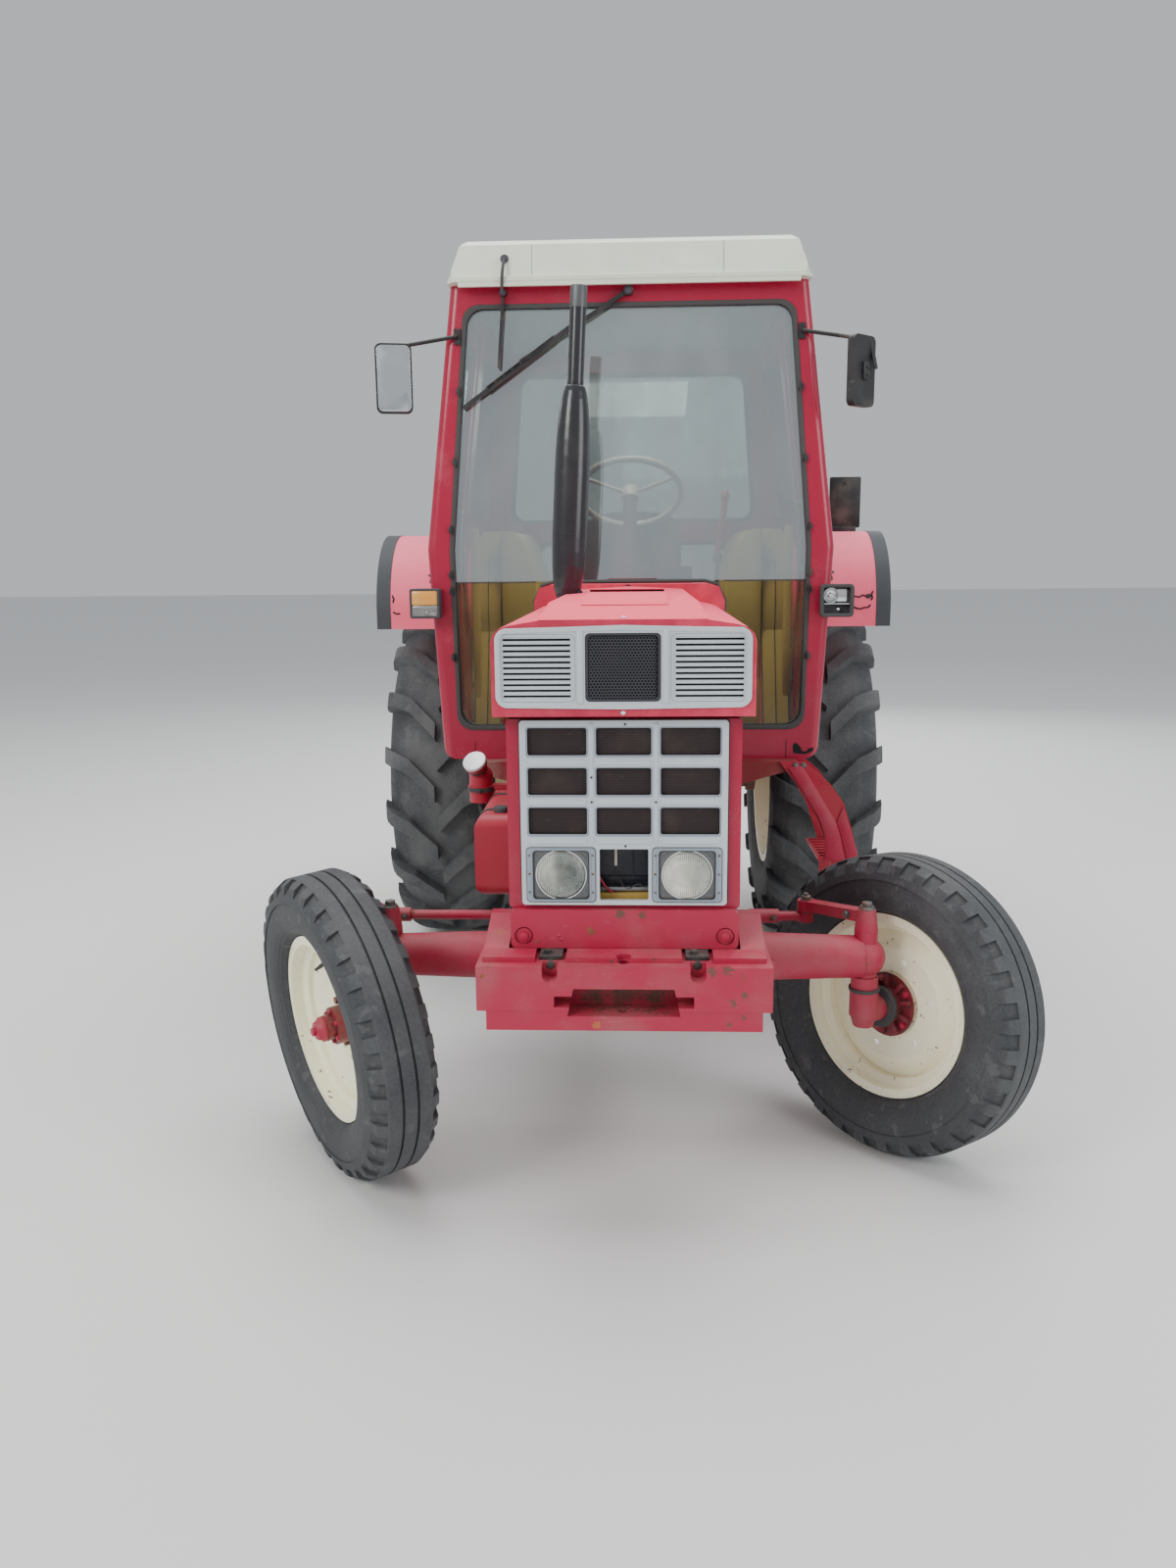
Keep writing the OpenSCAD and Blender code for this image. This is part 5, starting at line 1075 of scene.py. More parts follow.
@dataclass(frozen=True)
class FrontWheel:
    """Finish and fittings of a front wheel and of what carries it.

    Attributes:
        side: 1 on the left, -1 on the right.
        rim: radius of the rim's flange.
        tread: radius where the tread starts.
        flange: radius of the ribbed hub flange.
    """

    side: int
    rim: float = 0.280
    tread: float = 0.440
    flange: float = 0.098

    @property
    def hand(self) -> str:
        """Returns left or right."""
        return hand_of(self.side)

    def dress(self) -> None:
        """Gives the tyre and the wheel their finishes."""
        turn = joint(f"front_wheel_{self.hand}_turn")
        centre, axis = tuple(turn["pos_m"]), tuple(turn["axis"])
        dress(
            WheelPaint(f"front_wheel_paint_{self.hand}", centre, axis, self.flange + 0.001, 0.088, self.rim),
            f"front_wheel_{self.hand}",
        )
        dress(
            TyreRubber(f"front_rubber_{self.hand}", centre, axis, self.tread, self.rim, 0.42),
            f"front_tyre_{self.hand}",
        )

    def hub(self, place: Matrix) -> None:
        """Builds the hub's bolts, nut, cap and the valve."""
        body = f"front_wheel_{self.hand}_body"
        bolts = Form()
        for point in around(5, 0.080, -0.0445, 0.3):
            bolts.bolt(point, (-1, 0, 0), 0.0095, place)
        bolts.done(f"hub_bolts_{self.hand}", CAST_RED, Slot.RED, body)
        cap = Form()
        cap.turned(
            [
                (0.0, 0.064), (0.036, 0.064), (0.0375, 0.068), (0.0375, 0.074), (0.031, 0.079),
                (0.026, 0.091), (0.0, 0.095),
            ],
            place @ ALONG_X, 32,
        )
        cap.rod((0.092, 0, 0), (0.103, 0, 0), 0.014, sides=6, bevel=0.0015, place=place)
        for point in around(6, 0.047, 0.0381):
            cap.bolt(point, (1, 0, 0), 0.0075, place)
        cap.done(f"hub_cap_{self.hand}", CAST_RED, Slot.RED, body)
        valve = Form()
        valve.rod((0.012, 0.0, 0.208), (0.052, 0.0, 0.190), 0.0062, sides=16, place=place)
        valve.rod(
            (0.050, 0.0, 0.191), (0.066, 0.0, 0.184), 0.0052, 0.0044, sides=12, bevel=0.0008, place=place
        )
        valve.done(f"front_valve_{self.hand}", BLACK_RUBBER, Slot.RUBBER, body)

    def knuckle(self, place: Matrix) -> None:
        """Builds the grease seal, the arm's clamp and the ball joint's boot."""
        body = f"knuckle_{self.hand}_body"
        Form().turned(
            [(0.041, -0.098), (0.060, -0.094), (0.064, -0.086), (0.060, -0.0725), (0.041, -0.0725)],
            place @ ALONG_X, 40,
        ).done(f"hub_seal_{self.hand}", BLACK_RUBBER, Slot.RUBBER, body)
        arm = joint("steering" if self.side > 0 else "steering_right")["pos_m"]
        ball = Vector(joint("tie_rod_end")["pos_m"])
        pivot = Vector((arm[0], arm[1], 0.0))
        reach = Vector((ball.x - joint("steering")["pos_m"][0], ball.y - arm[1], 0.0))
        across = reach.normalized().cross(Vector((0, 0, 1)))
        tip = pivot + reach
        clamp = Form()
        top = Vector((0, 0, 0.7583))
        head = pivot + Vector((0, 0, 0.7863))
        clamp.rod(head, head + Vector((0, 0, 0.006)), 0.024, 0.022, 32, 0.0015)
        clamp.bolt(head + Vector((0, 0, 0.006)), (0, 0, 1), 0.016)
        middle = pivot + reach.normalized() * 0.058 + Vector((0, 0, 0.7600))
        for way in (1, -1):
            clamp.bolt(middle + across * 0.021 * way, across * way, 0.0105)
        clamp.bolt(tip + top, (0, 0, 1), 0.0150)
        clamp.rod(tip + top + Vector((0, 0, 0.012)), tip + top + Vector((0, 0, 0.022)), 0.007, sides=12)
        clamp.done(f"steering_arm_bolts_{self.hand}", IRON, Slot.IRON, body)
        boot = Form()
        boot.turned(
            [(0.0118, 0.7005), (0.0250, 0.7220), (0.0262, 0.7232), (0.0252, 0.7240), (0.0118, 0.7240)],
            Matrix.Translation((tip.x, tip.y, 0.0)), 32,
        )
        collar = pivot + Vector((0, 0, 0.5476))
        boot.turned(
            [(0.0422, -0.012), (0.0455, -0.010), (0.0462, -0.002), (0.0450, 0.0), (0.0422, 0.0)],
            Matrix.Translation(collar), 40,
        )
        boot.done(f"knuckle_rubbers_{self.hand}", BLACK_RUBBER, Slot.RUBBER, body)

    def build(self) -> None:
        """Dresses the wheel and adds its fittings."""
        self.dress()
        place = wheel_place(f"front_wheel_{self.hand}_turn")
        self.hub(place)
        self.knuckle(place)


@dataclass(frozen=True)
class RearWheel:
    """Finish and fittings of a rear wheel.

    Attributes:
        side: 1 on the left, -1 on the right.
        rim: radius of the rim's flange.
        tread: radius at the foot of the lugs.
    """

    side: int
    rim: float = 0.455
    tread: float = 0.742

    def build(self) -> None:
        """Dresses the wheel and adds its nuts, cap and valve."""
        hand = hand_of(self.side)
        turn = joint(f"rear_wheel_{hand}_turn")
        out = (float(self.side), 0.0, 0.0)
        centre = tuple(turn["pos_m"])
        dress(
            WheelPaint(f"rear_wheel_paint_{hand}", centre, out, 0.118, 0.118, self.rim), f"rear_wheel_{hand}"
        )
        dress(TyreRubber(f"rear_rubber_{hand}", centre, out, self.tread, self.rim, 0.8), f"rear_tyre_{hand}")
        place = Matrix.Translation(centre) @ Matrix.Rotation(0.0 if self.side > 0 else math.pi, 4, "Z")
        body = f"rear_wheel_{hand}_body"
        nuts = Form()
        for point in around(8, 0.090, -0.0060, 0.2):
            nuts.bolt(point, (1, 0, 0), 0.0165, place)
            nuts.rod(point, point + Vector((0.022, 0, 0)), 0.009, sides=12, place=place)
        for point in around(8, 0.345, 0.0580):
            nuts.bolt(point, (1, 0, 0), 0.0145, place)
        nuts.done(f"rear_wheel_nuts_{hand}", IRON, Slot.IRON, body)
        Form().turned(
            [(0.0, 0.056), (0.050, 0.056), (0.052, 0.060), (0.050, 0.066), (0.030, 0.072), (0.0, 0.074)],
            place @ ALONG_X, 32,
        ).done(f"rear_hub_cap_{hand}", CAST_RED, Slot.RED, body)
        valve = Form()
        valve.rod((0.072, 0.0, 0.385), (0.105, 0.0, 0.365), 0.007, sides=16, place=place)
        valve.rod((0.103, 0.0, 0.366), (0.122, 0.0, 0.355), 0.006, 0.005, sides=12, bevel=0.0008, place=place)
        valve.done(f"rear_valve_{hand}", BLACK_RUBBER, Slot.RUBBER, body)


@dataclass(frozen=True)
class FrontSupport:
    """Fittings of the axle, the bolster and the weight block.

    Attributes:
        plug_x: bolster plugs from the centre plane.
        plug_z: height of the plugs.
        front: front face of the bolster from the front axle line.
        notch_x: weight notches from the centre plane.
    """

    plug_x: float = 0.262
    plug_z: float = 0.837
    front: float = -0.420
    notch_x: float = 0.188

    def build(self) -> None:
        """Dresses the castings and adds plugs, brackets and bolts."""
        dress(
            CAST_RED, "front_axle", "front_weight", "knuckle_left", "knuckle_right", "tie_rod",
            "front_bolster",
        )
        plugs = Form()
        for x, z in ((-0.171, 0.837), (-0.165, 0.827)):
            plugs.ball(ahead(x, self.front, z), 0.0045, (1.0, 0.6, 1.0), 16)
        brackets = Form()
        for side in (1, -1):
            face = Vector(ahead(side * self.plug_x, self.front + 0.001, self.plug_z))
            plugs.bolt(face, (0, -1, 0), 0.0115)
            notch = ahead(side * self.notch_x, self.front - 0.003, 0.7955)
            x, y, z = notch
            brackets.box((x - 0.030, y - 0.052, 0.7903), (x + 0.030, y + 0.010, 0.8015), 0.002)
            brackets.bolt((x - 0.009, y - 0.030, 0.8015), (0, 0, 1), 0.011)
            brackets.bolt((x, y - 0.0515, 0.7800), (0, -1, 0), 0.0125)
            brackets.rod((x, y - 0.050, 0.7800), (x, y - 0.020, 0.7800), 0.008, sides=12)
        plugs.done("bolster_plugs", CAST_RED, Slot.RED)
        brackets.done("weight_brackets", BLACK_PAINT, Slot.DARK)
        clamps = Form()
        for side in (1, -1):
            tip = Vector(joint("tie_rod_end")["pos_m"])
            shift = 0.0 if side > 0 else -2 * joint("steering")["pos_m"][0]
            x = tip.x + shift - side * 0.130
            for offset in (-0.028, 0.028):
                low = Vector((x + offset, tip.y, 0.7060))
                clamps.rod(low + Vector((0, -0.036, 0.0)), low + Vector((0, 0.036, 0.0)), 0.0048, sides=10)
                clamps.bolt(low + Vector((0, -0.0218, 0)), (0, -1, 0), 0.0085)
        clamps.done("tie_rod_clamps", IRON, Slot.IRON, "tie_rod_body")
        axle = Form()
        for side in (1, -1):
            for x in (0.150, 0.330, 0.420):
                reach = 0.080 - 0.018 * (x - 0.07) / 0.6
                axle.bolt(ahead(side * x, -reach + 0.002, 0.640), (0, -1, 0), 0.013)
        axle.done("axle_bolts", CAST_RED, Slot.RED)


@dataclass(frozen=True)
class Grille:
    """Grid, lamps, battery and nose of the tractor's front.

    Attributes:
        face: front of the shell from the front axle line.
        lamp_x: lamps from the centre plane.
        lamp_z: height of the lamps.
        lamp_half: half width and half height of a lamp's frame.
        lamp_open: half width and half height of the frame's opening.
        lens: radius of a lens.
        nose: front of the bonnet from the front axle line.
        pitch: spacing of the screen's wires.
    """

    face: float = -0.400
    lamp_x: float = 0.1625
    lamp_z: float = 1.000
    lamp_half: tuple[float, float] = (0.0885, 0.0718)
    lamp_open: tuple[float, float] = (0.0735, 0.0655)
    lens: float = 0.0650
    nose: float = -0.452
    pitch: float = 0.0065

    def screen(self) -> None:
        """Builds the wires of the screen behind the grid's openings."""
        wires = Form()
        half, low, high = 0.246, 1.085, 1.388
        y = AXLE_Y + self.face - 0.0012
        for index in range(int((half * 2) / self.pitch) + 1):
            x = -half + index * self.pitch
            wires.box((x - 0.0007, y - 0.0009, low), (x + 0.0007, y + 0.0009, high))
        for index in range(int((high - low) / self.pitch) + 1):
            z = low + index * self.pitch
            wires.box((-half, y - 0.0020, z - 0.0007), (half, y - 0.0004, z + 0.0007))
        wires.done("screen_wires", MESH_BROWN, Slot.DARK)

    def ridges(self) -> None:
        """Builds the ridges and bevels of the grid's bars, the bevels darker as painted shade, a black ring
        that paints the shadow in the gap round the grid, and its screws.
        """
        bars = Form()
        face = AXLE_Y + self.face - 0.0142
        tops = [1.386 - 0.103 * row for row in range(3)]
        for side in (-1, 1):
            bars.box(
                (side * 0.082 - 0.0048, face - 0.0026, 1.082), (side * 0.082 + 0.0048, face + 0.002, 1.396),
                0.0022,
            )
        for top in tops[1:] + [tops[2] - 0.103]:
            middle = top + 0.012
            for low, high in ((-0.243, -0.096), (-0.068, 0.068), (0.096, 0.243)):
                bars.box((low, face - 0.0030, middle - 0.0070), (high, face + 0.002, middle + 0.0070), 0.0026)
        bars.done("grid_ridges", SILVER, Slot.SILVER)
        # Bevels round the openings take the darker grey-blue paint: painted shade on the bars' inner edges.
        edges = Form()
        for top in tops:
            for low, high in ((-0.249, -0.090), (-0.074, 0.074), (0.090, 0.249)):
                edges.frame(
                    rectangle((low, top - 0.079), (high, top), 0.008),
                    rectangle((low + 0.0042, top - 0.0735), (high - 0.0042, top - 0.0036), 0.006),
                    Plane.XZ, face + 0.0012, face + 0.0060, 0.0012,
                )
        edges.done("grid_bevels", LAMP_EDGE, Slot.SILVER)
        # Black ring in the gap round the grid: painted shadow.
        Form().frame(
            rectangle((-0.2680, 0.9190), (0.2680, 1.4035), 0.010),
            rectangle((-0.2645, 0.9225), (0.2645, 1.4000), 0.009),
            Plane.XZ, AXLE_Y + self.face - 0.0030, AXLE_Y + self.face - 0.0004,
        ).done("grid_gap", DEEP_BLACK, Slot.RUBBER)
        screws = Form()
        for x, z in (
            (-0.082, 1.192), (-0.082, 1.256), (0.082, 1.192), (0.085, 1.392), (0.004, 1.392), (0.004, 1.076)
        ):
            screws.ball(
                (x, face - (0.0026 if z < 1.39 and z > 1.08 else 0.0), z), 0.0032, (1.0, 0.5, 1.0), 12
            )
        screws.done("grid_screws", BLACK_PAINT, Slot.DARK)

    def lamp(self, side: int) -> None:
        """Builds one headlight: bezel with screws, bowl, bulb and fluted lens."""
        middle = (side * self.lamp_x, self.lamp_z)
        front = AXLE_Y + self.face - 0.0185
        hand = hand_of(side)

        def box_of(half: tuple[float, float], grow: float, radius: float) -> list[Vector]:
            """Returns a rounded rectangle about the lamp's middle."""
            wide, tall = half[0] + grow, half[1] + grow
            return rectangle(
                (middle[0] - wide, middle[1] - tall), (middle[0] + wide, middle[1] + tall), radius
            )

        bezel = Form()
        bezel.frame(
            box_of(self.lamp_half, 0.0, 0.010), box_of(self.lamp_open, 0.0, 0.010), Plane.XZ, front,
            front + 0.0042, 0.0014,
        )
        bezel.frame(
            box_of(self.lamp_open, 0.0035, 0.012), box_of(self.lamp_open, 0.0, 0.010), Plane.XZ,
            front - 0.0016, front + 0.010, 0.0008,
        )
        bezel.done(f"lamp_bezel_{hand}", LAMP_EDGE, Slot.SILVER)
        # Black rubber rings round the bezel and inside its opening; their black edges also paint the shadow
        # line round the lamp's opening.
        gasket = Form()
        gasket.frame(
            box_of(self.lamp_half, 0.0016, 0.0112), box_of(self.lamp_half, -0.004, 0.008), Plane.XZ,
            front + 0.0018, front + 0.0044,
        )
        gasket.frame(
            box_of(self.lamp_open, 0.0002, 0.010), box_of(self.lamp_open, -0.0022, 0.008), Plane.XZ,
            front + 0.0006, front + 0.012,
        )
        gasket.done(f"lamp_gasket_shadow_{hand}", BLACK_RUBBER, Slot.RUBBER)
        screws = Form()
        for x in (-1, 1):
            for z in (-0.046, 0.003, 0.052):
                screws.ball((middle[0] + x * 0.0820, front, middle[1] + z), 0.0034, (1.0, 0.5, 1.0), 12)
        screws.done(f"lamp_screws_{hand}", IRON, Slot.IRON)
        unit = Form()
        at = Matrix.Translation((middle[0], front, middle[1])) @ TO_BACK
        bowl = [(0.010, 0.062), (0.030, 0.054), (0.048, 0.038), (0.059, 0.018), (0.0642, 0.009)]
        unit.turned(bowl + [(r + 0.0015, h + 0.0015) for r, h in reversed(bowl)], at, 48)
        unit.done(f"lamp_bowl_{hand}", REFLECTOR, Slot.STEEL)
        pane = Form()
        square = box_of(self.lamp_open, -0.0020, 0.010)
        count = len(square)
        turns = [(index - 3) * math.tau / count - math.tau * 0.375 for index in range(count)]
        ring = [
            Vector((middle[0] + self.lens * math.cos(t), middle[1] + (self.lens - 0.0022) * math.sin(t)))
            for t in turns
        ]
        pane.frame(square, ring, Plane.XZ, front + 0.0060, front + 0.0095, 0.0006)
        for x in (-1, 1):
            for z in (-1, 1):
                for shift in (-0.0042, 0.0042):
                    spot = (
                        middle[0] + x * (0.0560 + shift), front + 0.0056, middle[1] + z * (0.0500 - shift)
                    )
                    pane.box(
                        (-0.0055, -0.0022, -0.0016), (0.0055, 0.002, 0.0016), 0.0006,
                        tilted(spot, x * z * 45.0, "Y"),
                    )
        pane.done(f"lamp_surround_{hand}", LAMP_PLATE, Slot.SILVER)
        Form().turned(
            [(0.0632, 0.0060), (0.0640, 0.0030), (0.0662, 0.0030), (0.0668, 0.0062)], at, 56
        ).done(f"lamp_rim_{hand}", CHROME, Slot.SILVER)
        # The lens and its flutes take the near-white lamp films, a painted reflection.
        lens = Form()
        dome = [(0.0, -0.0065), (0.020, -0.0058), (0.040, -0.0032), (0.055, 0.0005), (0.0645, 0.0052)]
        lens.turned(dome + [(r, h + 0.003) for r, h in reversed(dome)], at, 64)
        flutes = Form()
        for index in range(-12, 13):
            x = index * 0.0047
            tall_here = math.sqrt(max(0.0, 0.0575 ** 2 - x * x))
            bulge = 0.0060 * (1 - (x / 0.0645) ** 2)
            foot = -0.012 if abs(index) > 5 else -0.002
            for low, high in ((foot, tall_here), (-tall_here, foot - 0.006)):
                if high - low > 0.004:
                    flutes.rod(
                        (middle[0] + x, front - bulge * 0.6 + 0.0004, middle[1] + low),
                        (middle[0] + x, front - bulge * 0.6 + 0.0004, middle[1] + high), 0.0011, sides=8,
                    )
        flutes.done(f"lamp_flutes_{hand}", LAMP_RIB, Slot.GLASS)
        lens.done(f"lamp_lens_{hand}", LAMP_GLASS, Slot.GLASS)
        bulb = Form()
        bulb.ball((middle[0], front + 0.034, middle[1]), 0.009)
        bulb.rod(
            (middle[0], front + 0.040, middle[1]), (middle[0], front + 0.062, middle[1]), 0.008, sides=16
        )
        made = bulb.done(f"lamp_bulb_{hand}", CHROME, Slot.STEEL)
        Form().rod(
            (middle[0], front + 0.014, middle[1]), (middle[0], front + 0.080, middle[1]), 0.0672, 0.040, 40
        ).done(f"lamp_case_{hand}", BLACK_PAINT, Slot.DARK)
        if side > 0:
            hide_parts("headlights")

    def battery_bits(self) -> None:
        """Builds the battery's lid, posts, clamps and leads, and the ledge below it."""
        lid = Form()
        lid.box(ahead(-0.088, -0.3305, 1.058), ahead(0.088, -0.1355, 1.084), 0.004)
        for index in range(6):
            x = -0.065 + index * 0.026
            lid.rod(ahead(x, -0.235, 1.084), ahead(x, -0.235, 1.091), 0.010, sides=20, bevel=0.0015)
        for low, high in ((0.960, 0.975), (0.895, 0.905)):
            lid.box(ahead(-0.075, -0.3325, low), ahead(0.075, -0.3285, high), 0.0012)
        for x in (-0.070, -0.023, 0.023, 0.070):
            lid.box(ahead(x - 0.002, -0.3315, 0.905), ahead(x + 0.002, -0.3285, 1.055), 0.0006)
        lid.done("battery_lid", BATTERY_CASE, Slot.PLASTIC)
        clamps = Form()
        for x in (-0.052, 0.052):
            clamps.rod(ahead(x, -0.290, 1.084), ahead(x, -0.290, 1.1005), 0.014, 0.012, 20, 0.001)
            clamps.box(ahead(x - 0.006, -0.318, 1.086), ahead(x + 0.006, -0.290, 1.098), 0.001)
        clamps.done("battery_clamps", COPPER, Slot.STEEL)
        Form().tube([
            ahead(-0.052, -0.318, 1.092), ahead(-0.080, -0.345, 1.070), ahead(-0.080, -0.357, 1.010),
            ahead(-0.066, -0.360, 0.980), ahead(-0.043, -0.360, 0.946), ahead(-0.018, -0.360, 0.932),
            ahead(0.037, -0.361, 0.925), ahead(0.085, -0.352, 0.924),
        ], 0.0034).done("battery_lead_live", RED, Slot.RED)
        Form().tube([
            ahead(0.052, -0.318, 1.092), ahead(0.078, -0.345, 1.070), ahead(0.080, -0.350, 1.000),
            ahead(0.059, -0.352, 0.945), ahead(0.040, -0.354, 0.958), ahead(0.005, -0.354, 0.948),
            ahead(-0.014, -0.352, 0.978),
        ], 0.0022).done("battery_lead_earth", BLACK_RUBBER, Slot.RUBBER)
        Form().box(
            ahead(-0.100, -0.3560, 0.9400), ahead(0.100, -0.3340, 0.9505), 0.001
        ).done("battery_strap", ZINC, Slot.STEEL)
        Form().box(
            ahead(-0.110, -0.3660, 0.9090), ahead(0.110, -0.3380, 0.9370), 0.002
        ).done("battery_ledge", TAN_VINYL, Slot.RED)
        Form().box(
            ahead(-0.0265, -0.3360, 1.004), ahead(-0.0190, -0.3320, 1.064), 0.0005
        ).done("battery_marks", PALE_PLASTIC, Slot.PALE)

    def nose_mesh(self) -> None:
        """Builds the honeycomb of the nose's middle panel and the edges of the insert."""
        comb = Form()
        cell = 0.0044
        pitch = cell * 1.86
        y = AXLE_Y + self.nose + 0.0048
        low, high, half = 1.4575, 1.6185, 0.0880
        rows = int((high - low) / (pitch * 0.866))
        shape = bmesh.new()
        for row in range(rows):
            z = low + (row + 0.5) * pitch * 0.866
            shift = pitch / 2 if row % 2 else 0.0
            count = int(2 * half / pitch) - (1 if row % 2 else 0)
            for index in range(count):
                x = -half + pitch / 2 + shift + index * pitch
                made = bmesh.ops.create_circle(
                    shape, cap_ends=True, segments=6, radius=cell * 1.07,
                    matrix=Matrix.Translation((x, y, z)) @ TO_FRONT,
                )["verts"]
                faces = list({f for v in made for f in v.link_faces})
                bmesh.ops.inset_individual(shape, faces=faces, thickness=cell * 0.34)
                bmesh.ops.delete(shape, geom=faces, context="FACES_ONLY")
        extrude(shape, shape.faces[:], (0, 0.0035, 0))
        comb.take(shape)
        comb.frame(
            rectangle((-0.0936, 1.4534), (0.0936, 1.6226), 0.0118),
            rectangle((-0.0870, 1.4590), (0.0870, 1.6170), 0.010),
            Plane.XZ, y - 0.0005, y + 0.0036, 0.0008,
        )
        comb.done("nose_comb", COMB_BLACK, Slot.PLASTIC)
        # Black plate behind the comb and black strips behind the side louvres: painted shade behind the
        # openings.
        back = Form()
        back.plate(rectangle((-0.0932, 1.4538), (0.0932, 1.6222), 0.0115), Plane.XZ, y + 0.0034, y + 0.0050)
        for side in (-1, 1):
            low_x, high_x = sorted((side * 0.1240, side * 0.3040))
            back.box((low_x, AXLE_Y - 0.4332, 1.4560), (high_x, AXLE_Y - 0.4312, 1.6240))
        back.done("nose_backing", DEEP_BLACK, Slot.PLASTIC)
        trim = Form()
        lip = AXLE_Y + self.nose - 0.0032
        rings = [
            rounded([
                (-0.3175 + gap, 1.4385 + gap), (0.0, 1.4342 + gap), (0.3175 - gap, 1.4385 + gap),
                (0.3175 - gap, 1.6355 - gap), (0.0, 1.6425 - gap), (-0.3175 + gap, 1.6355 - gap),
            ], 0.030 - gap)
            for gap in (0.0005, 0.0125)
        ]
        trim.frame(rings[0], rings[1], Plane.XZ, lip, lip + 0.0045, 0.0015)
        for side in (-1, 1):
            trim.box(
                (side * 0.106 - 0.0070, lip - 0.0004, 1.4490), (side * 0.106 + 0.0070, lip + 0.0045, 1.6290),
                0.0018,
            )
            a, b = sorted((side * 0.1185, side * 0.3095))
            trim.frame(
                rectangle((a, 1.4535), (b, 1.6205), 0.0140),
                rectangle((a + 0.006, 1.4595), (b - 0.006, 1.6145), 0.008),
                Plane.XZ, lip + 0.0050, lip + 0.0085, 0.0010,
            )
        trim.done("nose_trim", SILVER, Slot.SILVER)
        badge = Form()
        badge.ball((0.0, AXLE_Y - 0.4515, 1.4255), 0.0050, (1.2, 0.5, 1.0), 16)
        badge.ball((0.002, AXLE_Y - 0.4400, 1.6605), 0.0045, (1.6, 1.0, 0.6), 16)
        badge.done("nose_catches", ALUMINIUM, Slot.STEEL)

    def build(self) -> None:
        """Dresses the front's nodes and adds every fitting."""
        dress(SILVER, "grille_grid", "nose_grille")
        dress(MESH_BROWN, "grille_screen")
        dress(BATTERY_CASE, "battery")
        dress(CAB_RED, "radiator_shell")
        dress(BLACK_PAINT, "radiator")
        dress(BLACK_PLASTIC, "cooling_fan")
        self.screen()
        self.ridges()
        self.lamp(1)
        self.lamp(-1)
        self.battery_bits()
        self.nose_mesh()


def half_width(z: float) -> float:
    """Returns the half width of the cab's outer face at a height."""
    if z < 1.840:
        return 0.705 + 0.040 * (z - 1.060) / 0.780
    return 0.745 - 0.113 * (z - 1.840) / 0.912


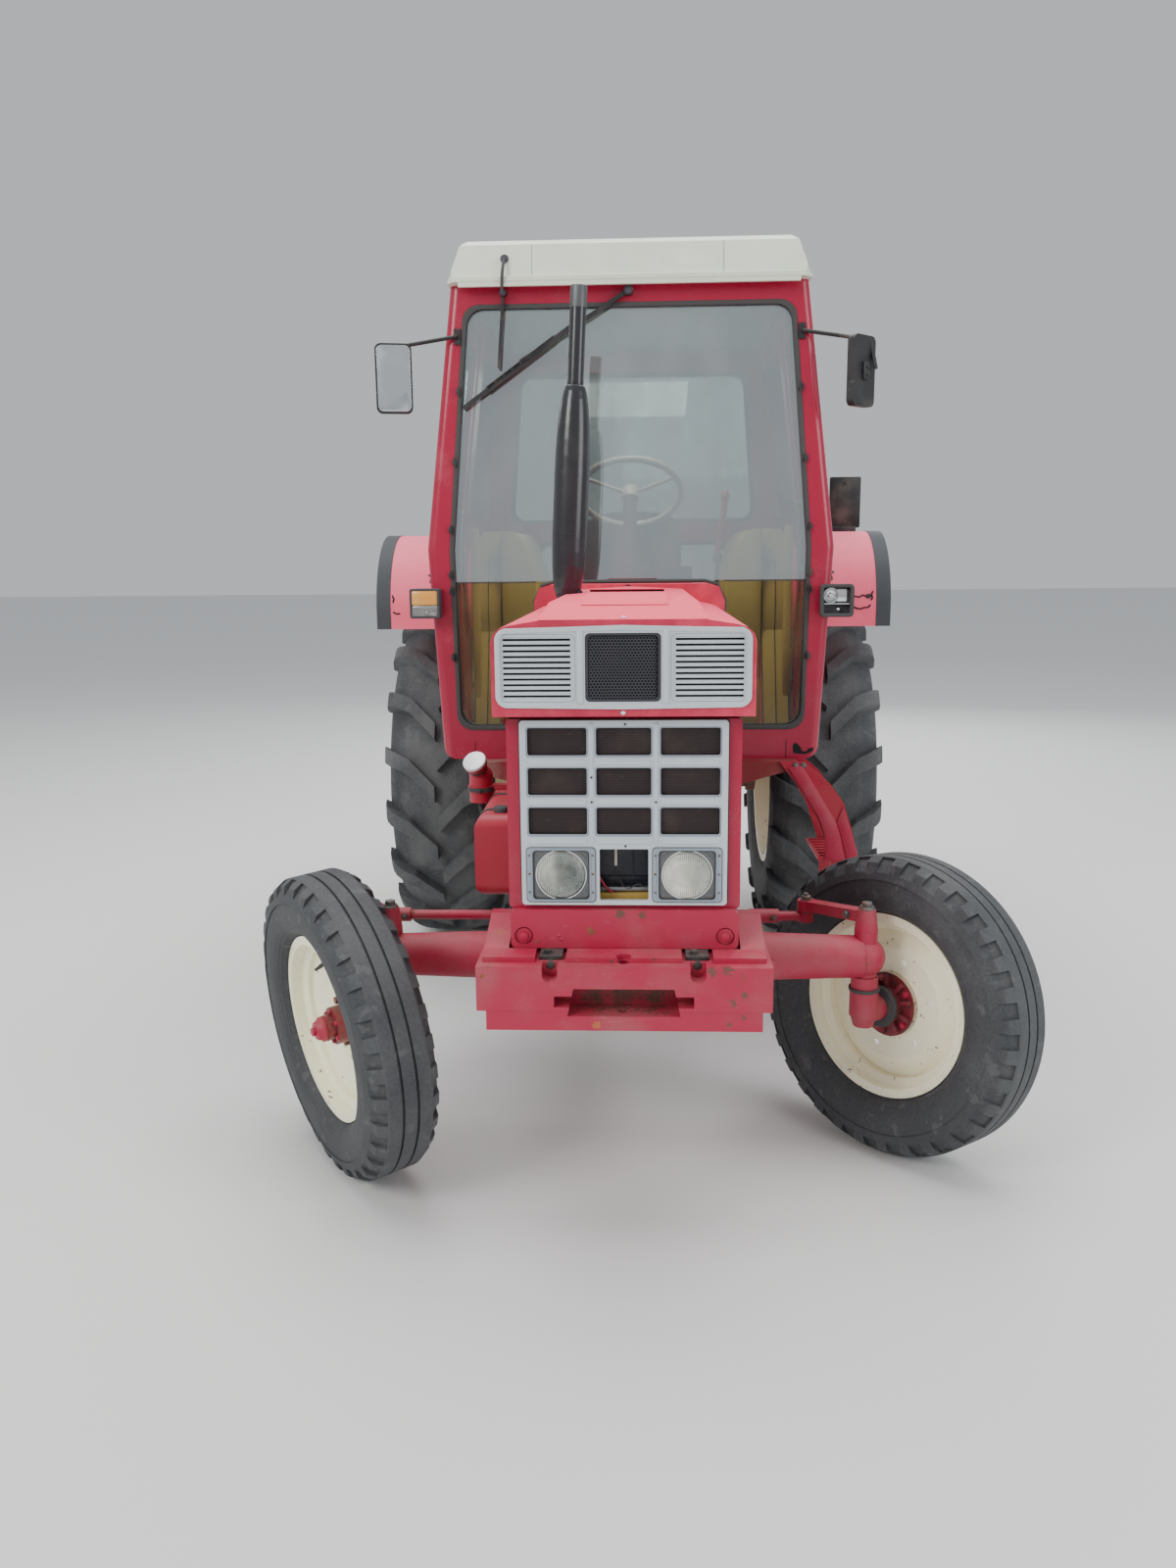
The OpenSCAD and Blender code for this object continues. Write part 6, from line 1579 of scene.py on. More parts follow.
@dataclass(frozen=True)
class Cab:
    """Glazing, seals and outer fittings of the cab.

    Attributes:
        front: outer face of the front wall from the front axle line.
        back: outer face of the rear wall.
    """

    front: float = 1.030
    back: float = 2.520

    def windscreen_outline(self, gap: float) -> list[Vector]:
        """Returns the windscreen opening in (X, Z), pulled in by a gap."""
        return rounded([
            (-0.646 + gap, 1.174 + gap), (0.646 - gap, 1.174 + gap), (0.656 - gap, 1.840),
            (0.582 - gap, 2.684 - gap), (-0.582 + gap, 2.684 - gap), (-0.656 + gap, 1.840),
        ], 0.060)

    def rear_outlines(self, gap: float) -> list[list[Vector]]:
        """Returns both rear window openings in (X, Z)."""
        return [
            rounded([
                (-0.590 + gap, 1.970 + gap), (0.590 - gap, 1.970 + gap), (0.540 - gap, 2.662 - gap),
                (-0.540 + gap, 2.662 - gap),
            ], 0.050),
            rounded([
                (-0.460 + gap, 1.400 + gap), (0.460 - gap, 1.400 + gap), (0.460 - gap, 1.880 - gap),
                (-0.460 + gap, 1.880 - gap),
            ], 0.040),
        ]

    def door_outlines(self, gap: float) -> list[list[Vector]]:
        """Returns both window openings of a door in (Y, Z)."""
        y0, y1 = 1.158 + gap, 1.574 - gap
        return [
            rounded([(y0, 1.780 + gap), (y1, 1.780 + gap), (y1, 2.616 - gap), (y0, 2.616 - gap)], 0.040),
            rounded(
                [(y0, 1.192 + gap), (1.404 - gap, 1.192 + gap), (y1 - 0.010, 1.710 - gap), (y0, 1.710 - gap)],
                0.040,
            ),
        ]

    def quarter_outline(self, gap: float) -> list[Vector]:
        """Returns the rear side window's opening in (Y, Z)."""
        return rounded([
            (1.750 + gap, 1.980 + gap), (2.440 - gap, 1.980 + gap), (2.440 - gap, 2.636 - gap),
            (1.750 + gap, 2.636 - gap),
        ], 0.050)

    def side_seal(self, outlines: list[list[list[Vector]]], name: str, body: str, side: int) -> None:
        """Builds seals round windows in a side wall, laid on its lean.

        Args:
            outlines: pairs of an outer and an inner outline.
            name: the piece's name.
            body: the CAD body that carries it.
            side: 1 on the left, -1 on the right.
        """
        seal = Form()
        for outer, inner in outlines:
            ahead_outer = [Vector((p.x + AXLE_Y, p.y)) for p in outer]
            ahead_inner = [Vector((p.x + AXLE_Y, p.y)) for p in inner]
            seal.frame(ahead_outer, ahead_inner, Plane.YZ, -0.0155, 0.0045, 0.003)
        for vert in seal.mesh.verts:
            vert.co.x = side * (vert.co.x + half_width(vert.co.z))
        if side < 0:
            bmesh.ops.reverse_faces(seal.mesh, faces=seal.mesh.faces[:])
        seal.done(name, BLACK_RUBBER, Slot.RUBBER, body)

    def seals(self) -> None:
        """Builds every window's rubber."""
        screen = Form()
        y = AXLE_Y + self.front
        screen.frame(
            self.windscreen_outline(-0.0035), self.windscreen_outline(0.0120), Plane.XZ, y - 0.0035,
            y + 0.0135, 0.0025,
        )
        screen.frame(
            self.windscreen_outline(0.0005), self.windscreen_outline(0.014), Plane.XZ, y + 0.0205, y + 0.046,
            0.002,
        )
        for side in (-1, 1):
            x = sorted((side * 0.345, side * 0.645))
            screen.box((x[0], y + 0.010, 1.7165), (x[1], y + 0.0138, 1.7215), 0.001)
        screen.done("windscreen_seal", BLACK_RUBBER, Slot.RUBBER)
        cowl = Form()
        half, top = 0.350, 1.7195
        cowl.tube([
            (-half, y + 0.010, 1.18), (-half, y + 0.010, top - 0.07), (-half + 0.028, y + 0.010, top - 0.012),
            (-half + 0.075, y + 0.010, top), (half - 0.075, y + 0.010, top),
            (half - 0.028, y + 0.010, top - 0.012), (half, y + 0.010, top - 0.07), (half, y + 0.010, 1.18),
        ], 0.0065, smooth=False)
        cowl.done("cowl_seal", BLACK_RUBBER, Slot.RUBBER)
        rear = Form()
        y = AXLE_Y + self.back
        for outer, inner in zip(self.rear_outlines(-0.006), self.rear_outlines(0.018)):
            rear.frame(outer, inner, Plane.XZ, y - 0.0195, y + 0.0045, 0.003)
        rear.done("rear_window_seals", BLACK_RUBBER, Slot.RUBBER)
        for side, hand in ((1, "left"), (-1, "right")):
            pairs = list(zip(self.door_outlines(-0.006), self.door_outlines(0.014)))
            self.side_seal(pairs, f"door_seal_{hand}", f"door_{hand}_body", side)
            self.side_seal(
                [[self.quarter_outline(-0.006), self.quarter_outline(0.014)]], f"quarter_seal_{hand}",
                "chassis", side
            )

    def clips(self) -> None:
        """Builds the screen's hinges and clips and its inner stay rods."""
        clips = Form()
        y = AXLE_Y + self.front
        for side in (-1, 1):
            for z in (2.393, 2.149, 1.910, 1.748, 1.690, 1.446):
                slope = 0.582 + (0.656 - 0.582) * (2.684 - max(z, 1.84)) / 0.844
                x = side * (slope if z > 1.84 else 0.654)
                clips.box((x - 0.010, y - 0.012, z - 0.011), (x + 0.010, y - 0.0005, z + 0.011), 0.003)
                clips.rod((x, y - 0.011, z - 0.014), (x, y - 0.011, z + 0.014), 0.005, sides=12)
        clips.done("screen_clips", BLACK_PAINT, Slot.DARK)
        rods = Form()
        for low_x, high_x, z0, z1 in ((-0.631, -0.619, 1.759, 1.981), (0.630, 0.617, 1.752, 2.003)):
            rods.rod((low_x, y + 0.052, z0), (high_x, y + 0.052, z1), 0.007, sides=16)
            for x, z in ((low_x, z0 + 0.006), (high_x, z1 - 0.006)):
                rods.box((x - 0.009, y + 0.030, z - 0.007), (x + 0.009, y + 0.052, z + 0.007), 0.001)
        rods.done("screen_stay_rods", STEEL, Slot.STEEL)

    def handles(self) -> None:
        """Builds door handles, locks and hinge pins."""
        for side, hand in ((1, "left"), (-1, "right")):
            handle = Form()
            z = 1.745
            x = side * (half_width(z) + 0.0005)
            y = AXLE_Y + 1.128
            out = side * 0.014
            low, high = sorted((x, x + side * 0.008))
            handle.box((low, y - 0.022, z - 0.032), (high, y + 0.022, z + 0.032), 0.003)
            handle.tube([
                (x + side * 0.004, y, z), (x + out, y + 0.004, z), (x + out, y + 0.030, z),
                (x + out, y + 0.110, z - 0.004),
            ], 0.0050)
            handle.rod(
                (x + side * 0.008, y - 0.001, z - 0.022), (x + side * 0.013, y - 0.001, z - 0.022), 0.008,
                sides=20,
            )
            handle.done(f"door_handle_{hand}", BLACK_PLASTIC, Slot.PLASTIC, f"door_{hand}_body")
            pins = Form()
            for height in (1.600, 2.300):
                at = Vector((side * 0.757, AXLE_Y + 1.646, height))
                pins.rod(at + Vector((0, 0, 0.044)), at + Vector((0, 0, 0.049)), 0.0105, 0.008, 20)
                for spot in (-0.024, -0.010):
                    seat = half_width(height + 0.03)
                    pins.bolt(
                        (side * (seat + 0.002), at.y + spot - 0.010, height + 0.030), (side, 0, 0), 0.0052
                    )
            pins.done(f"door_hinge_bits_{hand}", ZINC, Slot.STEEL, f"door_{hand}_body")

    def bonnet_plate(self) -> None:
        """Builds the raised plate on the bonnet, its slot as a black strip that paints the shadow under the
        plate's lip, and the bolts along the cowl.
        """
        raised = Form()
        slope = [
            (-0.360, 1.6855), (-0.310, 1.7042), (0.130, 1.7042), (0.130, 1.7072), (-0.311, 1.7072),
            (-0.362, 1.6885),
        ]
        raised.plate([(AXLE_Y + y, z) for y, z in slope], Plane.YZ, -0.107, 0.113, 0.001)
        raised.box(ahead(-0.107, 0.118, 1.7125), ahead(0.113, 0.142, 1.7155), 0.001)
        raised.done("bonnet_plate", BONNET_RED, Slot.FADED)
        # Black strip under the plate's rear lip: painted shadow.
        Form().box(
            ahead(-0.105, 0.126, 1.7042), ahead(0.111, 0.136, 1.7126)
        ).done("bonnet_slot", DEEP_BLACK, Slot.PLASTIC)
        bolts = Form()
        for x, z in ((-0.101, 1.7135), (-0.003, 1.7075), (0.099, 1.7135), (0.300, 1.7060)):
            bolts.box(
                ahead(x - 0.008, self.front - 0.0115, z - 0.001),
                ahead(x + 0.008, self.front - 0.0015, z + 0.0045), 0.001,
            )
        bolts.bolt(ahead(-0.003, 0.9175, 1.7025), (0, -1, 0), 0.0065)
        bolts.done("cowl_bolts", BLACK_PAINT, Slot.DARK)

    def fender_front(self, x: float, z: float) -> Point:
        """Returns a point just proud of a fender's front face."""
        y = 1.700 if z < ARCH_Z else ARCH_Y - math.sqrt(0.33 ** 2 - (z - ARCH_Z) ** 2)
        return ahead(x, y - 0.0006, z)

    def wear(self) -> None:
        """Builds the fenders' cracks, the hole rusted in the cab's corner as a black plate that paints the
        shade inside it, and the roof's joints.
        """
        cracks = Form()
        for run in (
            [(0.918, 1.646), (0.941, 1.636), (0.960, 1.633), (0.972, 1.641), (0.985, 1.637)],
            [(0.937, 1.593), (0.948, 1.586), (0.966, 1.584), (0.980, 1.589), (0.997, 1.590), (1.006, 1.601)],
            [(-1.022, 1.655), (-1.015, 1.640), (-1.019, 1.625)],
            [(-1.020, 1.585), (-1.005, 1.577), (-0.990, 1.578)],
            [(1.016, 1.657), (1.010, 1.645), (1.014, 1.630), (1.008, 1.620)],
        ):
            cracks.tube([self.fender_front(x, z) for x, z in run], 0.0032, smooth=False, sides=2)
        cracks.done("fender_cracks", DEEP_BLACK, Slot.PLASTIC)
        patch = Form()
        shape = [
            (0.986, 1.630), (0.999, 1.626), (1.008, 1.632), (1.009, 1.642), (0.999, 1.647), (0.987, 1.643)
        ]
        patch.plate(shape, Plane.XZ, AXLE_Y + 1.7012, AXLE_Y + 1.7060)
        patch.done("fender_patch", MESH_BROWN, Slot.PLASTIC)
        # Black plate where the cab's corner has rusted through: painted shade inside the hole. Two thin black
        # lines low on the cab front go with it.
        hole = Form()
        face = AXLE_Y + self.front
        edge = [
            (0.609, 1.112), (0.620, 1.120), (0.637, 1.105), (0.645, 1.088), (0.660, 1.086), (0.667, 1.097),
            (0.687, 1.101), (0.684, 1.087), (0.653, 1.076), (0.611, 1.080),
        ]
        hole.plate(edge, Plane.XZ, face - 0.0009, face + 0.0004)
        for x in (-0.584, 0.584):
            hole.box((x - 0.0012, face - 0.0008, 1.062), (x + 0.0012, face + 0.0004, 1.128))
        hole.done("rust_hole", DEEP_BLACK, Slot.PLASTIC)
        seams = Form()
        for x in (-0.335, 0.329):
            rise = [(0.9792, 2.772), (0.9972, 2.8755), (1.0000, 2.8755), (0.9820, 2.772)]
            seams.plate([(AXLE_Y + y, z) for y, z in rise], Plane.YZ, x - 0.0011, x + 0.0011)
        seams.done("roof_seams", LAMP_EDGE, Slot.ROOF)

    def build(self) -> None:
        """Dresses the cab's nodes and adds seals and fittings."""
        dress(CAB_RED, "cab_frame", "door_left", "door_right")
        dress(ROOF, "cab_roof")
        dress(SCREEN_GLASS, "windscreen")
        dress(WINDOW, "side_glass", "rear_glass", "door_left_glass", "door_right_glass")
        dress(PINK_RED, "fenders")
        dress(BONNET_RED, "bonnet", "cowl")
        dress(FLARE_RUBBER, "fender_flares")
        dress(FLOOR_MAT, "cab_floor")
        self.seals()
        self.clips()
        self.handles()
        self.bonnet_plate()
        self.wear()


@dataclass(frozen=True)
class Outfit:
    """Silencer, tanks, mirrors, lamps, wiper and step.

    Attributes:
        exhaust_x: silencer's foot from the centre plane.
        exhaust_y: silencer from the front axle line.
        tail_z: top of the tail pipe.
        foot_z: height that the silencer's lean starts from.
        lean: the silencer's lean in degrees.
        lamp_y: front of the front lamps.
        lamp_back: back of the rear lamps.
        step_y: front of the step.
    """

    exhaust_x: float = -0.2088
    exhaust_y: float = 0.400
    tail_z: float = 2.608
    foot_z: float = 1.2903
    lean: float = 2.9
    lamp_y: float = 0.968
    lamp_back: float = 3.270
    step_y: float = 0.9497

    def exhaust_point(self, z: float) -> Vector:
        """Returns the silencer's axis at a height, on its lean."""
        aside = (z - self.foot_z) * math.tan(math.radians(self.lean))
        return Vector((self.exhaust_x + aside, AXLE_Y + self.exhaust_y, z))

    def exhaust(self) -> None:
        """Builds the silencer's seams, clamp and open tail."""
        up = towards(self.exhaust_point(1.30), self.exhaust_point(2.60))
        foot = self.exhaust_point(1.30)
        trim = Form()
        for z, radius, half in ((1.876, 0.0546, 0.003), (2.054, 0.0546, 0.003), (2.331, 0.0262, 0.004)):
            h = (self.exhaust_point(z) - foot).length
            foot_r = radius - 0.004
            trim.turned(
                [
                    (foot_r, h - half - 0.001), (radius, h - half), (radius, h + half),
                    (foot_r, h + half + 0.001),
                ],
                up, 48,
            )
        h = (self.exhaust_point(1.684) - foot).length
        trim.turned([(0.0325, h), (0.0372, h + 0.001), (0.0372, h + 0.026), (0.0325, h + 0.027)], up, 32)
        side = self.exhaust_point(1.698) + Vector((0.039, -0.004, 0))
        trim.rod(side + Vector((0, -0.018, 0)), side + Vector((0, 0.026, 0)), 0.004, sides=10)
        trim.bolt(side + Vector((0, -0.014, 0)), (0, -1, 0), 0.008)
        trim.done("silencer_bands", STOVE_BLACK, Slot.SILENCER)
        mouth = Form()
        top = self.exhaust_point(self.tail_z)
        mouth.rod(top + Vector((0, 0, -0.002)), top + Vector((0.0, 0, 0.0010)), 0.0212, sides=32)
        mouth.done("silencer_mouth", BLACK_PLASTIC, Slot.SILENCER)
        ring = Form()
        h = (top - foot).length
        ring.turned(
            [
                (0.0212, h - 0.003), (0.0256, h - 0.062), (0.0259, h - 0.060), (0.0259, h - 0.001),
                (0.0250, h + 0.001), (0.0212, h + 0.001),
            ],
            up, 40,
        )
        ring.done("silencer_lip", SMOKED, Slot.SILENCER)

    def tanks(self) -> None:
        """Builds the side tank's straps and plug, and the reservoir's cap, clamp and hose."""
        straps = Form()
        for y in (0.160, 0.400):
            outer = rectangle((-0.4585, 0.7975), (-0.3015, 1.0525), 0.041)
            inner = rectangle((-0.4562, 0.7998), (-0.3038, 1.0502), 0.040)
            straps.frame(outer, inner, Plane.XZ, AXLE_Y + y - 0.012, AXLE_Y + y + 0.012, 0.0006)
            straps.bolt(ahead(-0.300, y, 0.980), (1, 0, 0), 0.008)
        straps.done("tank_straps", BLACK_PAINT, Slot.DARK)
        Form().rod(
            ahead(-0.380, 0.130, 1.0495), ahead(-0.380, 0.130, 1.066), 0.024, bevel=0.003, sides=28
        ).done("tank_plug", BLACK_PLASTIC, Slot.PLASTIC)
        x, y = -0.498, 0.548
        neck = Vector(ahead(x, y, 1.085))
        along = towards(neck, neck + Vector((-0.183, -0.656, 0.733)))
        Form().turned(
            [
                (0.0, 0.0703), (0.0385, 0.0703), (0.0400, 0.0730), (0.0400, 0.0790), (0.0375, 0.0825),
                (0.0200, 0.0840), (0.0, 0.0845),
            ],
            along, 48, 0.0,
        ).done("reservoir_cap", ALUMINIUM, Slot.STEEL)
        clamp = Form()
        clamp.turned(
            [(0.0454, 1.034), (0.0468, 1.034), (0.0468, 1.048), (0.0454, 1.048)],
            Matrix.Translation(ahead(x, y, 0.0)), 48,
        )
        clamp.bolt(ahead(x, y - 0.0466, 1.041), (0, -1, 0), 0.007)
        clamp.turned([(0.0314, 0.040), (0.0335, 0.040), (0.0335, 0.054), (0.0314, 0.054)], along, 40)
        clamp.done("reservoir_clamp", BLACK_RUBBER, Slot.RUBBER)
        Form().tube([
            ahead(x, y, 0.998), ahead(x, y, 0.965), ahead(x + 0.03, y + 0.02, 0.925),
            ahead(x + 0.14, y + 0.04, 0.890),
            ahead(x + 0.26, y + 0.04, 0.865), ahead(x + 0.350, y + 0.04, 0.850),
        ], 0.010).done("reservoir_hose", BLACK_RUBBER, Slot.RUBBER)

    def mirrors(self) -> None:
        """Builds the mirrors' glasses and their clamps."""
        for side, turn, at in ((1, 46.0, (0.806, 0.964, 2.432)), (-1, -12.0, (0.828, 0.964, 2.432))):
            hand = hand_of(side)
            flip = Matrix.Diagonal((side, 1, 1, 1))
            place = flip @ tilted(ahead(*at), turn, "Z")
            face = -1 if side < 0 else 1
            glass = Form()
            outline = rectangle((-0.058, -0.112), (0.058, 0.112), 0.018)
            low, high = sorted((face * 0.0142, face * 0.0165))
            glass.plate(outline, Plane.XZ, low, high, 0.0006, place)
            glass.done(f"mirror_glass_{hand}", MIRROR, Slot.GLASS)
            bits = Form()
            back = -face * 0.014
            low, high = sorted((back, back - face * 0.012))
            bits.box((-0.014, low, -0.030), (0.014, high, 0.030), 0.002, place)
            for z in (0.012, -0.012):
                bits.bolt((0.0, back - face * 0.011, z), (0, -face, 0), 0.006, place)
            bits.done(f"mirror_clamp_{hand}", BLACK_PAINT, Slot.DARK)

    def indicator(self, side: int) -> None:
        """Builds a front lamp: an open bowl in its rim on the left, amber and clear lenses on the right."""
        hand = hand_of(side)
        low, high = sorted((side * 0.693, side * 0.803))
        y = AXLE_Y + self.lamp_y
        frame_piece = Form()
        outer = rectangle((low, 1.592), (high, 1.700), 0.008)
        inner = rectangle((low + 0.008, 1.600), (high - 0.008, 1.692), 0.004)
        frame_piece.frame(outer, inner, Plane.XZ, y - 0.002, y + 0.060, 0.0015)
        frame_piece.box((low + 0.006, y + 0.030, 1.598), (high - 0.006, y + 0.058, 1.694))
        made = frame_piece.done(f"front_lamp_case_{hand}", BLACK_PLASTIC, Slot.PLASTIC)
        if side > 0:
            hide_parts("front_indicators")
        bowl = Form()
        middle = (low + high) / 2
        bowl.box((middle + 0.002, y + 0.0225, 1.640), (high - 0.010, y + 0.0300, 1.690), 0.002)
        bowl.turned(
            [(0.0, 0.014), (0.018, 0.010), (0.026, 0.0), (0.0275, 0.0), (0.019, 0.012), (0.0, 0.016)],
            Matrix.Translation((middle - 0.020, y + 0.010, 1.664)) @ TO_BACK, 32,
        )
        for bulb in ((middle - 0.020, y + 0.012, 1.664), (middle + 0.006, y + 0.014, 1.614)):
            bowl.ball(bulb, 0.0075, sides=16)
        bowl.box((low + 0.009, y + 0.004, 1.6325), (high - 0.009, y + 0.027, 1.6365), 0.001)
        bowl.done(f"front_lamp_bowl_{hand}", CHROME, Slot.STEEL)
        if side > 0:
            Form().frame(
                rectangle((low - 0.006, 1.587), (high + 0.006, 1.705), 0.016),
                rectangle((low + 0.006, 1.599), (high - 0.006, 1.693), 0.010),
                Plane.XZ, y - 0.004, y + 0.012, 0.003,
            ).done("front_lamp_rim", BLACK_RUBBER, Slot.RUBBER)
        if side < 0:
            amber = Form()
            amber.box((low + 0.008, y - 0.004, 1.640), (high - 0.008, y + 0.024, 1.692), 0.005)
            for index in range(5):
                z = 1.650 + index * 0.008
                amber.box((low + 0.012, y - 0.0052, z), (high - 0.012, y - 0.002, z + 0.0035), 0.001)
            amber.done("front_lamp_amber", AMBER_LENS, Slot.AMBER)
            Form().box(
                (low + 0.008, y - 0.004, 1.600), (high - 0.008, y + 0.024, 1.639), 0.005
            ).done("front_lamp_clear", CLEAR_LENS, Slot.GLASS)

    def rear_lamps(self) -> None:
        """Builds the rear lamps, red inside and amber outside, and the bare plate on its bracket."""
        cases, red, amber = Form(), Form(), Form()
        back = AXLE_Y + self.lamp_back
        for side in (-1, 1):
            low, high = sorted((side * 0.860, side * 1.010))
            cases.box((low, back - 0.0395, 1.340), (high, back - 0.014, 1.430), 0.004)
            cases.frame(
                rectangle((low, 1.340), (high, 1.430), 0.008),
                rectangle((low + 0.006, 1.346), (high - 0.006, 1.424), 0.006),
                Plane.XZ, back - 0.020, back - 0.001, 0.0015,
            )
            split = side * 0.964
            for lens, inner, outer in (
                (red, side * 0.867, split - side * 0.001), (amber, split + side * 0.001, side * 1.003)
            ):
                a, b = sorted((inner, outer))
                lens.box((a, back - 0.016, 1.347), (b, back - 0.0005, 1.423), 0.003)
                for index in range(8):
                    z = 1.353 + index * 0.0090
                    lens.box((a + 0.003, back - 0.002, z), (b - 0.003, back, z + 0.0035), 0.0005)
        red.done("rear_lamp_red", RED_LENS, Slot.RED_LENS)
        amber.done("rear_lamp_amber", AMBER_LENS, Slot.AMBER)
        made = cases.done("rear_lamp_cases", BLACK_PLASTIC, Slot.PLASTIC)
        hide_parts("rear_lamps")
        plate = Form()
        y = REAR_Y - 0.160
        plate.box((0.900, y, 1.9105), (1.020, y + 0.046, 1.9360), 0.003)
        plate.plate(rectangle((0.900, 1.930), (1.040, 2.156), 0.008), Plane.XZ, y + 0.018, y + 0.028, 0.0015)
        for z in (1.955, 2.130):
            plate.bolt((0.970, y + 0.018, z), (0, -1, 0), 0.006)
        plate.done("blank_plate", BLACK_PAINT, Slot.DARK)

    def wiper(self) -> None:
        """Builds the wiper's blade rubber, its claw and the caps of its pivots."""
        place = Matrix.Translation(ahead(-0.176, 1.0, 2.626)) @ Matrix.Rotation(
            math.atan2(0.5731, -0.8195), 4, "Y"
        )
        Form().box(
            (0.004, 0.0242, -0.0025), (0.504, 0.0430, 0.0025), 0.0008, place
        ).done("wiper_blade", BLACK_RUBBER, Slot.RUBBER)
        claw = Form()
        for z in (-0.0085, 0.0085):
            claw.box((0.100, 0.0040, z - 0.0018), (0.400, 0.0118, z + 0.0018), 0.0008, place)
        for index in range(9):
            x = 0.104 + index * 0.0365
            claw.box((x - 0.004, 0.0050, -0.0085), (x + 0.004, 0.0118, 0.0085), 0.0008, place)
        claw.done("wiper_claw", BLACK_PAINT, Slot.DARK)
        caps = Form()
        for x, radius in ((0.0, 0.016), (-0.440, 0.012)):
            caps.turned(
                [(0.0, 0.0), (radius * 0.9, 0.0), (radius, 0.002), (radius * 0.7, 0.010), (0.0, 0.012)],
                Matrix.Translation((x, AXLE_Y + 1.004, 2.722)) @ TO_FRONT, 24,
            )
        caps.turned(
            [(0.0, 0.0), (0.014, 0.0), (0.015, 0.002), (0.011, 0.012), (0.0, 0.014)],
            Matrix.Translation(ahead(-0.430, 0.990, 2.828)) @ TO_FRONT, 24,
        )
        caps.tube(
            [ahead(-0.430, 0.977, 2.828), ahead(-0.436, 0.958, 2.772), ahead(-0.441, 0.984, 2.716)], 0.0055
        )
        caps.done("wiper_caps", BLACK_PLASTIC, Slot.PLASTIC)

    def step(self) -> None:
        """Builds the step's treads, folded edges and bolts."""
        grip = Form()
        for z in (0.438, 0.698):
            for index in range(7):
                y = AXLE_Y + 0.975 + index * 0.043
                grip.box((0.712, y - 0.005, z), (0.838, y + 0.005, z + 0.006), 0.001)
        grip.done("step_grip", RED, Slot.RED)
        fold = Form()
        face = AXLE_Y + self.step_y
        fold.plate(
            [
                (0.583, 1.040), (0.613, 0.991), (0.662, 0.915), (0.699, 0.853), (0.722, 0.790),
                (0.728, 0.690), (0.803, 0.690), (0.783, 0.774), (0.766, 0.830), (0.729, 0.891),
                (0.684, 0.967), (0.634, 1.046),
            ],
            Plane.XZ, face - 0.0085, face + 0.0005, 0.003,
        )
        fold.plate(
            [
                (0.766, 0.832), (0.789, 0.889), (0.812, 0.822), (0.846, 0.722), (0.850, 0.690),
                (0.806, 0.690), (0.786, 0.774),
            ],
            Plane.XZ, face - 0.0050, face + 0.0005, 0.002,
        )
        fold.done("step_folds", CAST_RED, Slot.RED)
        bolts = Form()
        for y in (0.950, 1.260):
            for x, z in ((0.612, 1.048), (0.640, 1.048)):
                way = -1 if y < 1.0 else 1
                bolts.bolt(ahead(x, y, z), (0, way, 0), 0.0085)
        bolts.done("step_bolts", IRON, Slot.IRON)

    def build(self) -> None:
        """Dresses the nodes and adds every fitting."""
        dress(STOVE_BLACK, "exhaust")
        dress(RED, "side_tank", "oil_reservoir", "step")
        dress(BLACK_PAINT, "mirrors", "wiper")
        self.exhaust()
        self.tanks()
        self.mirrors()
        self.indicator(1)
        self.indicator(-1)
        self.rear_lamps()
        self.wiper()
        self.step()


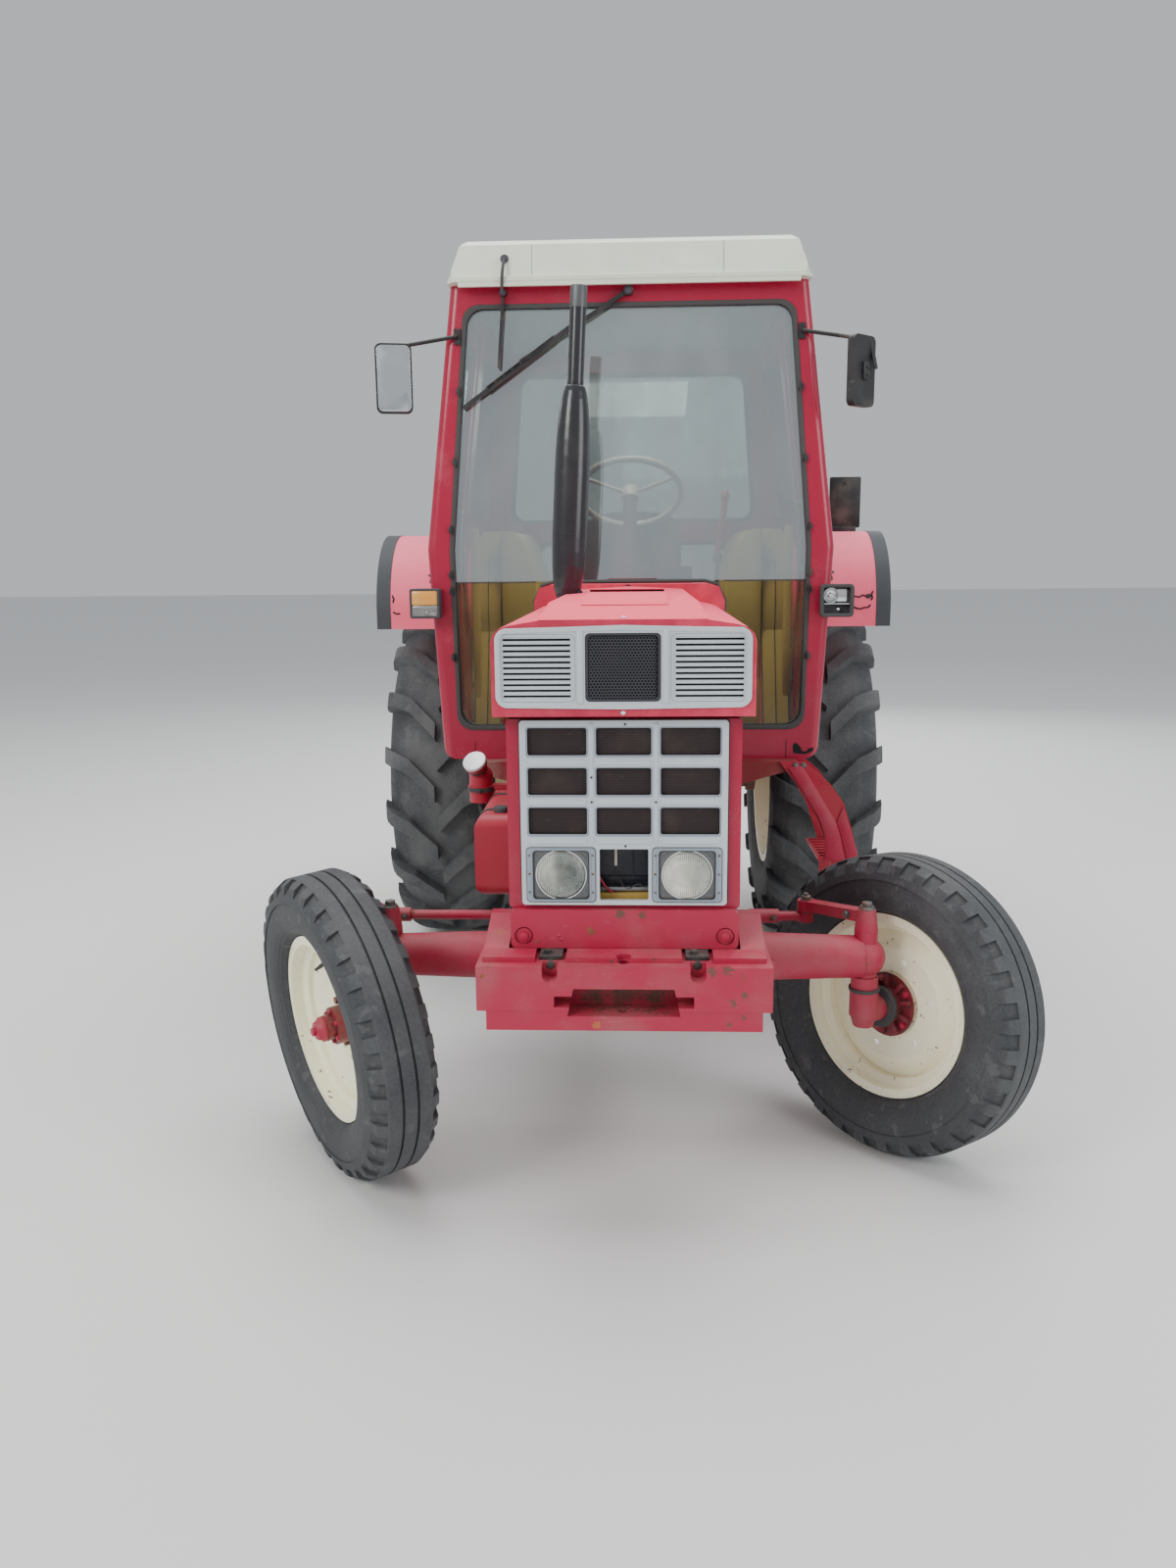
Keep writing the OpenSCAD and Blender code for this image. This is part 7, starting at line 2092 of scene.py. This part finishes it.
@dataclass(frozen=True)
class Works:
    """Engine, driveline and rear linkage fittings.

    Attributes:
        engine_front: front of the engine from the front axle line.
    """

    engine_front: float = 0.180

    def engine(self) -> None:
        """Builds belts, pulleys, pipes, hoses and bolts."""
        belt = Form()
        y = AXLE_Y + self.engine_front - 0.030
        for centre, radius in (((0.0, 0.850), 0.078), ((0.0, 1.130), 0.046), ((0.196, 1.064), 0.036)):
            at = Matrix.Translation((centre[0], y, centre[1])) @ TO_FRONT
            belt.turned(
                [
                    (radius, -0.012), (radius + 0.006, -0.012), (radius + 0.001, 0.0),
                    (radius + 0.006, 0.012), (radius, 0.012),
                ],
                at, 40,
            )
        belt.done("pulleys", IRON, Slot.IRON)
        run = Form()
        path = [
            (0.076, 0.835), (0.083, 0.870), (0.238, 1.050), (0.236, 1.090), (0.200, 1.106), (0.020, 1.181),
            (-0.020, 1.180), (-0.050, 1.150), (-0.083, 0.870), (-0.070, 0.800), (0.0, 0.766), (0.060, 0.790),
        ]
        run.tube([(x, y, z) for x, z in path], 0.0065, closed=True, sides=2)
        run.done("fan_belt", BLACK_RUBBER, Slot.RUBBER)
        pipes = Form()
        for index in range(4):
            back = 0.345 + index * 0.160
            pipes.tube([
                ahead(0.190 + 0.006 * index, 0.600 + index * 0.012, 1.060), ahead(0.215, 0.560, 1.150),
                ahead(0.150, back, 1.215), ahead(0.128, back, 1.222),
            ], 0.0038, sides=3)
            pipes.rod(ahead(0.118, back, 1.222), ahead(0.134, back, 1.222), 0.009, sides=6)
        pipes.done("fuel_pipes", STEEL, Slot.STEEL)
        bolts = Form()
        for index in range(6):
            back = 0.240 + index * 0.124
            for side in (-1, 1):
                bolts.bolt(ahead(side * 0.100, back, 1.272), (0, 0, 1), 0.011)
                bolts.bolt(ahead(side * 0.140, back, 0.720), (side, 0, 0), 0.009)
        for y_bolt, z_bolt in ((0.240, 1.000), (0.240, 0.860), (0.860, 1.000), (0.860, 0.860)):
            for side in (-1, 1):
                bolts.bolt(
                    ahead(side * (0.150 if z_bolt < 0.96 else 0.146), y_bolt, z_bolt), (side, 0, 0), 0.012
                )
        bolts.done("engine_bolts", IRON, Slot.IRON)
        hose = Form()
        hose.tube([
            ahead(0.0, -0.024, 1.330), ahead(0.0, 0.060, 1.335), ahead(0.0, 0.130, 1.330),
            ahead(0.0, 0.215, 1.300),
        ], 0.022)
        hose.tube([
            ahead(0.190, -0.024, 0.930), ahead(0.190, 0.060, 0.920), ahead(0.170, 0.130, 0.900),
            ahead(0.140, 0.185, 0.900),
        ], 0.022)
        hose.done("radiator_hoses", BLACK_RUBBER, Slot.RUBBER)
        grips = Form()
        for x, back, z in ((0.0, -0.010, 1.330), (0.0, 0.195, 1.309), (0.190, -0.010, 0.930)):
            grips.turned(
                [(0.0225, -0.006), (0.0240, -0.006), (0.0240, 0.006), (0.0225, 0.006)],
                Matrix.Translation(ahead(x, back, z)) @ TO_FRONT, 32,
            )
        grips.done("hose_clamps", STEEL, Slot.STEEL)

    def rear(self) -> None:
        """Builds the shaft's guard and splines, couplings and linkage pins."""
        back = REAR_Y + 0.260
        guard = Form()
        outer = [
            (-0.125, 0.580), (-0.125, 0.700), (-0.085, 0.760), (0.085, 0.760), (0.125, 0.700), (0.125, 0.580)
        ]
        inner = [
            (-0.121, 0.580), (-0.121, 0.698), (-0.083, 0.756), (0.083, 0.756), (0.121, 0.698), (0.121, 0.580)
        ]
        guard.plate(
            [Vector(p) for p in outer] + [Vector(p) for p in reversed(inner)], Plane.XZ, back + 0.0005,
            back + 0.095, 0.0
        )
        for low, high in ((-0.150, -0.120), (0.120, 0.150)):
            guard.box((low, back + 0.0005, 0.700), (high, back + 0.004, 0.760), 0.001)
        guard.done("shaft_guard", RED, Slot.RED)
        splines = Form()
        for point in around(6, 0.0172, 0.0):
            a = Vector((point.y, back + 0.034, 0.660 + point.z))
            splines.rod(a, a + Vector((0, 0.074, 0)), 0.0032, sides=8)
        splines.done("shaft_splines", STEEL, Slot.STEEL)
        valves, caps = Form(), Form()
        for x in (-0.150, -0.110, 0.110, 0.150):
            valves.rod((x, back - 0.030, 0.960), (x, back + 0.030, 0.960), 0.016, sides=20, bevel=0.002)
            valves.rod((x, back + 0.028, 0.960), (x, back + 0.048, 0.960), 0.012, sides=6, bevel=0.001)
            caps.rod((x, back + 0.047, 0.960), (x, back + 0.060, 0.960), 0.015, sides=24, bevel=0.003)
        valves.done("oil_couplings", ZINC, Slot.STEEL)
        caps.done("coupling_caps", RED_PLASTIC, Slot.PALE)
        pins = Form()
        turn = joint("lift")["pos_m"]
        for side in (-1, 1):
            pins.rod(
                (side * 0.2925, turn[1], turn[2]), (side * 0.299, turn[1], turn[2]), 0.021, sides=24,
                bevel=0.001,
            )
            pins.rod(
                (side * 0.296, turn[1], turn[2] - 0.026), (side * 0.296, turn[1], turn[2] + 0.026), 0.0028,
                sides=8
            )
            top = joint("lift_arm_turn")["pos_m"]
            pins.bolt((side * 0.300, top[1], top[2]), (side, 0, 0), 0.020)
        pins.done("linkage_pins", ZINC, Slot.STEEL)
        bolts = Form()
        for index in range(5):
            angle = math.pi * (0.15 + 0.175 * index)
            for side in (-1, 1):
                at = Vector(
                    (side * 0.550, REAR_Y + 0.096 * math.cos(angle), REAR_Z + 0.096 * math.sin(angle))
                )
                bolts.bolt(at, (-side, 0, 0), 0.011)
        for x in (-0.180, -0.060, 0.060, 0.180):
            for z in (0.905, 0.620):
                bolts.bolt((x, back, z), (0, 1, 0), 0.010)
        bolts.done("housing_bolts", IRON, Slot.IRON)

    def build(self) -> None:
        """Dresses the works and adds their fittings."""
        dress(GREASY_RED, "engine", "transmission")
        dress(IRON, "engine_top", "drawbar")
        dress(RED, "lower_links", "lift_arms", "lift_rods", "top_link")
        self.engine()
        self.rear()


@dataclass(frozen=True)
class Interior:
    """Seat, trim, levers and gauges seen through the glass.

    Attributes:
        deck: height of the raised deck.
        seat_y: middle of the seat from the front axle line.
    """

    deck: float = 1.290
    seat_y: float = 2.040

    def pad(self, low: Point, high: Point, name: str, place: Matrix | None = None) -> bpy.types.Object:
        """Builds one padded cushion with crowned faces and pulled-in sides.

        Args:
            low: lowest corner.
            high: highest corner.
            name: the piece's name.
            place: a further placement.

        Returns:
            The object.
        """
        shape = bmesh.new()
        bmesh.ops.create_cube(shape, size=1.0)
        bmesh.ops.subdivide_edges(shape, edges=shape.edges[:], cuts=7, use_grid_fill=True)
        for vert in shape.verts:
            x, y, z = (2 * c for c in vert.co)
            crown = (1 - x * x) * (1 - y * y)
            pull = 0.94 + 0.06 * (1 - abs(z) ** 3)
            squeeze = 0.80 + 0.20 * crown ** 0.4 if abs(z) > 0.9 else 1.0
            vert.co = Vector((x * pull, y * pull, z * squeeze)) / 2
        fill_box(shape, low, high)
        made = Form().take(shape, place).done(name, SEAT_VINYL, Slot.SEAT, angle=60.0)
        smooth = made.modifiers.new("smooth", "SUBSURF")
        smooth.levels = smooth.render_levels = 2
        return made

    def seat(self) -> None:
        """Builds the cushion and the backrest in place of the plain seat."""
        y = AXLE_Y + self.seat_y
        cushion = self.pad(
            (-0.238, y - 0.198, self.deck + 0.1505), (0.238, y + 0.230, self.deck + 0.252), "seat_cushion"
        )
        lean = tilted((0, y + 0.245, self.deck + 0.250), -8.1, "X")
        self.pad((-0.228, -0.040, 0.004), (0.228, 0.040, 0.484), "seat_back", lean)
        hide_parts("seat")

    def trim(self) -> None:
        """Builds the tan covers of the cab's inner walls and wheel arches, with their seams."""
        covers = Form()
        consoles = [
            (0.400, 1.295), (0.5472, 1.295), (0.5472, 1.915), (0.485, 1.915), (0.448, 1.868), (0.395, 1.704)
        ]
        for side in (-1, 1):
            covers.plate(
                [(side * x, z) for x, z in consoles], Plane.XZ, AXLE_Y + 1.668, AXLE_Y + 2.440, 0.012
            )
            low, high = sorted((side * 0.402, side * 0.5470))
            covers.box((low, AXLE_Y + 1.672, 1.0700), (high, AXLE_Y + 2.045, 1.300), 0.006)
            low, high = sorted((side * 0.633, side * 0.664))
            covers.box((low, AXLE_Y + 1.596, 1.140), (high, AXLE_Y + 1.640, 1.930), 0.006)
        covers.done("wall_covers", TAN_VINYL, Slot.RED)
        arch = Form()
        turns = [math.radians(193.4 - 103.4 * index / 12) for index in range(13)]
        outer = [(1.546, 1.084), (1.686, 1.490)] + [
            (ARCH_Y + 0.346 * math.cos(t), ARCH_Z + 0.346 * math.sin(t)) for t in turns
        ]
        inner = [(1.557, 1.084), (1.695, 1.494)] + [
            (ARCH_Y + 0.336 * math.cos(t), ARCH_Z + 0.336 * math.sin(t)) for t in turns
        ]
        run = outer + [(2.440, 1.926), (2.440, 1.916)] + inner[::-1]
        seam = Form()
        for side in (-1, 1):
            low, high = sorted((side * 0.5485, side * 0.6600))
            arch.plate([(AXLE_Y + y, z) for y, z in run], Plane.YZ, low, high)
            for x in (0.5500, 0.6060, 0.6585):
                seam.tube(
                    [ahead(side * x, y - 0.001, z) for y, z in outer[:9]], 0.0024, smooth=False, sides=2
                )
        arch.done("arch_covers", TAN_VINYL, Slot.RED)
        seam.done("cover_seams", SEAT_VINYL, Slot.SEAT)

    def controls(self) -> None:
        """Builds the gauges, levers, pedals and the wheel's cap."""
        gauges = Form()
        tilt = tilted(ahead(0.0, 1.158, 1.706), -42.0, "X")
        gauges.box((-0.160, -0.030, -0.003), (0.160, 0.075, 0.010), 0.004, tilt)
        gauges.done("gauge_panel", BLACK_PLASTIC, Slot.PLASTIC)
        dials = Form()
        for x, radius in ((-0.095, 0.030), (0.0, 0.040), (0.095, 0.030)):
            dials.rod((x, 0.024, 0.009), (x, 0.024, 0.013), radius, sides=36, bevel=0.001, place=tilt)
        dials.done("gauge_dials", PALE_PLASTIC, Slot.PALE)
        levers = Form()
        knobs = Form()
        for start, bend, end in (
            (ahead(0.150, 1.560, 1.068), ahead(0.150, 1.540, 1.420), ahead(0.120, 1.500, 1.640)),
            (ahead(0.240, 1.640, 1.068), ahead(0.240, 1.620, 1.340), ahead(0.230, 1.600, 1.520)),
            (ahead(-0.330, 1.780, 1.068), ahead(-0.330, 1.760, 1.300), ahead(-0.340, 1.700, 1.560)),
            (ahead(0.340, 1.500, 1.068), ahead(0.340, 1.430, 1.560), ahead(0.345, 1.400, 1.800)),
        ):
            levers.tube([start, bend, end], 0.008)
            knobs.ball(end, 0.019, (1, 1, 1.25))
        levers.done("levers", BLACK_PAINT, Slot.DARK)
        knobs.done("lever_knobs", BLACK_PLASTIC, Slot.PLASTIC)
        red = Form()
        red.tube([ahead(0.345, 1.402, 1.815), ahead(0.356, 1.398, 1.900), ahead(0.372, 1.400, 2.030)], 0.013)
        red.ball(ahead(0.372, 1.400, 2.036), 0.018, (1, 1, 1.3))
        red.done("red_lever", RED_PLASTIC, Slot.PALE)
        pedals = Form()
        for x in (-0.300, 0.250, 0.370):
            pedals.tube([ahead(x, 1.100, 1.300), ahead(x, 1.160, 1.250), ahead(x, 1.240, 1.220)], 0.009)
            pedals.box(
                (-0.034, -0.030, 0.0), (0.034, 0.030, 0.010), 0.003,
                tilted(ahead(x, 1.245, 1.220), -35.0, "X"),
            )
            pedals.tube([ahead(x, 1.100, 1.300), ahead(x, 1.075, 1.300)], 0.012, smooth=False)
        pedals.done("pedals", BLACK_PAINT, Slot.DARK)
        cap = Form()
        hub = Vector(joint("steering_wheel_turn")["pos_m"])
        axis = Vector(joint("steering_wheel_turn")["axis"])
        cap.turned(
            [(0.0, 0.0), (0.030, 0.0), (0.032, 0.003), (0.026, 0.010), (0.0, 0.013)],
            towards(hub + axis * 0.0162, hub + axis), 36,
        )
        cap.done("wheel_cap", BLACK_PLASTIC, Slot.PLASTIC, "steering_wheel_body")

    def build(self) -> None:
        """Dresses the cab's inside and adds its pieces."""
        dress(BLACK_PAINT, "seat_base")
        dress(BLACK_PLASTIC, "dashboard", "steering_column")
        dress(PALE_PLASTIC, "steering_wheel")
        dress(SEAT_VINYL, "seat")
        self.seat()
        self.trim()
        self.controls()


def main() -> None:
    """Builds the studio and every sub-assembly in order."""
    logging.basicConfig(level=logging.INFO, format="%(message)s")
    Studio().build()
    for side in (1, -1):
        FrontWheel(side).build()
        RearWheel(side).build()
    FrontSupport().build()
    Grille().build()
    Cab().build()
    Outfit().build()
    Works().build()
    Interior().build()


if __name__ == "__main__":
    main()
